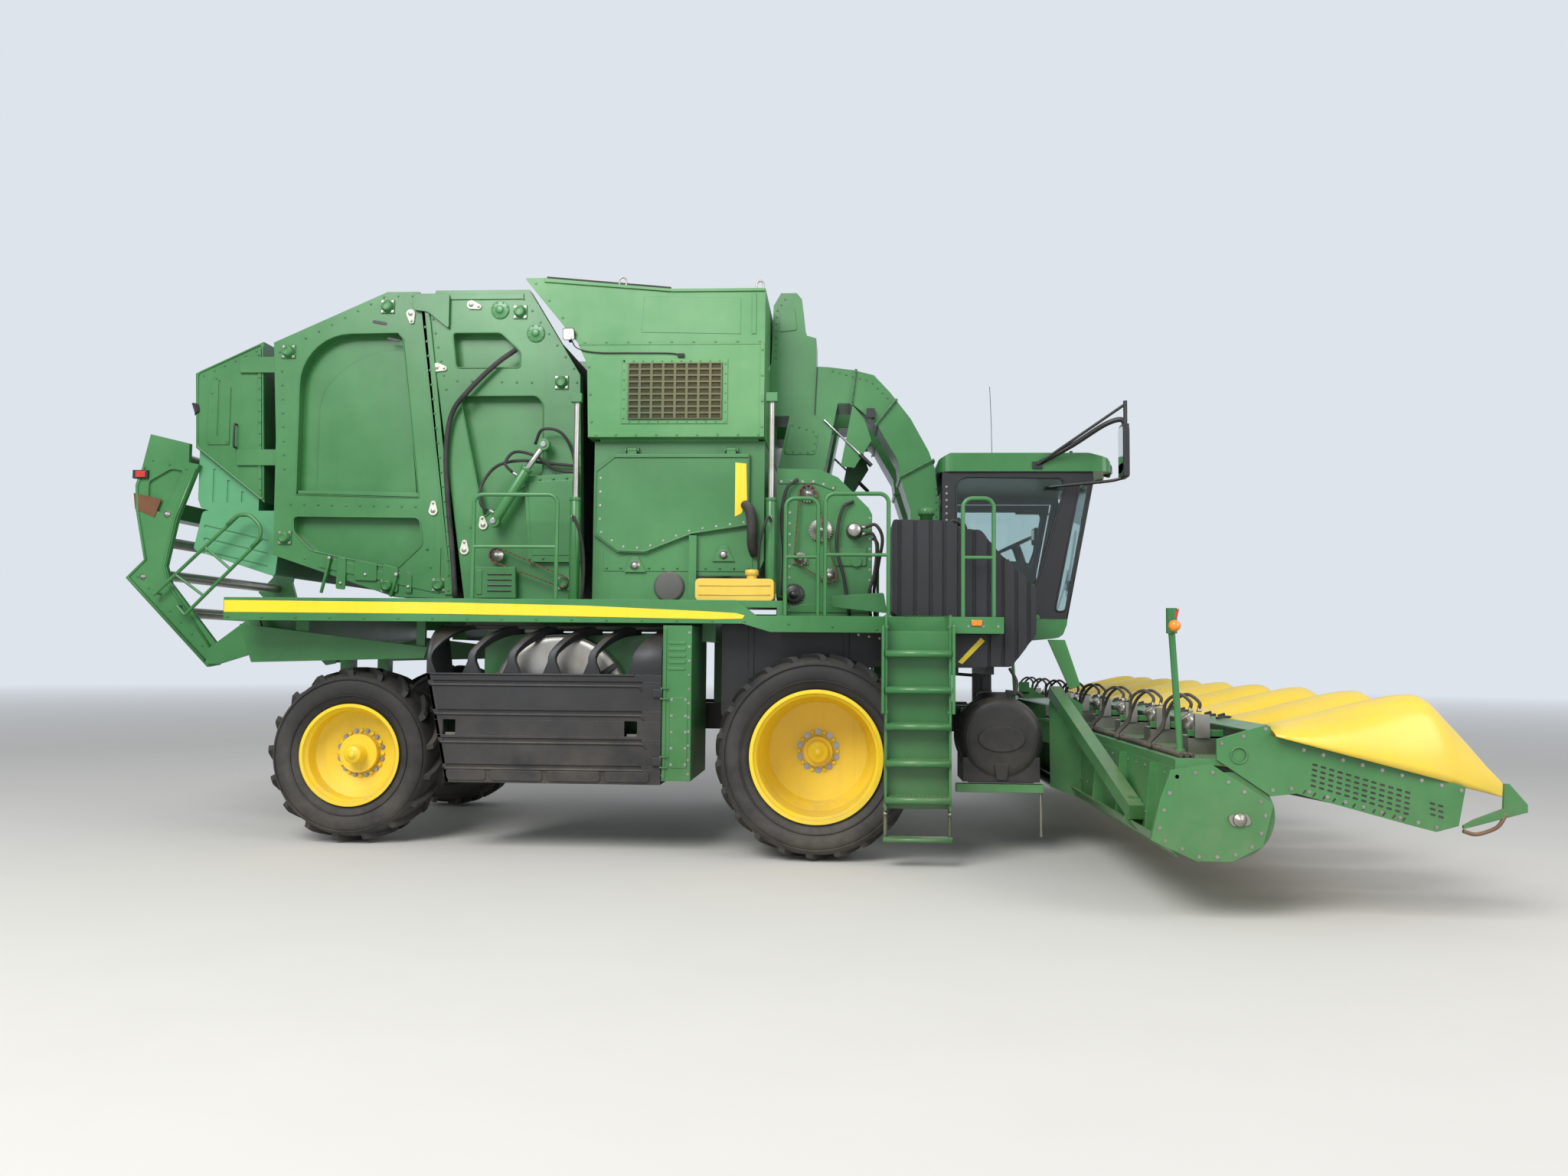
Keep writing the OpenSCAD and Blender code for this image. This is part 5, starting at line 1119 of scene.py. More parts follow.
driveParts = []
for x, z, radius in cleanerWheels:
    driveParts += [
        (addLathe, [(0.0, 0.02), (0.018, 0.02), (0.022, 0.008), (radius * 0.6, 0.006), (radius * 0.62, 0.0),
                    (radius - 0.004, 0.0), (radius, -0.006), (radius - 0.004, -0.012), (0.0, -0.012)],
         (x, drive["y"], z), rightward, 36),
        (addTeeth, (x, drive["y"], z), radius + 0.002, int(radius * drive["teethPerMetre"]), 0.010, 0.002,
         drive["tooth"], drive["tooth"])]
driveParts += [(addPlate, [(x - 0.075, z - 0.05), (x + 0.075, z - 0.05), (x + 0.045, z + 0.05),
                           (x - 0.045, z + 0.05)],
                -1.418, -1.399, 1) for x, z in ((-0.17, 2.58), (0.09, 2.43), (-0.11, 3.17))]
makePiece("cleanerDrive", "chassis", "bareSteel greenPaint blackPaint", driveParts + [
    (addLathe, [(0.075, 0.0), (0.075, 0.015), (0.06, 0.02), (0.06, 0.125), (0.052, 0.135), (0.0, 0.137)],
     drive["motor"], rightward, 32),
    (addLathe, [(0.064, 0.05), (0.064, 0.11)], drive["motor"], rightward, 32, 2)] + [
    (addRod, *((x, -1.47, z) for x in drive["portX"]), 0.017, 8) for z in (2.80, 2.86)] + [
    (addLathe, [(0.0, 0.03), (0.03, 0.03), (0.034, 0.012), (0.05, 0.01), (0.085, 0.01), (0.09, 0.0),
                (0.085, -0.01)],
     drive["gear"], rightward, 36, 2),
    (addTeeth, drive["gear"], 0.092, drive["gearTeeth"], 0.008, -0.010, 0.012, 0.014, 2)])
makePiece("cleanerHoses", "chassis", "rubber", [(addHose, run, 0.015) for run in (
    [(0.41, -1.47, 2.86), (0.50, -1.48, 2.88), (0.56, -1.46, 2.76), (0.53, -1.40, 2.55), (0.49, -1.36, 2.3),
     (0.50, -1.34, 2.07)],
    [(0.41, -1.47, 2.80), (0.47, -1.50, 2.80), (0.51, -1.49, 2.68), (0.49, -1.44, 2.45), (0.44, -1.42, 2.25),
     (0.46, -1.42, 2.07)],
    [(-0.20, -1.44, 3.30), (-0.30, -1.46, 3.20), (-0.34, -1.46, 2.95), (-0.32, -1.45, 2.6),
     (-0.33, -1.44, 2.25)],
    [(0.30, -1.42, 3.10), (0.20, -1.45, 3.02), (0.15, -1.45, 2.70), (0.22, -1.44, 2.40),
     (0.27, -1.43, 2.07)])])
makePiece("cleanerTrim", "chassis", "greenPaint", [
    (addPlate, [(-0.27, 2.10), (0.45, 2.10), (0.45, 2.22), (-0.27, 2.16)], -1.412, -1.399, 0, 0.01),
    (addPlate, [(-0.37, 3.30), (-0.02, 3.30), (0.14, 3.24), (0.12, 3.20), (-0.04, 3.26), (-0.37, 3.26)],
     -1.412, -1.399),
    (addPlate, [(0.14, 2.52), (0.42, 2.52), (0.42, 2.68), (0.14, 2.68)], -1.42, -1.399, 0, 0.02),
    (addPlate, [(0.11, 2.24), (0.57, 2.27), (0.60, 2.09), (0.12, 2.14)], -1.60, -1.585, 0, 0.02)],
          bevel=0.002)
chainPiece("cleanerChain", [cleanerWheels[3], cleanerWheels[2], cleanerWheels[1]], -1.455)
boltPiece("cleanerBolts", "chassis", sideRows([
    (-1.40, [(-0.27, 2.12), (-0.27, 3.0)]), (-1.40, [(0.45, 2.3), (0.45, 2.95)]),
    (-1.412, [(-0.35, 3.28), (-0.03, 3.28), (0.12, 3.22)])], -1), 0.09, 0.0075)
print("module builder and cleaner dressed")


# Accumulator: wire mesh behind the grille bars, its riveted frame, lips, hooks, rubber strip and sensor wire
def makeMeshTree():
    tree, inp, out = startGrowth("Wire Mesh", {"Wire Radius": ("Float", 0.002)})
    ring = put(tree, "GeometryNodeCurvePrimitiveCircle", {"Resolution": 4, "Radius": inp["Wire Radius"]})
    wires = put(tree, "GeometryNodeCurveToMesh", {"Curve": curveOf(tree, inp),
                                                  "Profile Curve": ring.outputs["Curve"]})
    return endGrowth(tree, inp, out, wires.outputs["Mesh"])


trees["mesh"] = makeMeshTree()
grille = {"x": (-1.72, -0.89), "z": (3.83, 4.32), "y": 1.566, "pitch": 0.011, "wire": 0.0016}
(x0, x1), (z0, z1), pitch = grille["x"], grille["z"], grille["pitch"]
wireEnds = []
for y in (grille["y"], -grille["y"]):
    for k in range(int((x1 - x0) / pitch) + 1):
        wireEnds += [(x0 + k * pitch, y, z0), (x0 + k * pitch, y, z1)]
    for k in range(int((z1 - z0) / pitch) + 1):
        wireEnds += [(x0, y, z0 + k * pitch), (x1, y, z0 + k * pitch)]
wireMesh = growMesh("grilleMesh", trees["mesh"], {"Wire Radius": grille["wire"],
                                                  "Finish": materials["grilleBrown"]},
                    [tuple(at(*point)) for point in wireEnds], [(k,
                                                                 k + 1) for k in range(0, len(wireEnds), 2)])
placePiece("grilleMesh", wireMesh, "chassis")

face = -1.55
makePiece("accumulatorTrim", "chassis", "fadedGreen bareSteel", [
    (addBlock, (x0, face - 0.008, z0), (x1, face + 0.001, z1)) for x0, z0, x1, z1 in (
        (-1.79, 4.33, -0.83, 4.37), (-1.79, 3.78, -0.83, 3.82), (-1.79, 3.82, -1.73, 4.33),
        (-0.88, 3.82, -0.83, 4.33))] + [
    (addPlate, outline, face + front, face + back) for outline, front, back in (
        ([(-2.19, 4.50), (-0.50, 4.50), (-0.50, 4.515), (-2.19, 4.515)], -0.004, 0.03),
        ([(-2.09, 3.66), (-0.50, 3.66), (-0.50, 3.70), (-2.09, 3.70)], -0.006, 0.001),
        ([(-0.54, 3.70), (-0.50, 3.70), (-0.50, 4.50), (-0.54, 4.50)], -0.006, 0.001),
        ([(-2.52, 5.125), (-1.34, 5.015), (-0.50, 5.015), (-0.50, 4.99), (-1.34, 4.99), (-2.52, 5.09)], 0.005,
         0.022),
        ([(-0.62, 4.60), (-0.58, 4.60), (-0.58, 4.97), (-0.62, 4.97)], 0.012, 0.022),
        ([(-1.62, 4.62), (-0.72, 4.60), (-0.72, 4.93), (-1.60, 4.95)], 0.016, 0.022))] + [
    (addHose, [(x + dx, face + 0.02, z + dz) for dx, dz in
               ((-0.03, -0.03), (-0.03, 0.03), (0.0, 0.055), (0.03, 0.03), (0.03, -0.03))], 0.009, 8, 1, 5)
    for x, z in ((-1.80, 5.075), (-0.55, 5.03))], bevel=0.002, mirrored=True)
makePiece("accumulatorRubber", "chassis", "rubber", [
    (addBeam, (-2.50, -1.526, 5.118), (-1.9, -1.526, 5.062), 0.012, 0.05),
    (addBeam, (-1.9, -1.526, 5.062), (-1.36, -1.526, 5.012), 0.012, 0.05),
    (addHose, [(-2.26, -1.556, 4.56), (-2.20, -1.562, 4.47), (-2.02, -1.562, 4.43), (-1.7, -1.562, 4.425),
               (-1.36, -1.562, 4.42), (-1.27, -1.562, 4.405)], 0.006, 6, 0, 5),
    (addBlock, (-1.285, -1.575, 4.385), (-1.225, -1.551, 4.415))], mirrored=True)
boltSides("grilleRivets", "chassis", [(-1.558, [(-1.77, 4.35), (-0.85, 4.35), (-0.85, 3.80), (-1.77, 3.80),
                                                (-1.77, 4.35)])], 0.085, 0.006, "fadedGreen", 12)
boltSides("accumulatorBolts", "chassis", [
    (-1.556, [(-2.02, 3.68), (-0.55, 3.68)]), (-1.55, [(-2.06, 3.8), (-2.09, 4.3)]),
    (-1.556, [(-0.52, 3.75), (-0.52, 4.45)]), (-1.53, [(-2.14, 4.53), (-0.55, 4.53)]),
    (-1.53, [(-2.6, 5.08), (-2.22, 4.6)])], 0.18, 0.008, "fadedGreen")


# Work lamps: a square housing with a glass face
def addWorkLamp(shape, place, aim, size):
    corners = ((-1, -0.75), (-0.75, -1), (0.75, -1), (1, -0.75), (1, 0.75), (0.75, 1), (-0.75, 1), (-1, 0.75))
    rings = [addRing(shape, at(*place), turnTo(aim), [(a * wide, b * wide, along) for a, b in corners])
             for wide, along in ((size * 0.7, -size * 0.9), (size * 0.95, -size * 0.25), (size, 0.0),
                                 (size * 0.9, 0.006))]
    bridgeAll(shape, rings, 0, False, (0, 1))


lampParts = []
for x, y, z, aim, size in ((-2.28, -1.535, 4.60, (0, -1, -0.35), 0.055),
                           (-0.52, -0.95, 4.40, (1, -0.3, -0.2), 0.05)):
    lampParts += [(addWorkLamp, (x, y - 0.03, z), aim, size),
                  (addBeam, (x, y - 0.02, z - 0.02), (x, y + 0.06, z - 0.05), 0.03, 0.012)]
makePiece("workLamps", "chassis", "blackPlastic lampLens", lampParts, bevel=0.002, mirrored=True)
makePiece("wrapLamps", "gate", "blackPlastic lampLens", [
    (addWorkLamp, (-5.93, -1.255, 3.99), (-0.8, -0.5, -0.3), 0.055),
    (addBeam, (-5.92, -1.235, 3.99), (-5.88, -1.235, 3.99), 0.02, 0.03)], bevel=0.002, mirrored=True)

# Ducts: bolted flanges, rubber seams, the flap, access plates and the flap's rod
makePiece("ductTrim", "chassis", "greenPaint blackPaint chromeRod", [
    (addBeam, (a[0], y, a[1]), (b[0], y, b[1]), 0.006, wide, slot, leftward) for a, b, y, wide, slot in (
        ((0.74, 3.40), (1.06, 3.57), -0.876, 0.045, 0), ((0.50, 3.89), (0.70, 4.14), -0.876, 0.045, 0),
        ((0.28, 4.11), (0.32, 4.425), -0.876, 0.045, 0), ((-0.07, 4.0), (-0.05, 4.46), -0.862, 0.04, 1),
        ((0.85, 2.95), (1.11, 2.95), -0.862, 0.04, 1))] + [
    (addPlate, [(0.18, 3.51), (0.31, 3.49), (0.47, 3.75), (0.40, 3.97), (0.29, 4.09)], -0.872, -0.859),
    (addPlate, [(-0.36, 3.62), (-0.06, 3.62), (-0.03, 3.85), (-0.30, 3.92)], -0.868, -0.859, 0, 0.03),
    (addPlate, [(0.90, 2.55), (1.07, 2.55), (1.07, 2.85), (0.90, 2.85)], -0.868, -0.859, 0, 0.02),
    (addPlate, [(-0.42, 4.80), (-0.24, 4.82), (-0.27, 5.04), (-0.40, 5.02)], -0.868, -0.859, 0, 0.03),
    (addBlock, (0.42, -0.93, 3.96), (0.50, -0.86, 4.05), 1),
    (addRod, (0.02, -0.875, 3.95), (0.36, -0.875, 3.62), 0.012, 12, 2),
    (addRod, (0.36, -0.875, 3.62), (0.47, -0.875, 3.51), 0.02, 12, 1)], bevel=0.002, mirrored=True)
boltSides("ductBolts", "chassis", [
    (-0.879, [(0.76, 3.41), (1.04, 3.56)]), (-0.879, [(0.51, 3.91), (0.69, 4.12)]),
    (-0.879, [(0.285, 4.13), (0.315, 4.41)]), (-0.868, [(-0.34, 3.64), (-0.08, 3.64), (-0.05, 3.83),
                                                        (-0.28, 3.90)]),
    (-0.868, [(0.92, 2.57), (0.92, 2.83)]), (-0.868, [(1.05, 2.57), (1.05, 2.83)]),
    (-0.86, [(-0.44, 4.55), (-0.44, 5.0), (-0.36, 5.12)]), (-0.86,
                                                            [(0.10, 4.42), (0.46, 4.32), (0.62, 4.16)]),
    (-0.86, [(1.08, 3.3), (1.08, 2.5)])], 0.065, 0.007)

# Bay door: raised lip and rim, yellow strip; the belly with its brackets, lift barrels and hoses below
face = -1.488
bayRim = [(-0.64, 3.50), (-0.64, 2.88), (-1.15, 2.80), (-1.57, 2.635), (-1.81, 2.645), (-2.02, 2.80),
          (-2.02, 3.36), (-1.84, 3.50)]
makePiece("bayDoorTrim", "bay_door", "greenPaint", [
    (addPlate, [(-1.84, 3.515), (-0.64, 3.515), (-0.64, 3.485), (-1.86, 3.485)], face - 0.014, face + 0.001),
    (addRim, bayRim, face - 0.002, 0.009)], bevel=0.002)
makePiece("bayDoorStripe", "bay_door", "yellowPaint", [
    (addPlate, [(-0.76, 3.44), (-0.66, 3.43), (-0.65, 3.10), (-0.70, 2.98), (-0.76, 2.95)], -1.4895, -1.487)])
face = -1.455
bellyParts = [(addPlate, [(-1.95, 2.66), (-1.81, 2.57), (-1.31, 2.77), (-0.82, 2.80), (-0.60, 2.83),
                          (-0.60, 2.46), (-1.95, 2.46)], -1.4475, -1.441)]
for x, z in ((-1.66, 2.50), (-0.86, 2.60)):
    bellyParts += [
        (addPlate, [(x - 0.10, z - 0.05), (x + 0.10, z - 0.05), (x + 0.03, z + 0.09), (x - 0.03, z + 0.09)],
         face - 0.012, face + 0.001),
        (addLathe, [(0.0, 0.035), (0.022, 0.033), (0.03, 0.02), (0.045, 0.012), (0.045, -0.002)],
         (x, face, z + 0.01), rightward, 20, 1)]
bellyParts += [
    (addBlock, (-1.17, -1.50, 2.19), (-1.10, -1.442, 2.78)),
    (addLathe, [(0.0, 0.02), (0.12, 0.018), (0.14, 0.0), (0.14, -0.03)], (-1.35, -1.45, 2.32), rightward, 36,
     2)]
liftHoses = []
for x, sway in ((-2.19, 0.10), (-0.43, -0.10)):
    bellyParts += [
        (addLathe, [(0.0, 0.0), (0.052, 0.0), (0.052, 0.03), (0.026, 0.035)], (x, -1.56, 3.08), upward),
        (addLathe, [(0.0465, 0.0), (0.0465, 0.93)], (x, -1.56, 2.15), upward, 32),
        (addBlock, (x - 0.05, -1.61, 3.97), (x + 0.05, -1.551, 4.05)),
        (addRod, (x, -1.60, 2.9), (x, -1.66, 2.93), 0.016, 10, 1)]
    liftHoses.append((addHose, [(x, -1.66, 2.93), (x + sway * 0.3, -1.68, 2.90),
                                (x + sway * 0.9, -1.66, 2.70),
                                (x + sway, -1.62, 2.45), (x + sway * 0.8, -1.60, 2.19)], 0.013))
makePiece("belly", "chassis", "greenPaint bareSteel castGrey", bellyParts, bevel=0.002, mirrored=True)
makePiece("liftHoses", "chassis", "rubber", liftHoses, mirrored=True)
makePiece("airElbow", "chassis", "rubber", [
    (addHose, [(-0.66, -1.46, 3.05), (-0.66, -1.50, 3.05), (-0.62, -1.55, 3.0), (-0.60, -1.56, 2.86),
               (-0.60, -1.52, 2.70), (-0.58, -1.46, 2.62)], 0.045, 14)])
boltPiece("bayDoorBolts", "bay_door", sideRows([(-1.488, [(-1.98, 3.3), (-1.98, 2.82), (-1.80, 2.68),
                                                          (-1.58, 2.665),
                                                          (-1.15, 2.83), (-0.68, 2.90)])], -1), 0.12, 0.007)
boltSides("bellyBolts", "chassis", [(-1.455, [(-1.92, 2.49), (-0.64, 2.49)])], 0.12, 0.007)

# Wrap box: rim, hinge strip and handle. Handler: rims, reflector plates, pins, rail bend and tail lamps
face = -1.26
makePiece("wrapTrim", "gate", "greenPaint blackPaint", [
    (addRim, roundCorners([(-5.90, 4.33), (-5.28, 4.61), (-5.22, 3.12), (-5.88, 3.63)], 0.04), face - 0.002,
     0.010),
    (addPlate, [(-5.32, 4.55), (-5.29, 4.56), (-5.235, 3.16), (-5.27, 3.19)], face - 0.012, face + 0.001),
    (addTube, roundedPath([(-5.50, face, 3.62), (-5.50, face - 0.05, 3.62), (-5.50, face - 0.05, 3.84),
                           (-5.50, face, 3.84)], 0.02), 0.010, 8, 1)], bevel=0.002, mirrored=True)
boltSides("wrapBolts", "gate", [
    (-1.26, [(-5.84, 4.31), (-5.34, 4.54)]), (-1.272, [(-5.305, 4.50), (-5.25, 3.22)]),
    (-1.27, [(-5.76, 3.67), (-5.59, 3.67)]), (-1.27, [(-5.75, 4.14), (-5.71, 4.28)])], 0.1, 0.007)
face = -1.27
makePiece("handlerTrim", "handler", "greenPaint rustedSteel bareSteel", [
    (addPipe, [(x, face - 0.004, z) for x, z in edge], 0.012, 6) for edge in (
        [(-5.64, 1.70), (-6.10, 2.33), (-6.15, 2.50), (-6.06, 2.96), (-5.88, 3.42)],
        [(-5.72, 1.62), (-6.49, 2.39), (-6.33, 2.56), (-6.43, 3.04), (-6.44, 3.26), (-6.38, 3.44)])] + [
    (addPlate, [(-6.47, 3.19), (-6.20, 3.13), (-6.26, 2.96), (-6.45, 3.04)], face - 0.008, face + 0.001,
     1)] + [
    (addLathe, [(0.0, 0.025), (radius * 0.5, 0.025), (radius * 0.55, 0.01), (radius, 0.008),
                (radius, -0.002)],
     (x, face, z), rightward, 20, 2) for x, z, radius in ((-6.14, 2.99, 0.03), (-6.35, 2.40, 0.026),
                                                         (-5.66, 1.66, 0.05))], mirrored=True)
railEnd = [(-5.50, 2.875), (-5.40, 2.975), (-5.29, 2.975), (-5.18, 2.87), (-5.18, 2.76), (-5.26, 2.67)]
makePiece("railBend", "handler", "greenPaint",
          [(addTube, roundedPath([(x, -1.372, z) for x, z in railEnd], 0.05), 0.0185, 12)])
makePiece("rearLamps", "handler", "redLens blackPlastic", [
    (addBlock, (-6.475, -1.30, 3.325), (-6.33, -1.255, 3.405), 1),
    (addBlock, (-6.44, -1.312, 3.335), (-6.345, -1.299, 3.395))], 0.004, True)
boltSides("handlerBolts", "handler", [(-1.27, [(-6.40, 2.40), (-5.75, 1.76)]),
                                      (-1.27, [(-5.97, 3.42), (-6.30, 3.5)])],
          0.14, 0.008)
print("upper body dressed")


# Cab: roof band, lamps, beacon and antennas
def addBand(shape, outline, low, high):
    rings = [[shape.verts.new(at(x, y, z)) for x, y in outline] for z in (low, high)]
    bridgeAll(shape, rings, 0, False, None)


roofLamps = {"x": 2.67, "z": 3.48, "y": (-0.76, -0.38, 0.38, 0.76), "aim": (1, 0, -0.12), "sides": 28}
roofParts = [(addBand, roundCorners([(1.10, -0.975), (2.69, -0.975), (2.69, 0.975), (1.10, 0.975)], 0.15, 6),
              3.441, 3.475)]
for y in roofLamps["y"]:
    lampPlace = (roofLamps["x"], y, roofLamps["z"]), roofLamps["aim"], roofLamps["sides"]
    roofParts += [
        (addLathe, [(0.0, -0.01), (0.052, -0.005), (0.06, 0.02), (0.062, 0.05), (0.054, 0.052)], *lampPlace),
        (addLathe, [(0.054, 0.046), (0.045, 0.056), (0.0, 0.060)], *lampPlace, 1)]
makePiece("roofBand", "chassis", "blackPlastic lampLens", roofParts)
makePiece("beacon", "chassis", "blackPlastic redLens", [
    (addLathe, [(0.0, 0.0), (0.055, 0.0), (0.06, 0.01), (0.06, 0.03)], (2.15, 0.0, 3.616), upward, 28),
    (addLathe, [(0.058, 0.03), (0.055, 0.09), (0.045, 0.125), (0.02, 0.138), (0.0, 0.14)], (2.15, 0.0, 3.616),
     upward, 28, 1)])
makePiece("antennas", "chassis", "blackPlastic yellowPlastic", [
    (addLathe, [(0.018, 0.0), (0.014, 0.02), (0.007, 0.03), (0.006, 0.05)], (1.62, -0.70, 3.60), upward, 12),
    (addPipe, [(1.62, -0.70, 3.64), (1.615, -0.70, 3.95), (1.60, -0.70, 4.30)], 0.003, 6),
    (addLathe, [(0.0, 0.0), (0.10, 0.0), (0.11, 0.02), (0.10, 0.06), (0.05, 0.08), (0.0, 0.082)],
     (1.80, 0.0, 3.614), upward, 32, 1)])

# Pane seals with the wiper, mirrors
paneEdges = [[(1.26, 2.37), (1.99, 2.37), (2.26, 3.29), (2.24, 3.385), (1.33, 3.395), (1.26, 3.34)],
             [(2.165, 2.14), (2.262, 2.14), (2.49, 3.35), (2.405, 3.35)]]
frontPane = [at(2.285, y, 2.08) for y in (-0.87, 0.87)] + [at(2.533, y, 3.37) for y in (0.87, -0.87)]
makePiece("paneSeals", "chassis", "blackPlastic", [
    (addRim, roundCorners(pane, 0.045), -0.951, 0.009, 8) for pane in paneEdges] + [
    (addTube, frontPane, 0.012, 8, 0, True),
    (addHose, [(2.31, -0.1, 2.10), (2.36, -0.28, 2.34), (2.42, -0.45, 2.62)], 0.009, 8, 0, 4),
    (addBeam, (2.355, -0.52, 2.30), (2.475, -0.38, 2.95), 0.02, 0.012),
    (addBlock, (2.28, -0.16, 2.05), (2.34, -0.04, 2.12))])
makePiece("mirrorArms", "chassis", "blackPaint", [
    (addHose, [(2.03, -0.985, 3.52), (2.30, -1.10, 3.66), (2.56, -1.25, 3.82), (2.70, -1.30, 3.86),
               (2.74, -1.30, 3.80)], 0.024, 8, 0, 5),
    (addHose, [(2.08, -0.985, 3.29), (2.30, -1.08, 3.30), (2.60, -1.24, 3.31), (2.72, -1.30, 3.33)], 0.014, 8,
     0, 5)],
          mirrored=True)


def addMirror(shape, z, low, high, radius):
    outline = roundCorners([(-0.10, low), (0.10, low), (0.10, high), (-0.10, high)], radius, 5)
    bridgeAll(shape, [[shape.verts.new(at(x, -1.315 + y * scale, z + h * scale)) for y, h in outline]
                      for x, scale in ((2.752, 0.9), (2.742, 1.02), (2.70, 1.02), (2.692, 0.92))], 0, True,
              (0, 1))


makePiece("mirrorHeads", "chassis", "blackPlastic mirrorFace", [
    (addMirror, 3.58, -0.225, 0.225, 0.05), (addMirror, 3.40, -0.075, 0.06, 0.03)], mirrored=True)

# Seat: crowned cushion and back with sewn channels
cushion = {"steps": 26, "channels": 4, "channelWidth": 0.018, "channelDepth": 0.010, "waist": 0.012}


def addCushion(shape, corner, along, out, length, width, thick, crown):
    corner, along, across, out = at(*corner), Vector(along), Vector(leftward), Vector(out)
    steps, channels = cushion["steps"], cushion["channels"]

    def height(u, v):
        edge = (1 - abs(2 * u - 1) ** 5) * (1 - abs(2 * v - 1) ** 5)
        channel = sum(math.exp(-((v - (k + 1) / (channels + 1)) / cushion["channelWidth"]) ** 2)
                      for k in range(channels))
        return thick * (0.35 + 0.65 * edge ** 0.5) + crown * edge - cushion["channelDepth"] * channel * edge
    top, low = {}, {}
    for i in range(steps + 1):
        for j in range(steps + 1):
            u, v = i / steps, j / steps
            waist = cushion["waist"] * math.sin(math.pi * u) * {0: 1, steps: -1}.get(j, 0)
            foot = corner + along * (length * u)
            top[i, j] = shape.verts.new(foot + across * (width * (v + waist)) + out * height(u, v))
            low[i, j] = shape.verts.new(foot + across * (width * v))
    for i in range(steps):
        for j in range(steps):
            for grid, order in ((top, 1), (low, -1)):
                corners = [grid[i, j], grid[i + 1, j], grid[i + 1, j + 1], grid[i, j + 1]]
                addFace(shape, corners[::order], 0, True)
    border = [(k, 0) for k in range(steps)] + [(steps, k) for k in range(steps)]
    border += [(k, steps) for k in range(steps, 0, -1)] + [(0, k) for k in range(steps, 0, -1)]
    for this, after in zip(border, border[1:] + border[:1]):
        addFace(shape, (top[this], low[this], low[after], top[after]), 0, True)


seatPad = makePiece("seatPads", "chassis", "seatFabric", [
    (addCushion, (1.42, -0.25, 2.40), (1, 0, 0), (0, 0, 1), 0.48, 0.50, 0.085, 0.045),
    (addCushion, (1.425, -0.235, 2.50), (-0.155, 0, 0.9878), (0.9878, 0, 0.155), 0.60, 0.47, 0.075, 0.03)],
                    replaced=["seat"])
seatBase = [(addBlock, (1.56, -0.16, 2.073), (1.80, 0.16, 2.12)),
            (addLathe, [(0.10 - 0.012 * (k % 2), 0.033 * k) for k in range(8)], (1.67, 0, 2.12), upward, 28),
            (addBlock, (1.43, -0.24, 2.355), (1.88, 0.24, 2.398))]
for y in (-0.29, 0.29):
    seatBase += [(addBeam, (1.42, y, 2.66), (1.74, y, 2.66), 0.06, 0.045),
                 (addBeam, (1.44, y, 2.45), (1.46, y, 2.66), 0.03, 0.03)]
makePiece("seatBase", "chassis", "blackPlastic", seatBase, bevel=0.004)

# Steering column and wheel, side console with its levers, display
steering = {"axis": (-0.42, 0, 0.907), "place": (1.93, 0, 2.845), "radius": 0.185, "grip": 0.0145,
            "sides": 40, "spokes": (90, 210, 330), "spokeEnds": (0.03, 0.18)}
wheelAxis, wheelCentre = steering["axis"], at(*steering["place"])
wheelTurn = turnTo(wheelAxis)
wheelRim = [wheelCentre + wheelTurn @ Vector(point)
            for point in circle(steering["radius"], steering["sides"])]
controls = [
    (addHose, [(2.13, 0, 2.075), (2.08, 0, 2.40), (1.98, 0, 2.72), (1.945, 0, 2.82)], 0.045, 14, 0, 5),
    (addTube, wheelRim, steering["grip"], 10, 0, True),
    (addLathe, [(0.0, 0.012), (0.04, 0.010), (0.05, -0.01), (0.045, -0.035), (0.0, -0.04)], wheelCentre,
     wheelAxis),
    (addPlate, [(1.50, 2.075), (2.05, 2.075), (2.06, 2.52), (1.98, 2.63), (1.55, 2.65), (1.50, 2.60)], -0.56,
     -0.33, 0, 0.05),
    (addHose, [(1.90, -0.44, 2.60), (1.92, -0.44, 2.72), (1.90, -0.44, 2.78)], lambda t: 0.014 + 0.014 * t,
     10, 0, 4),
    (addHose, [(1.98, -0.50, 2.56), (2.04, -0.52, 2.72), (2.05, -0.52, 2.80)], 0.012, 8, 0, 4)]
for degrees in steering["spokes"]:
    spoke = wheelTurn @ Vector((math.cos(math.radians(degrees)), math.sin(math.radians(degrees)), 0))
    controls.append((addBeam, *(wheelCentre + spoke * reach for reach in steering["spokeEnds"]), 0.028, 0.012,
                     0, wheelAxis))
controls += [(addBlock, (1.66 + 0.06 * k, -0.50, 2.64), (1.69 + 0.06 * k, -0.47, 2.66)) for k in range(3)]
makePiece("cabControls", "chassis", "blackPlastic", controls, replaced=["console"])
makePiece("cabDisplay", "chassis", "blackPlastic screenFace", [
    (addBeam, (2.05, -0.62, 2.88), (2.05, -0.42, 2.88), 0.03, 0.15),
    (addBeam, (2.033, -0.605, 2.88), (2.033, -0.435, 2.88), 0.005, 0.125, 1)], bevel=0.003)

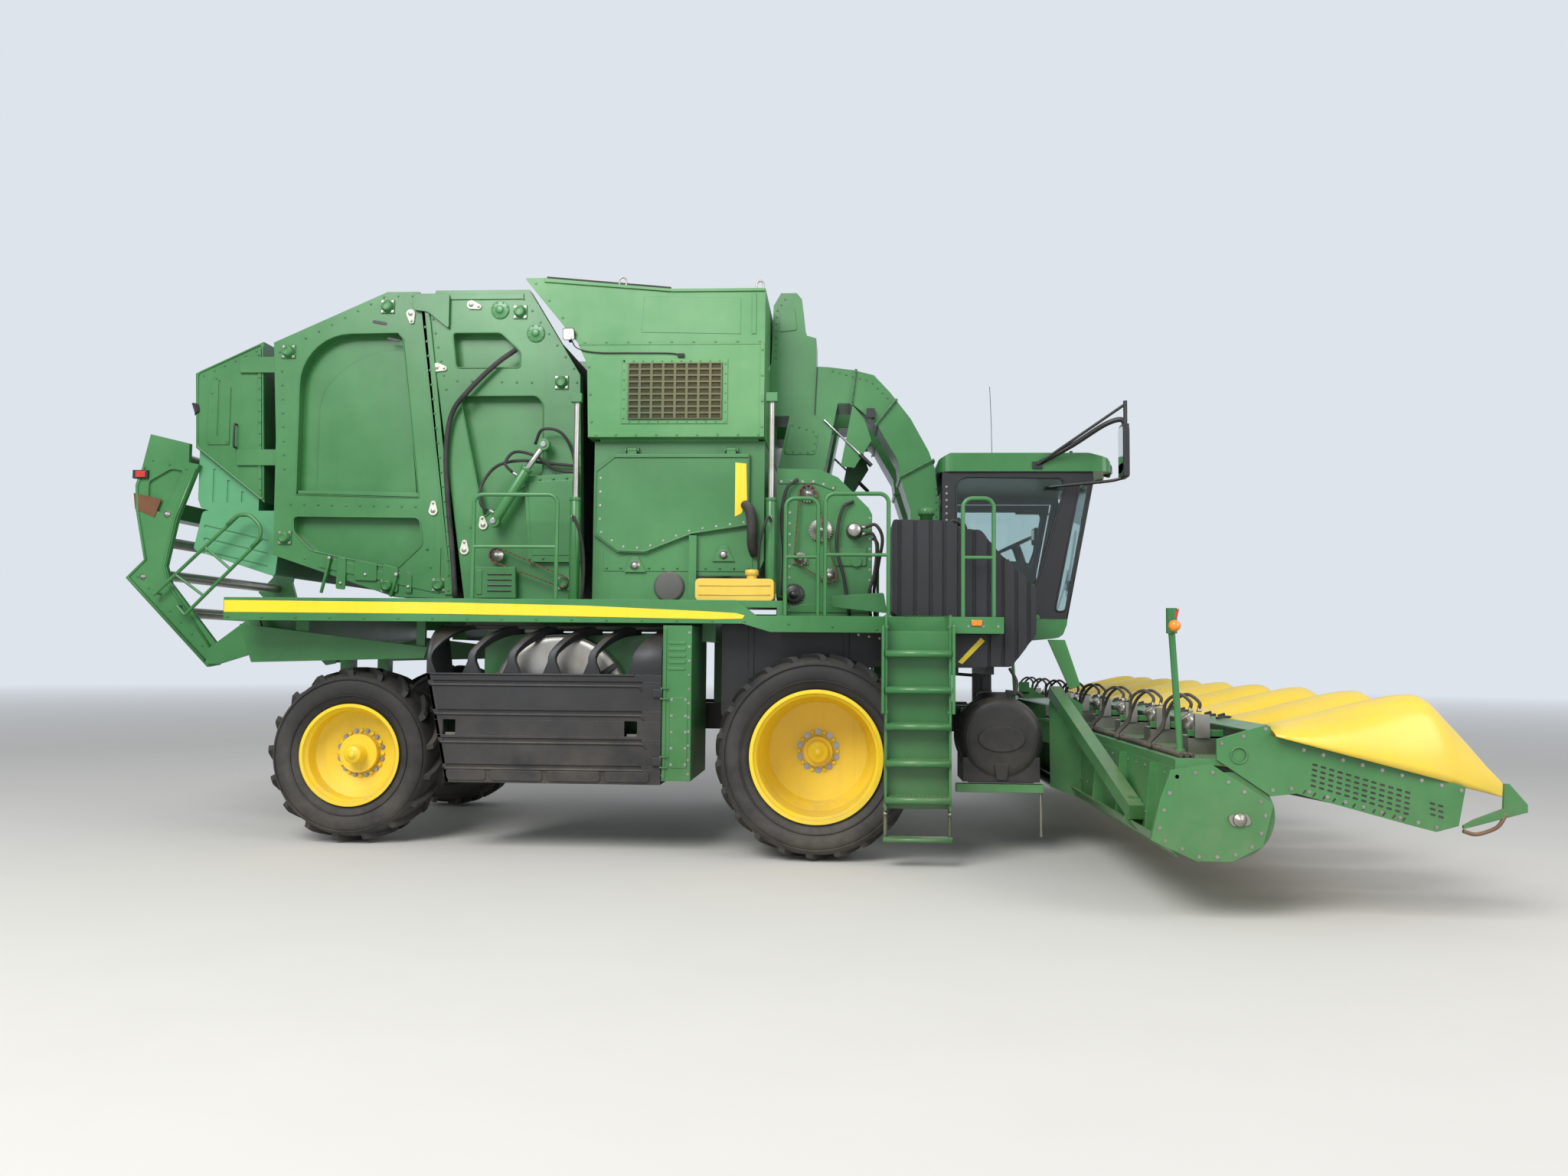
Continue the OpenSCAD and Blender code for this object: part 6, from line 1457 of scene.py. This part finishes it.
# Lower rail and nose lip, the door's handle and seal
makePiece("cabTrim", "chassis", "greenPaint", [
    (addPlate, [(1.14, 2.11), (2.01, 2.11), (2.03, 2.09), (2.02, 2.065), (1.14, 2.065)], -0.957, -0.949),
    (addPlate, [(1.22, 1.93), (1.72, 1.93), (1.72, 2.04), (1.22, 2.04)], -0.957, -0.949, 0, 0.02)],
          bevel=0.002)
makePiece("cabDoorTrim", "cab_door", "blackPlastic", [
    (addTube, roundedPath([(2.10, 0.945, 2.62), (2.10, 0.995, 2.62), (2.14, 0.995, 2.76),
                           (2.14, 0.945, 2.76)], 0.02),
     0.010, 8),
    (addBlock, (2.055, 0.944, 2.55), (2.10, 0.956, 2.66)),
    (addRim, roundCorners([(1.28, 2.19), (2.13, 2.19), (2.36, 3.30), (1.28, 3.30)], 0.1), 0.946, 0.009, 8)])
boltPiece("cabBolts", "chassis", sideRows([
    (-0.957, [(1.25, 1.96), (1.25, 2.02)]), (-0.957, [(1.69, 1.96), (1.69, 2.02)]),
    (-0.95, [(1.17, 2.3), (1.17, 3.3)])], -1), 0.06, 0.007)
print("cab dressed")

# Screen door: skin drawn in at its rear edge, grooves between the bands, latch pockets and leaning blades
door = {"rear": -3.37, "front": -1.325, "face": -1.95, "inner": -1.512, "low": 0.605, "openLow": 1.535,
        "skin": 0.03, "arcY": -1.53, "arcZ": 1.64, "arcWide": 0.42, "arcHigh": 0.32,
        "bands": (0.733, 0.957, 1.197, 1.447), "bandHigh": 0.028, "bandDeep": 0.016, "bandEnd": -1.49,
        "taper": 0.19, "openRear": -3.33, "openFront": -1.58, "blades": 4, "bladeDeep": 0.075, "knee": 0.22,
        "lean": 0.29, "bladeHalf": 0.031, "flare": 0.045, "lastDegrees": 80, "arcSteps": 10,
        "hinges": (0.80, 1.38), "pocketLow": 1.01, "pocketHigh": 1.14,
        "pockets": ((-3.215, -3.105), (-1.64, -1.53))}
face, skin, front, inner = door["face"], door["skin"], door["front"], door["inner"]
openLow, arcTop = door["openLow"], door["arcZ"] + door["arcHigh"]


def arcPoint(inset, degrees):
    away = compass(degrees)
    return (door["arcY"] - (door["arcWide"] - inset) * away.x,
            door["arcZ"] + (door["arcHigh"] - inset) * away.z)


def rearEdge(z):
    return door["rear"] + door["taper"] * max(0.0, (openLow - z) / (openLow - door["low"]))


def doorSlice(low, high, y=face, start=None, end=front):
    lowRear, highRear = (start, start) if start else (rearEdge(low), rearEdge(high))
    return (addPlate, [(lowRear, low), (end, low), (end, high), (highRear, high)], y, face + skin)


def addEndWall(shape, outline):
    bridgeAll(shape, [[shape.verts.new(at(rearEdge(z) + dx, y, z)) for y, z in outline] for dx in (0, skin)])


def leaningEdge(foot, leaning=0, side=0):
    # where an edge of a blade runs, for a share of its height
    def edge(share):
        lean = door["lean"] * max(0.0, (share - door["knee"]) / (1 - door["knee"])) ** 1.15
        flares = max(0.0, 1 - share * 9) ** 2 + max(0.0, 1 - (1 - share) * 9) ** 2
        return foot + leaning * lean + side * (door["bladeHalf"] + door["flare"] * flares)
    return edge


def addStrip(shape, stations, rearSide, frontSide, slot=0):
    rings = []
    for k, (outer, deep) in enumerate(stations):
        low, high = (side(k / (len(stations) - 1)) for side in (rearSide, frontSide))
        rings.append([shape.verts.new(at(x, y, z)) for x, (y, z) in
                      ((low, outer), (high, outer), (high, deep), (low, deep))])
    bridgeAll(shape, rings, slot, True, (slot, slot))


shellParts = []
low = door["low"]
for band in door["bands"] + (openLow,):
    if low < door["pocketLow"] < band:
        shellParts += [doorSlice(low, door["pocketLow"]), doorSlice(door["pocketHigh"], band)]
        edges = [None] + [x for pocket in door["pockets"] for x in pocket] + [front]
        shellParts += [doorSlice(door["pocketLow"], door["pocketHigh"], face, start, end)
                       for start, end in zip(edges[::2], edges[1::2])]
    else:
        shellParts.append(doorSlice(low, band))
    low = band + door["bandHigh"]
    if band < openLow:
        shellParts += [doorSlice(band, low, face + door["bandDeep"], None, door["bandEnd"]),
                       doorSlice(band, low, face, door["bandEnd"])]
shellParts += [(addBlock, (start + 0.02, face + 0.012, door["pocketLow"]),
                (end, face + 0.026, door["pocketLow"] + 0.02), 1) for start, end in door["pockets"]]
stations, deepStations = (
    [((face, openLow), (face + deep, openLow))] + [
        (arcPoint(0.0, door["lastDegrees"] * k / door["arcSteps"]),
         arcPoint(deep, door["lastDegrees"] * k / door["arcSteps"])) for k in range(door["arcSteps"] + 1)]
    for deep in (skin, door["bladeDeep"]))
topStations = [(arcPoint(0.0, a), arcPoint(skin, a)) for a in (door["lastDegrees"], 84, 90)]
rearLine, frontLine = leaningEdge(door["rear"] + skin), leaningEdge(front)
shellParts += [
    (addBlock, (rearEdge(door["low"]), face + skin, door["low"]), (front, inner, door["low"] + skin)),
    (addEndWall, [(inner, openLow), (inner, door["low"]), (face, door["low"]), (face, openLow)]
     + [arcPoint(0.0, a) for a in range(0, 91, 10)] + [(inner, arcTop)]),
    (addStrip, topStations + [((inner, arcTop), (inner, arcTop - skin))], rearLine, frontLine, 1),
    (addStrip, stations, rearLine, leaningEdge(door["openRear"] - door["bladeHalf"], 1, 1)),
    (addStrip, stations, leaningEdge(door["openFront"] + door["bladeHalf"], 1, -1), frontLine)]
for k in range(1, door["blades"] + 1):
    foot = door["openRear"] + k * (door["openFront"] - door["openRear"]) / (door["blades"] + 1)
    shellParts.append((addStrip, deepStations, leaningEdge(foot, 1, -1), leaningEdge(foot, 1, 1)))
for z in door["hinges"]:
    shellParts += [(addRod, (front, -1.964, z - 0.032), (front, -1.964, z + 0.032), 0.014, 20),
                   (addBlock, (-1.395, -1.976, z - 0.032), (front, -1.949, z + 0.032))]
makePiece("screenDoorShell", "screen_door", "blackPlastic castGrey", shellParts, bevel=0.005,
          replaced=["screen_door"])

# Lips of the bands, rails round the openings and four low covers
ribParts = []
for k, z in enumerate(door["bands"]):
    rear, end = rearEdge(z), door["bandEnd"] + 0.02 * (3 - k)
    ribParts.append((addTube, roundedPath([
        (rear + 0.01, -1.938, z - 0.012), (rear + 0.035, -1.955, z - 0.010), (end - 0.03, -1.955, z - 0.010),
        (end, -1.945, z - 0.05)], 0.02), 0.010, 8))
makePiece("screenDoorRibs", "screen_door", "blackPlastic castGrey", ribParts + [
    (addPipe, [(-3.34, -1.62, 1.945), (-1.35, -1.62, 1.945)], 0.018, 10, 1),
    (addPipe, [(-3.34, -1.953, 1.530), (-1.56, -1.953, 1.530)], 0.010)] + [
    (addPlate, [(start, 0.625), (end, 0.625), (end, 0.712), (start - 0.02, 0.712)], -1.962, -1.949, 0, 0.03)
    for start, end in ((-3.16, -2.83), (-2.78, -2.34), (-2.29, -1.84), (-1.79, -1.42))], bevel=0.003)

# Rotary screen: rim, hub, spokes and rings, and the arms over them
screen = {"x": -2.27, "z": 1.262, "discY": -1.70, "armsY": -1.75, "spokes": 24, "spokeEnds": (0.09, 0.56),
          "rings": (0.18, 0.27, 0.36, 0.45, 0.53), "arms": (35, 155, 275), "armLength": 0.62}
centre = at(screen["x"], screen["discY"], screen["z"])
makePiece("screenDisc", "rotary_screen", "bareSteel", [
    (addLathe, [(0.55, -0.012), (0.60, -0.012), (0.617, 0.004), (0.617, 0.03), (0.60, 0.036), (0.585, 0.012)],
     centre, leftward, 72),
    (addLathe, [(0.0, -0.03), (0.06, -0.028), (0.075, -0.01), (0.075, 0.01)], centre, leftward, 32)] + [
    (addBeam, *(centre + compass(360 * k / screen["spokes"]) * reach for reach in screen["spokeEnds"]),
     0.006, 0.012, 0, leftward) for k in range(screen["spokes"])] + [
    (addLathe, [(r - 0.004, -0.008), (r, -0.011), (r + 0.004, -0.008), (r, 0.002)], centre, leftward, 72, 0,
     True)
    for r in screen["rings"]])
centre = at(screen["x"], screen["armsY"], screen["z"])
makePiece("screenArms", "rotary_screen", "blackPaint", [
    (addBeam, centre, centre + compass(degrees) * screen["armLength"], 0.05, 0.016, 0, leftward)
    for degrees in screen["arms"]] + [
    (addLathe, [(0.0, 0.03), (0.05, 0.028), (0.06, 0.0), (0.06, -0.02)], centre, rightward)], bevel=0.003)

# Front end of the cooling box: louvres, edge strip and cover
face = -1.951
makePiece("coolingBoxTrim", "chassis", "greenPaint", [
    (addPlate, [(-1.27, z), (-1.12, z), (-1.12, z + 0.025), (-1.27, z + 0.025)], face - 0.006, face + 0.001,
     0, 0.01)
    for z in (1.80, 1.745, 1.69, 1.635, 1.58)] + [
    (addPlate, [(-1.31, 0.66), (-1.285, 0.66), (-1.285, 1.94), (-1.31, 1.94)], face - 0.008, face + 0.001),
    (addPlate, [(-1.25, 0.75), (-1.10, 0.75), (-1.10, 1.35), (-1.25, 1.35)], face - 0.005, face + 0.001, 0,
     0.02)],
          bevel=0.002)
boltPiece("coolingBoxBolts", "chassis", sideRows([
    (-1.951, [(-1.09, 0.70), (-1.09, 1.90)]), (-1.956, [(-1.235, 0.78), (-1.235, 1.33)]),
    (-1.956, [(-1.115, 0.78), (-1.115, 1.33)])], -1), 0.12, 0.008)

# Tread plates: raised ringed holes on the ladder steps and the platform, step noses and links
ladder = {"base": 0.25, "rise": 0.295, "x": 0.60, "y": 2.205, "plate": 0.0345, "columnPitch": 0.0355,
          "rowPitch": 0.034, "offset": 0.0175, "rows": 4, "columns": 14, "nose": 0.009,
          "noseEnds": (0.563, 1.097)}
platform = {"x": 0.75, "y": 1.50, "z": 2.0505, "columnPitch": 0.036, "rowPitch": 0.034, "rows": 14,
            "columns": 10}
steps = [ladder["base"] + ladder["rise"] * step for step in range(1, 6)]
gripPlaces = []
for side in (1, -1):
    gripPlaces += [(ladder["x"] + ladder["columnPitch"] * column + ladder["offset"] * (row % 2),
                    side * (ladder["y"] + ladder["rowPitch"] * row), step + ladder["plate"])
                   for step in steps for row in range(ladder["rows"]) for column in range(ladder["columns"])]
    gripPlaces += [(platform["x"] + platform["columnPitch"] * column,
                    side * (platform["y"] + platform["rowPitch"] * row), platform["z"])
                   for row in range(platform["rows"]) for column in range(platform["columns"])]
repeatPiece("treadGrip", "chassis", "greenPaint", (
    addLathe, [(0.0165, 0.0), (0.012, 0.005), (0.0085, 0.005), (0.0075, 0.001), (0.0, 0.001)], origin, upward,
    8),
            gripPlaces)
makePiece("treadNoses", "chassis", "greenPaint", [
    (addPipe, [(x, -2.338, step + ladder["nose"]) for x in ladder["noseEnds"]], 0.029,
     14) for step in steps] + [
    (addPipe, [(0.553, -2.322, 0.235), (1.107, -2.322, 0.235)], 0.016, 10)], mirrored=True)
linkParts = []
for x in (0.57, 1.09):
    linkParts.append((addHose, [(x, -2.25, 0.53), (x, -2.252, 0.42), (x, -2.256, 0.33), (x, -2.25, 0.26)],
                      0.015, 8, 0, 4))
    linkParts += [(addLathe, [(0.0, 0.02), (0.012, 0.02), (0.012, 0.006), (0.02, 0.004), (0.02, 0.0)],
                   (x, -2.268, z), rightward, 8, 1) for z in (0.50, 0.44)]
makePiece("stepLinks", "chassis", "rubber bareSteel", linkParts, mirrored=True)

# Tanks: filler cap with its grip, the drum's seam, strap, lid and foot, cover with the plain yellow bar
fillerCentre = at(0.94, -1.60, 2.90)
fillerParts = [(addLathe, [(0.055, 0.0), (0.055, 0.05), (0.07, 0.052), (0.072, 0.10), (0.06, 0.112),
                           (0.0, 0.116)],
                fillerCentre, upward, 32)]
for x, y, z in circle(0.071, 16, 0.06):
    foot = fillerCentre + Vector((x, y, z))
    fillerParts.append((addBeam, foot, foot + Vector((0, 0, 0.04)), 0.008, 0.008, 0, (x, y, 0)))
makePiece("tankFiller", "chassis", "greenPaint", fillerParts)
lid = [(1.585 + 0.20 * compass(a).z, 1.01 + 0.11 * compass(a).x) for a in range(0, 360, 15)]
makePiece("tankTrim", "chassis", "blackPlastic", [
    (addLathe, [(0.366, -0.008), (0.372, -0.004), (0.372, 0.004), (0.366, 0.008)], (1.585, -1.375, 1.01),
     rightward, 64),
    (addPlate, [(1.54, 0.66), (1.63, 0.66), (1.65, 0.80), (1.52, 0.80)], -1.665, -1.64, 0, 0.02),
    (addPlate, lid, -1.672, -1.655)] + [
    (addHose, [(1.585 + dx, -1.45, 1.36), (1.585 + dx * 0.9, -1.45, 1.395), (1.585 + dx * 0.3, -1.45, 1.41)],
     0.02, 8, 0, 3) for dx in (-0.2, 0.2)] + [
    (addPlate, [(1.30, 0.63), (1.87, 0.63), (1.87, 0.68), (1.30, 0.68)], -1.60, -1.15, 0, 0.01),
    (addPlate, [(1.17, 1.62), (1.45, 1.62), (1.45, 1.91), (1.17, 1.91)], -1.772, -1.748, 0, 0.02)],
          bevel=0.004)
makePiece("tankReflector", "chassis", "yellowPaint", [
    (addPlate, [(1.20, 1.67), (1.235, 1.65), (1.43, 1.85), (1.395, 1.88)], -1.7735, -1.7715)])
makePiece("tankCarrier", "chassis", "fadedGreen bareSteel", [
    (addBlock, (1.20, -1.62, 0.548), (1.95, -1.53, 0.62)),
    (addPipe, [(1.93, -1.575, 0.55), (1.93, -1.575, 0.17)], 0.012, 8, 1),
    (addPlate, [(2.10, 1.88), (2.26, 1.88), (2.40, 1.46), (2.30, 1.42)], -0.93, -0.915),
    (addPlate, [(0.65, 1.56), (1.10, 1.56), (1.10, 1.46), (0.80, 1.44), (0.65, 1.48)], -1.70, -1.685)],
          bevel=0.003)
makePiece("oilTankTrim", "chassis", "amberPlastic", [
    (addLathe, [(0.045, 0.0), (0.045, 0.04), (0.058, 0.042), (0.06, 0.08), (0.05, 0.09), (0.0, 0.092)],
     (-0.58, -1.75, 2.365), upward)] + [
    (addPipe, [(-1.03, -1.862, z), (-0.41, -1.862, z)], 0.006, 6) for z in (2.23, 2.31)])
makePiece("tankHoses", "chassis", "rubber", [(addHose, run, 0.014) for run in (
    [(1.10, -1.62, 2.87), (1.18, -1.64, 2.90), (1.26, -1.62, 2.86), (1.30, -1.55, 2.80)],
    [(0.66, -1.62, 2.06), (0.60, -1.66, 1.95), (0.56, -1.66, 1.75), (0.58, -1.6, 1.6)],
    [(1.66, -1.60, 1.62), (1.72, -1.62, 1.50), (1.70, -1.60, 1.38)],
    [(0.20, -1.05, 1.90), (0.35, -1.15, 1.72), (0.60, -1.3, 1.62), (1.0, -1.45, 1.58), (1.4, -1.5, 1.55)])])

# Bolts along the deck and platform, small amber lamps, and black sheets between the front tyres and the
# chassis: painted shade for the dark under the deck
boltSides("deckBolts", "chassis", [(-1.95, [(-5.15, 2.01), (-0.9, 2.0)]),
                                   (-1.95, [(-0.62, 2.0), (0.5, 1.94)])],
          0.3, 0.008)
boltPiece("platformBolts", "chassis", sideRows([(-1.95, [(1.15, 1.97), (1.52, 1.97)])], -1), 0.12, 0.008)
makePiece("deckLamps", "chassis", "amberLens", [
    (addPlate, [(1.295, 1.975), (1.385, 1.975), (1.385, 2.025), (1.295, 2.025)], -1.966, -1.949, 0, 0.015)],
          0.003, True)
# Painted shade: black sheets put where there is only the shadow under the deck, over the front tyres
makePiece("wheelGuards", "chassis", "blackPaint", [
    (addPlate, [(-0.86, 2.03), (1.02, 2.03), (1.02, 1.66), (0.35, 1.60), (-0.38, 1.42), (-0.66, 1.16),
                (-0.86, 1.16)],
     -1.534, -1.524, 0, 0.05)] + [
    (addPlate, [(x, 1.50), (x + 0.05, 1.50), (x + 0.05, 2.0), (x, 2.0)], -1.545, -1.532)
    for x in (-0.62, 0.22)],
          bevel=0.003, mirrored=True)
boltSides("guardBolts", "chassis", [(-1.534, [(-0.30, 1.93), (0.16, 1.93), (0.60, 1.86), (0.96, 1.68)])],
          0.09, 0.007, "bareSteel")
print("lower body dressed")

# Floor and light
studio = {"floor": (206, 203, 197), "sky": (222, 228, 236), "skyStrength": 0.62, "floorSize": 160.0,
          "fadeStart": 14.0, "fadeEnd": 60.0, "aim": (0.5, 0.0, 2.0)}
lamps = {"key": {"place": (-5.0, -15.0, 13.0), "size": 9.0, "power": 3000.0},
         "fill": {"place": (12.0, -10.0, 7.0), "size": 8.0, "power": 700.0}}


def makeFloor(values):
    shape = bmesh.new()
    bmesh.ops.create_circle(shape, cap_ends=True, segments=64, radius=values["floorSize"])
    mesh = bpy.data.meshes.new("floor")
    shape.to_mesh(mesh)
    shape.free()
    floor = link(mesh, "floor")
    tree, shader = startMaterial("floorPlain")
    plain = srgb(*values["floor"])
    paler = tuple(min(1.0, part * 1.06) for part in plain[:3]) + (1.0,)
    fill(tree, shader, {"Base Color": mixColour(tree, noise(tree, placeOf(tree), 1.2, 6.0), plain, paler),
                        "Roughness": 0.9})
    away = put(tree, "ShaderNodeVectorMath", {0: placeOf(tree)}, operation="LENGTH").outputs["Value"]
    glow = put(tree, "ShaderNodeEmission", {"Color": srgb(*values["sky"]), "Strength": 1.0})
    blend = put(tree, "ShaderNodeMixShader", {0: spread(tree, away, values["fadeStart"], values["fadeEnd"]),
                                              1: shader.outputs[0], 2: glow.outputs[0]})
    fill(tree, tree.nodes["Material Output"], {"Surface": blend.outputs[0]})
    mesh.materials.append(materials["floorPlain"])


def makeLamp(name, values):
    lamp = link(bpy.data.lights.new(name, "AREA"), name)
    lamp.data.size, lamp.data.energy = values["size"], values["power"]
    lamp.location = values["place"]
    lamp.rotation_euler = (Vector(values["place"]) - Vector(studio["aim"])).to_track_quat("Z", "Y").to_euler()


def makeWorld(values):
    world = bpy.data.worlds.new("studio")
    world.use_nodes = True
    tree = world.node_tree
    tree.nodes.clear()
    path = put(tree, "ShaderNodeLightPath").outputs
    seen = path["Is Camera Ray"]
    for kind in ("Is Glossy Ray", "Is Transmission Ray"):
        seen = calculate(tree, "MAXIMUM", seen, path[kind])
    light, pale = (put(tree, "ShaderNodeBackground", {"Color": srgb(*values["sky"]),
                                                      "Strength": strength}).outputs[0]
                   for strength in (values["skyStrength"], 1.0))
    put(tree, "ShaderNodeOutputWorld", {
        "Surface": put(tree, "ShaderNodeMixShader", {0: seen, 1: light, 2: pale}).outputs[0]})
    bpy.context.scene.world = world


makeCamera(cameraSet)
makeFloor(studio)
makeWorld(studio)
for name, values in lamps.items():
    makeLamp(name, values)
bpy.context.scene.view_settings.view_transform = "Standard"
print("camera, floor and lights made")
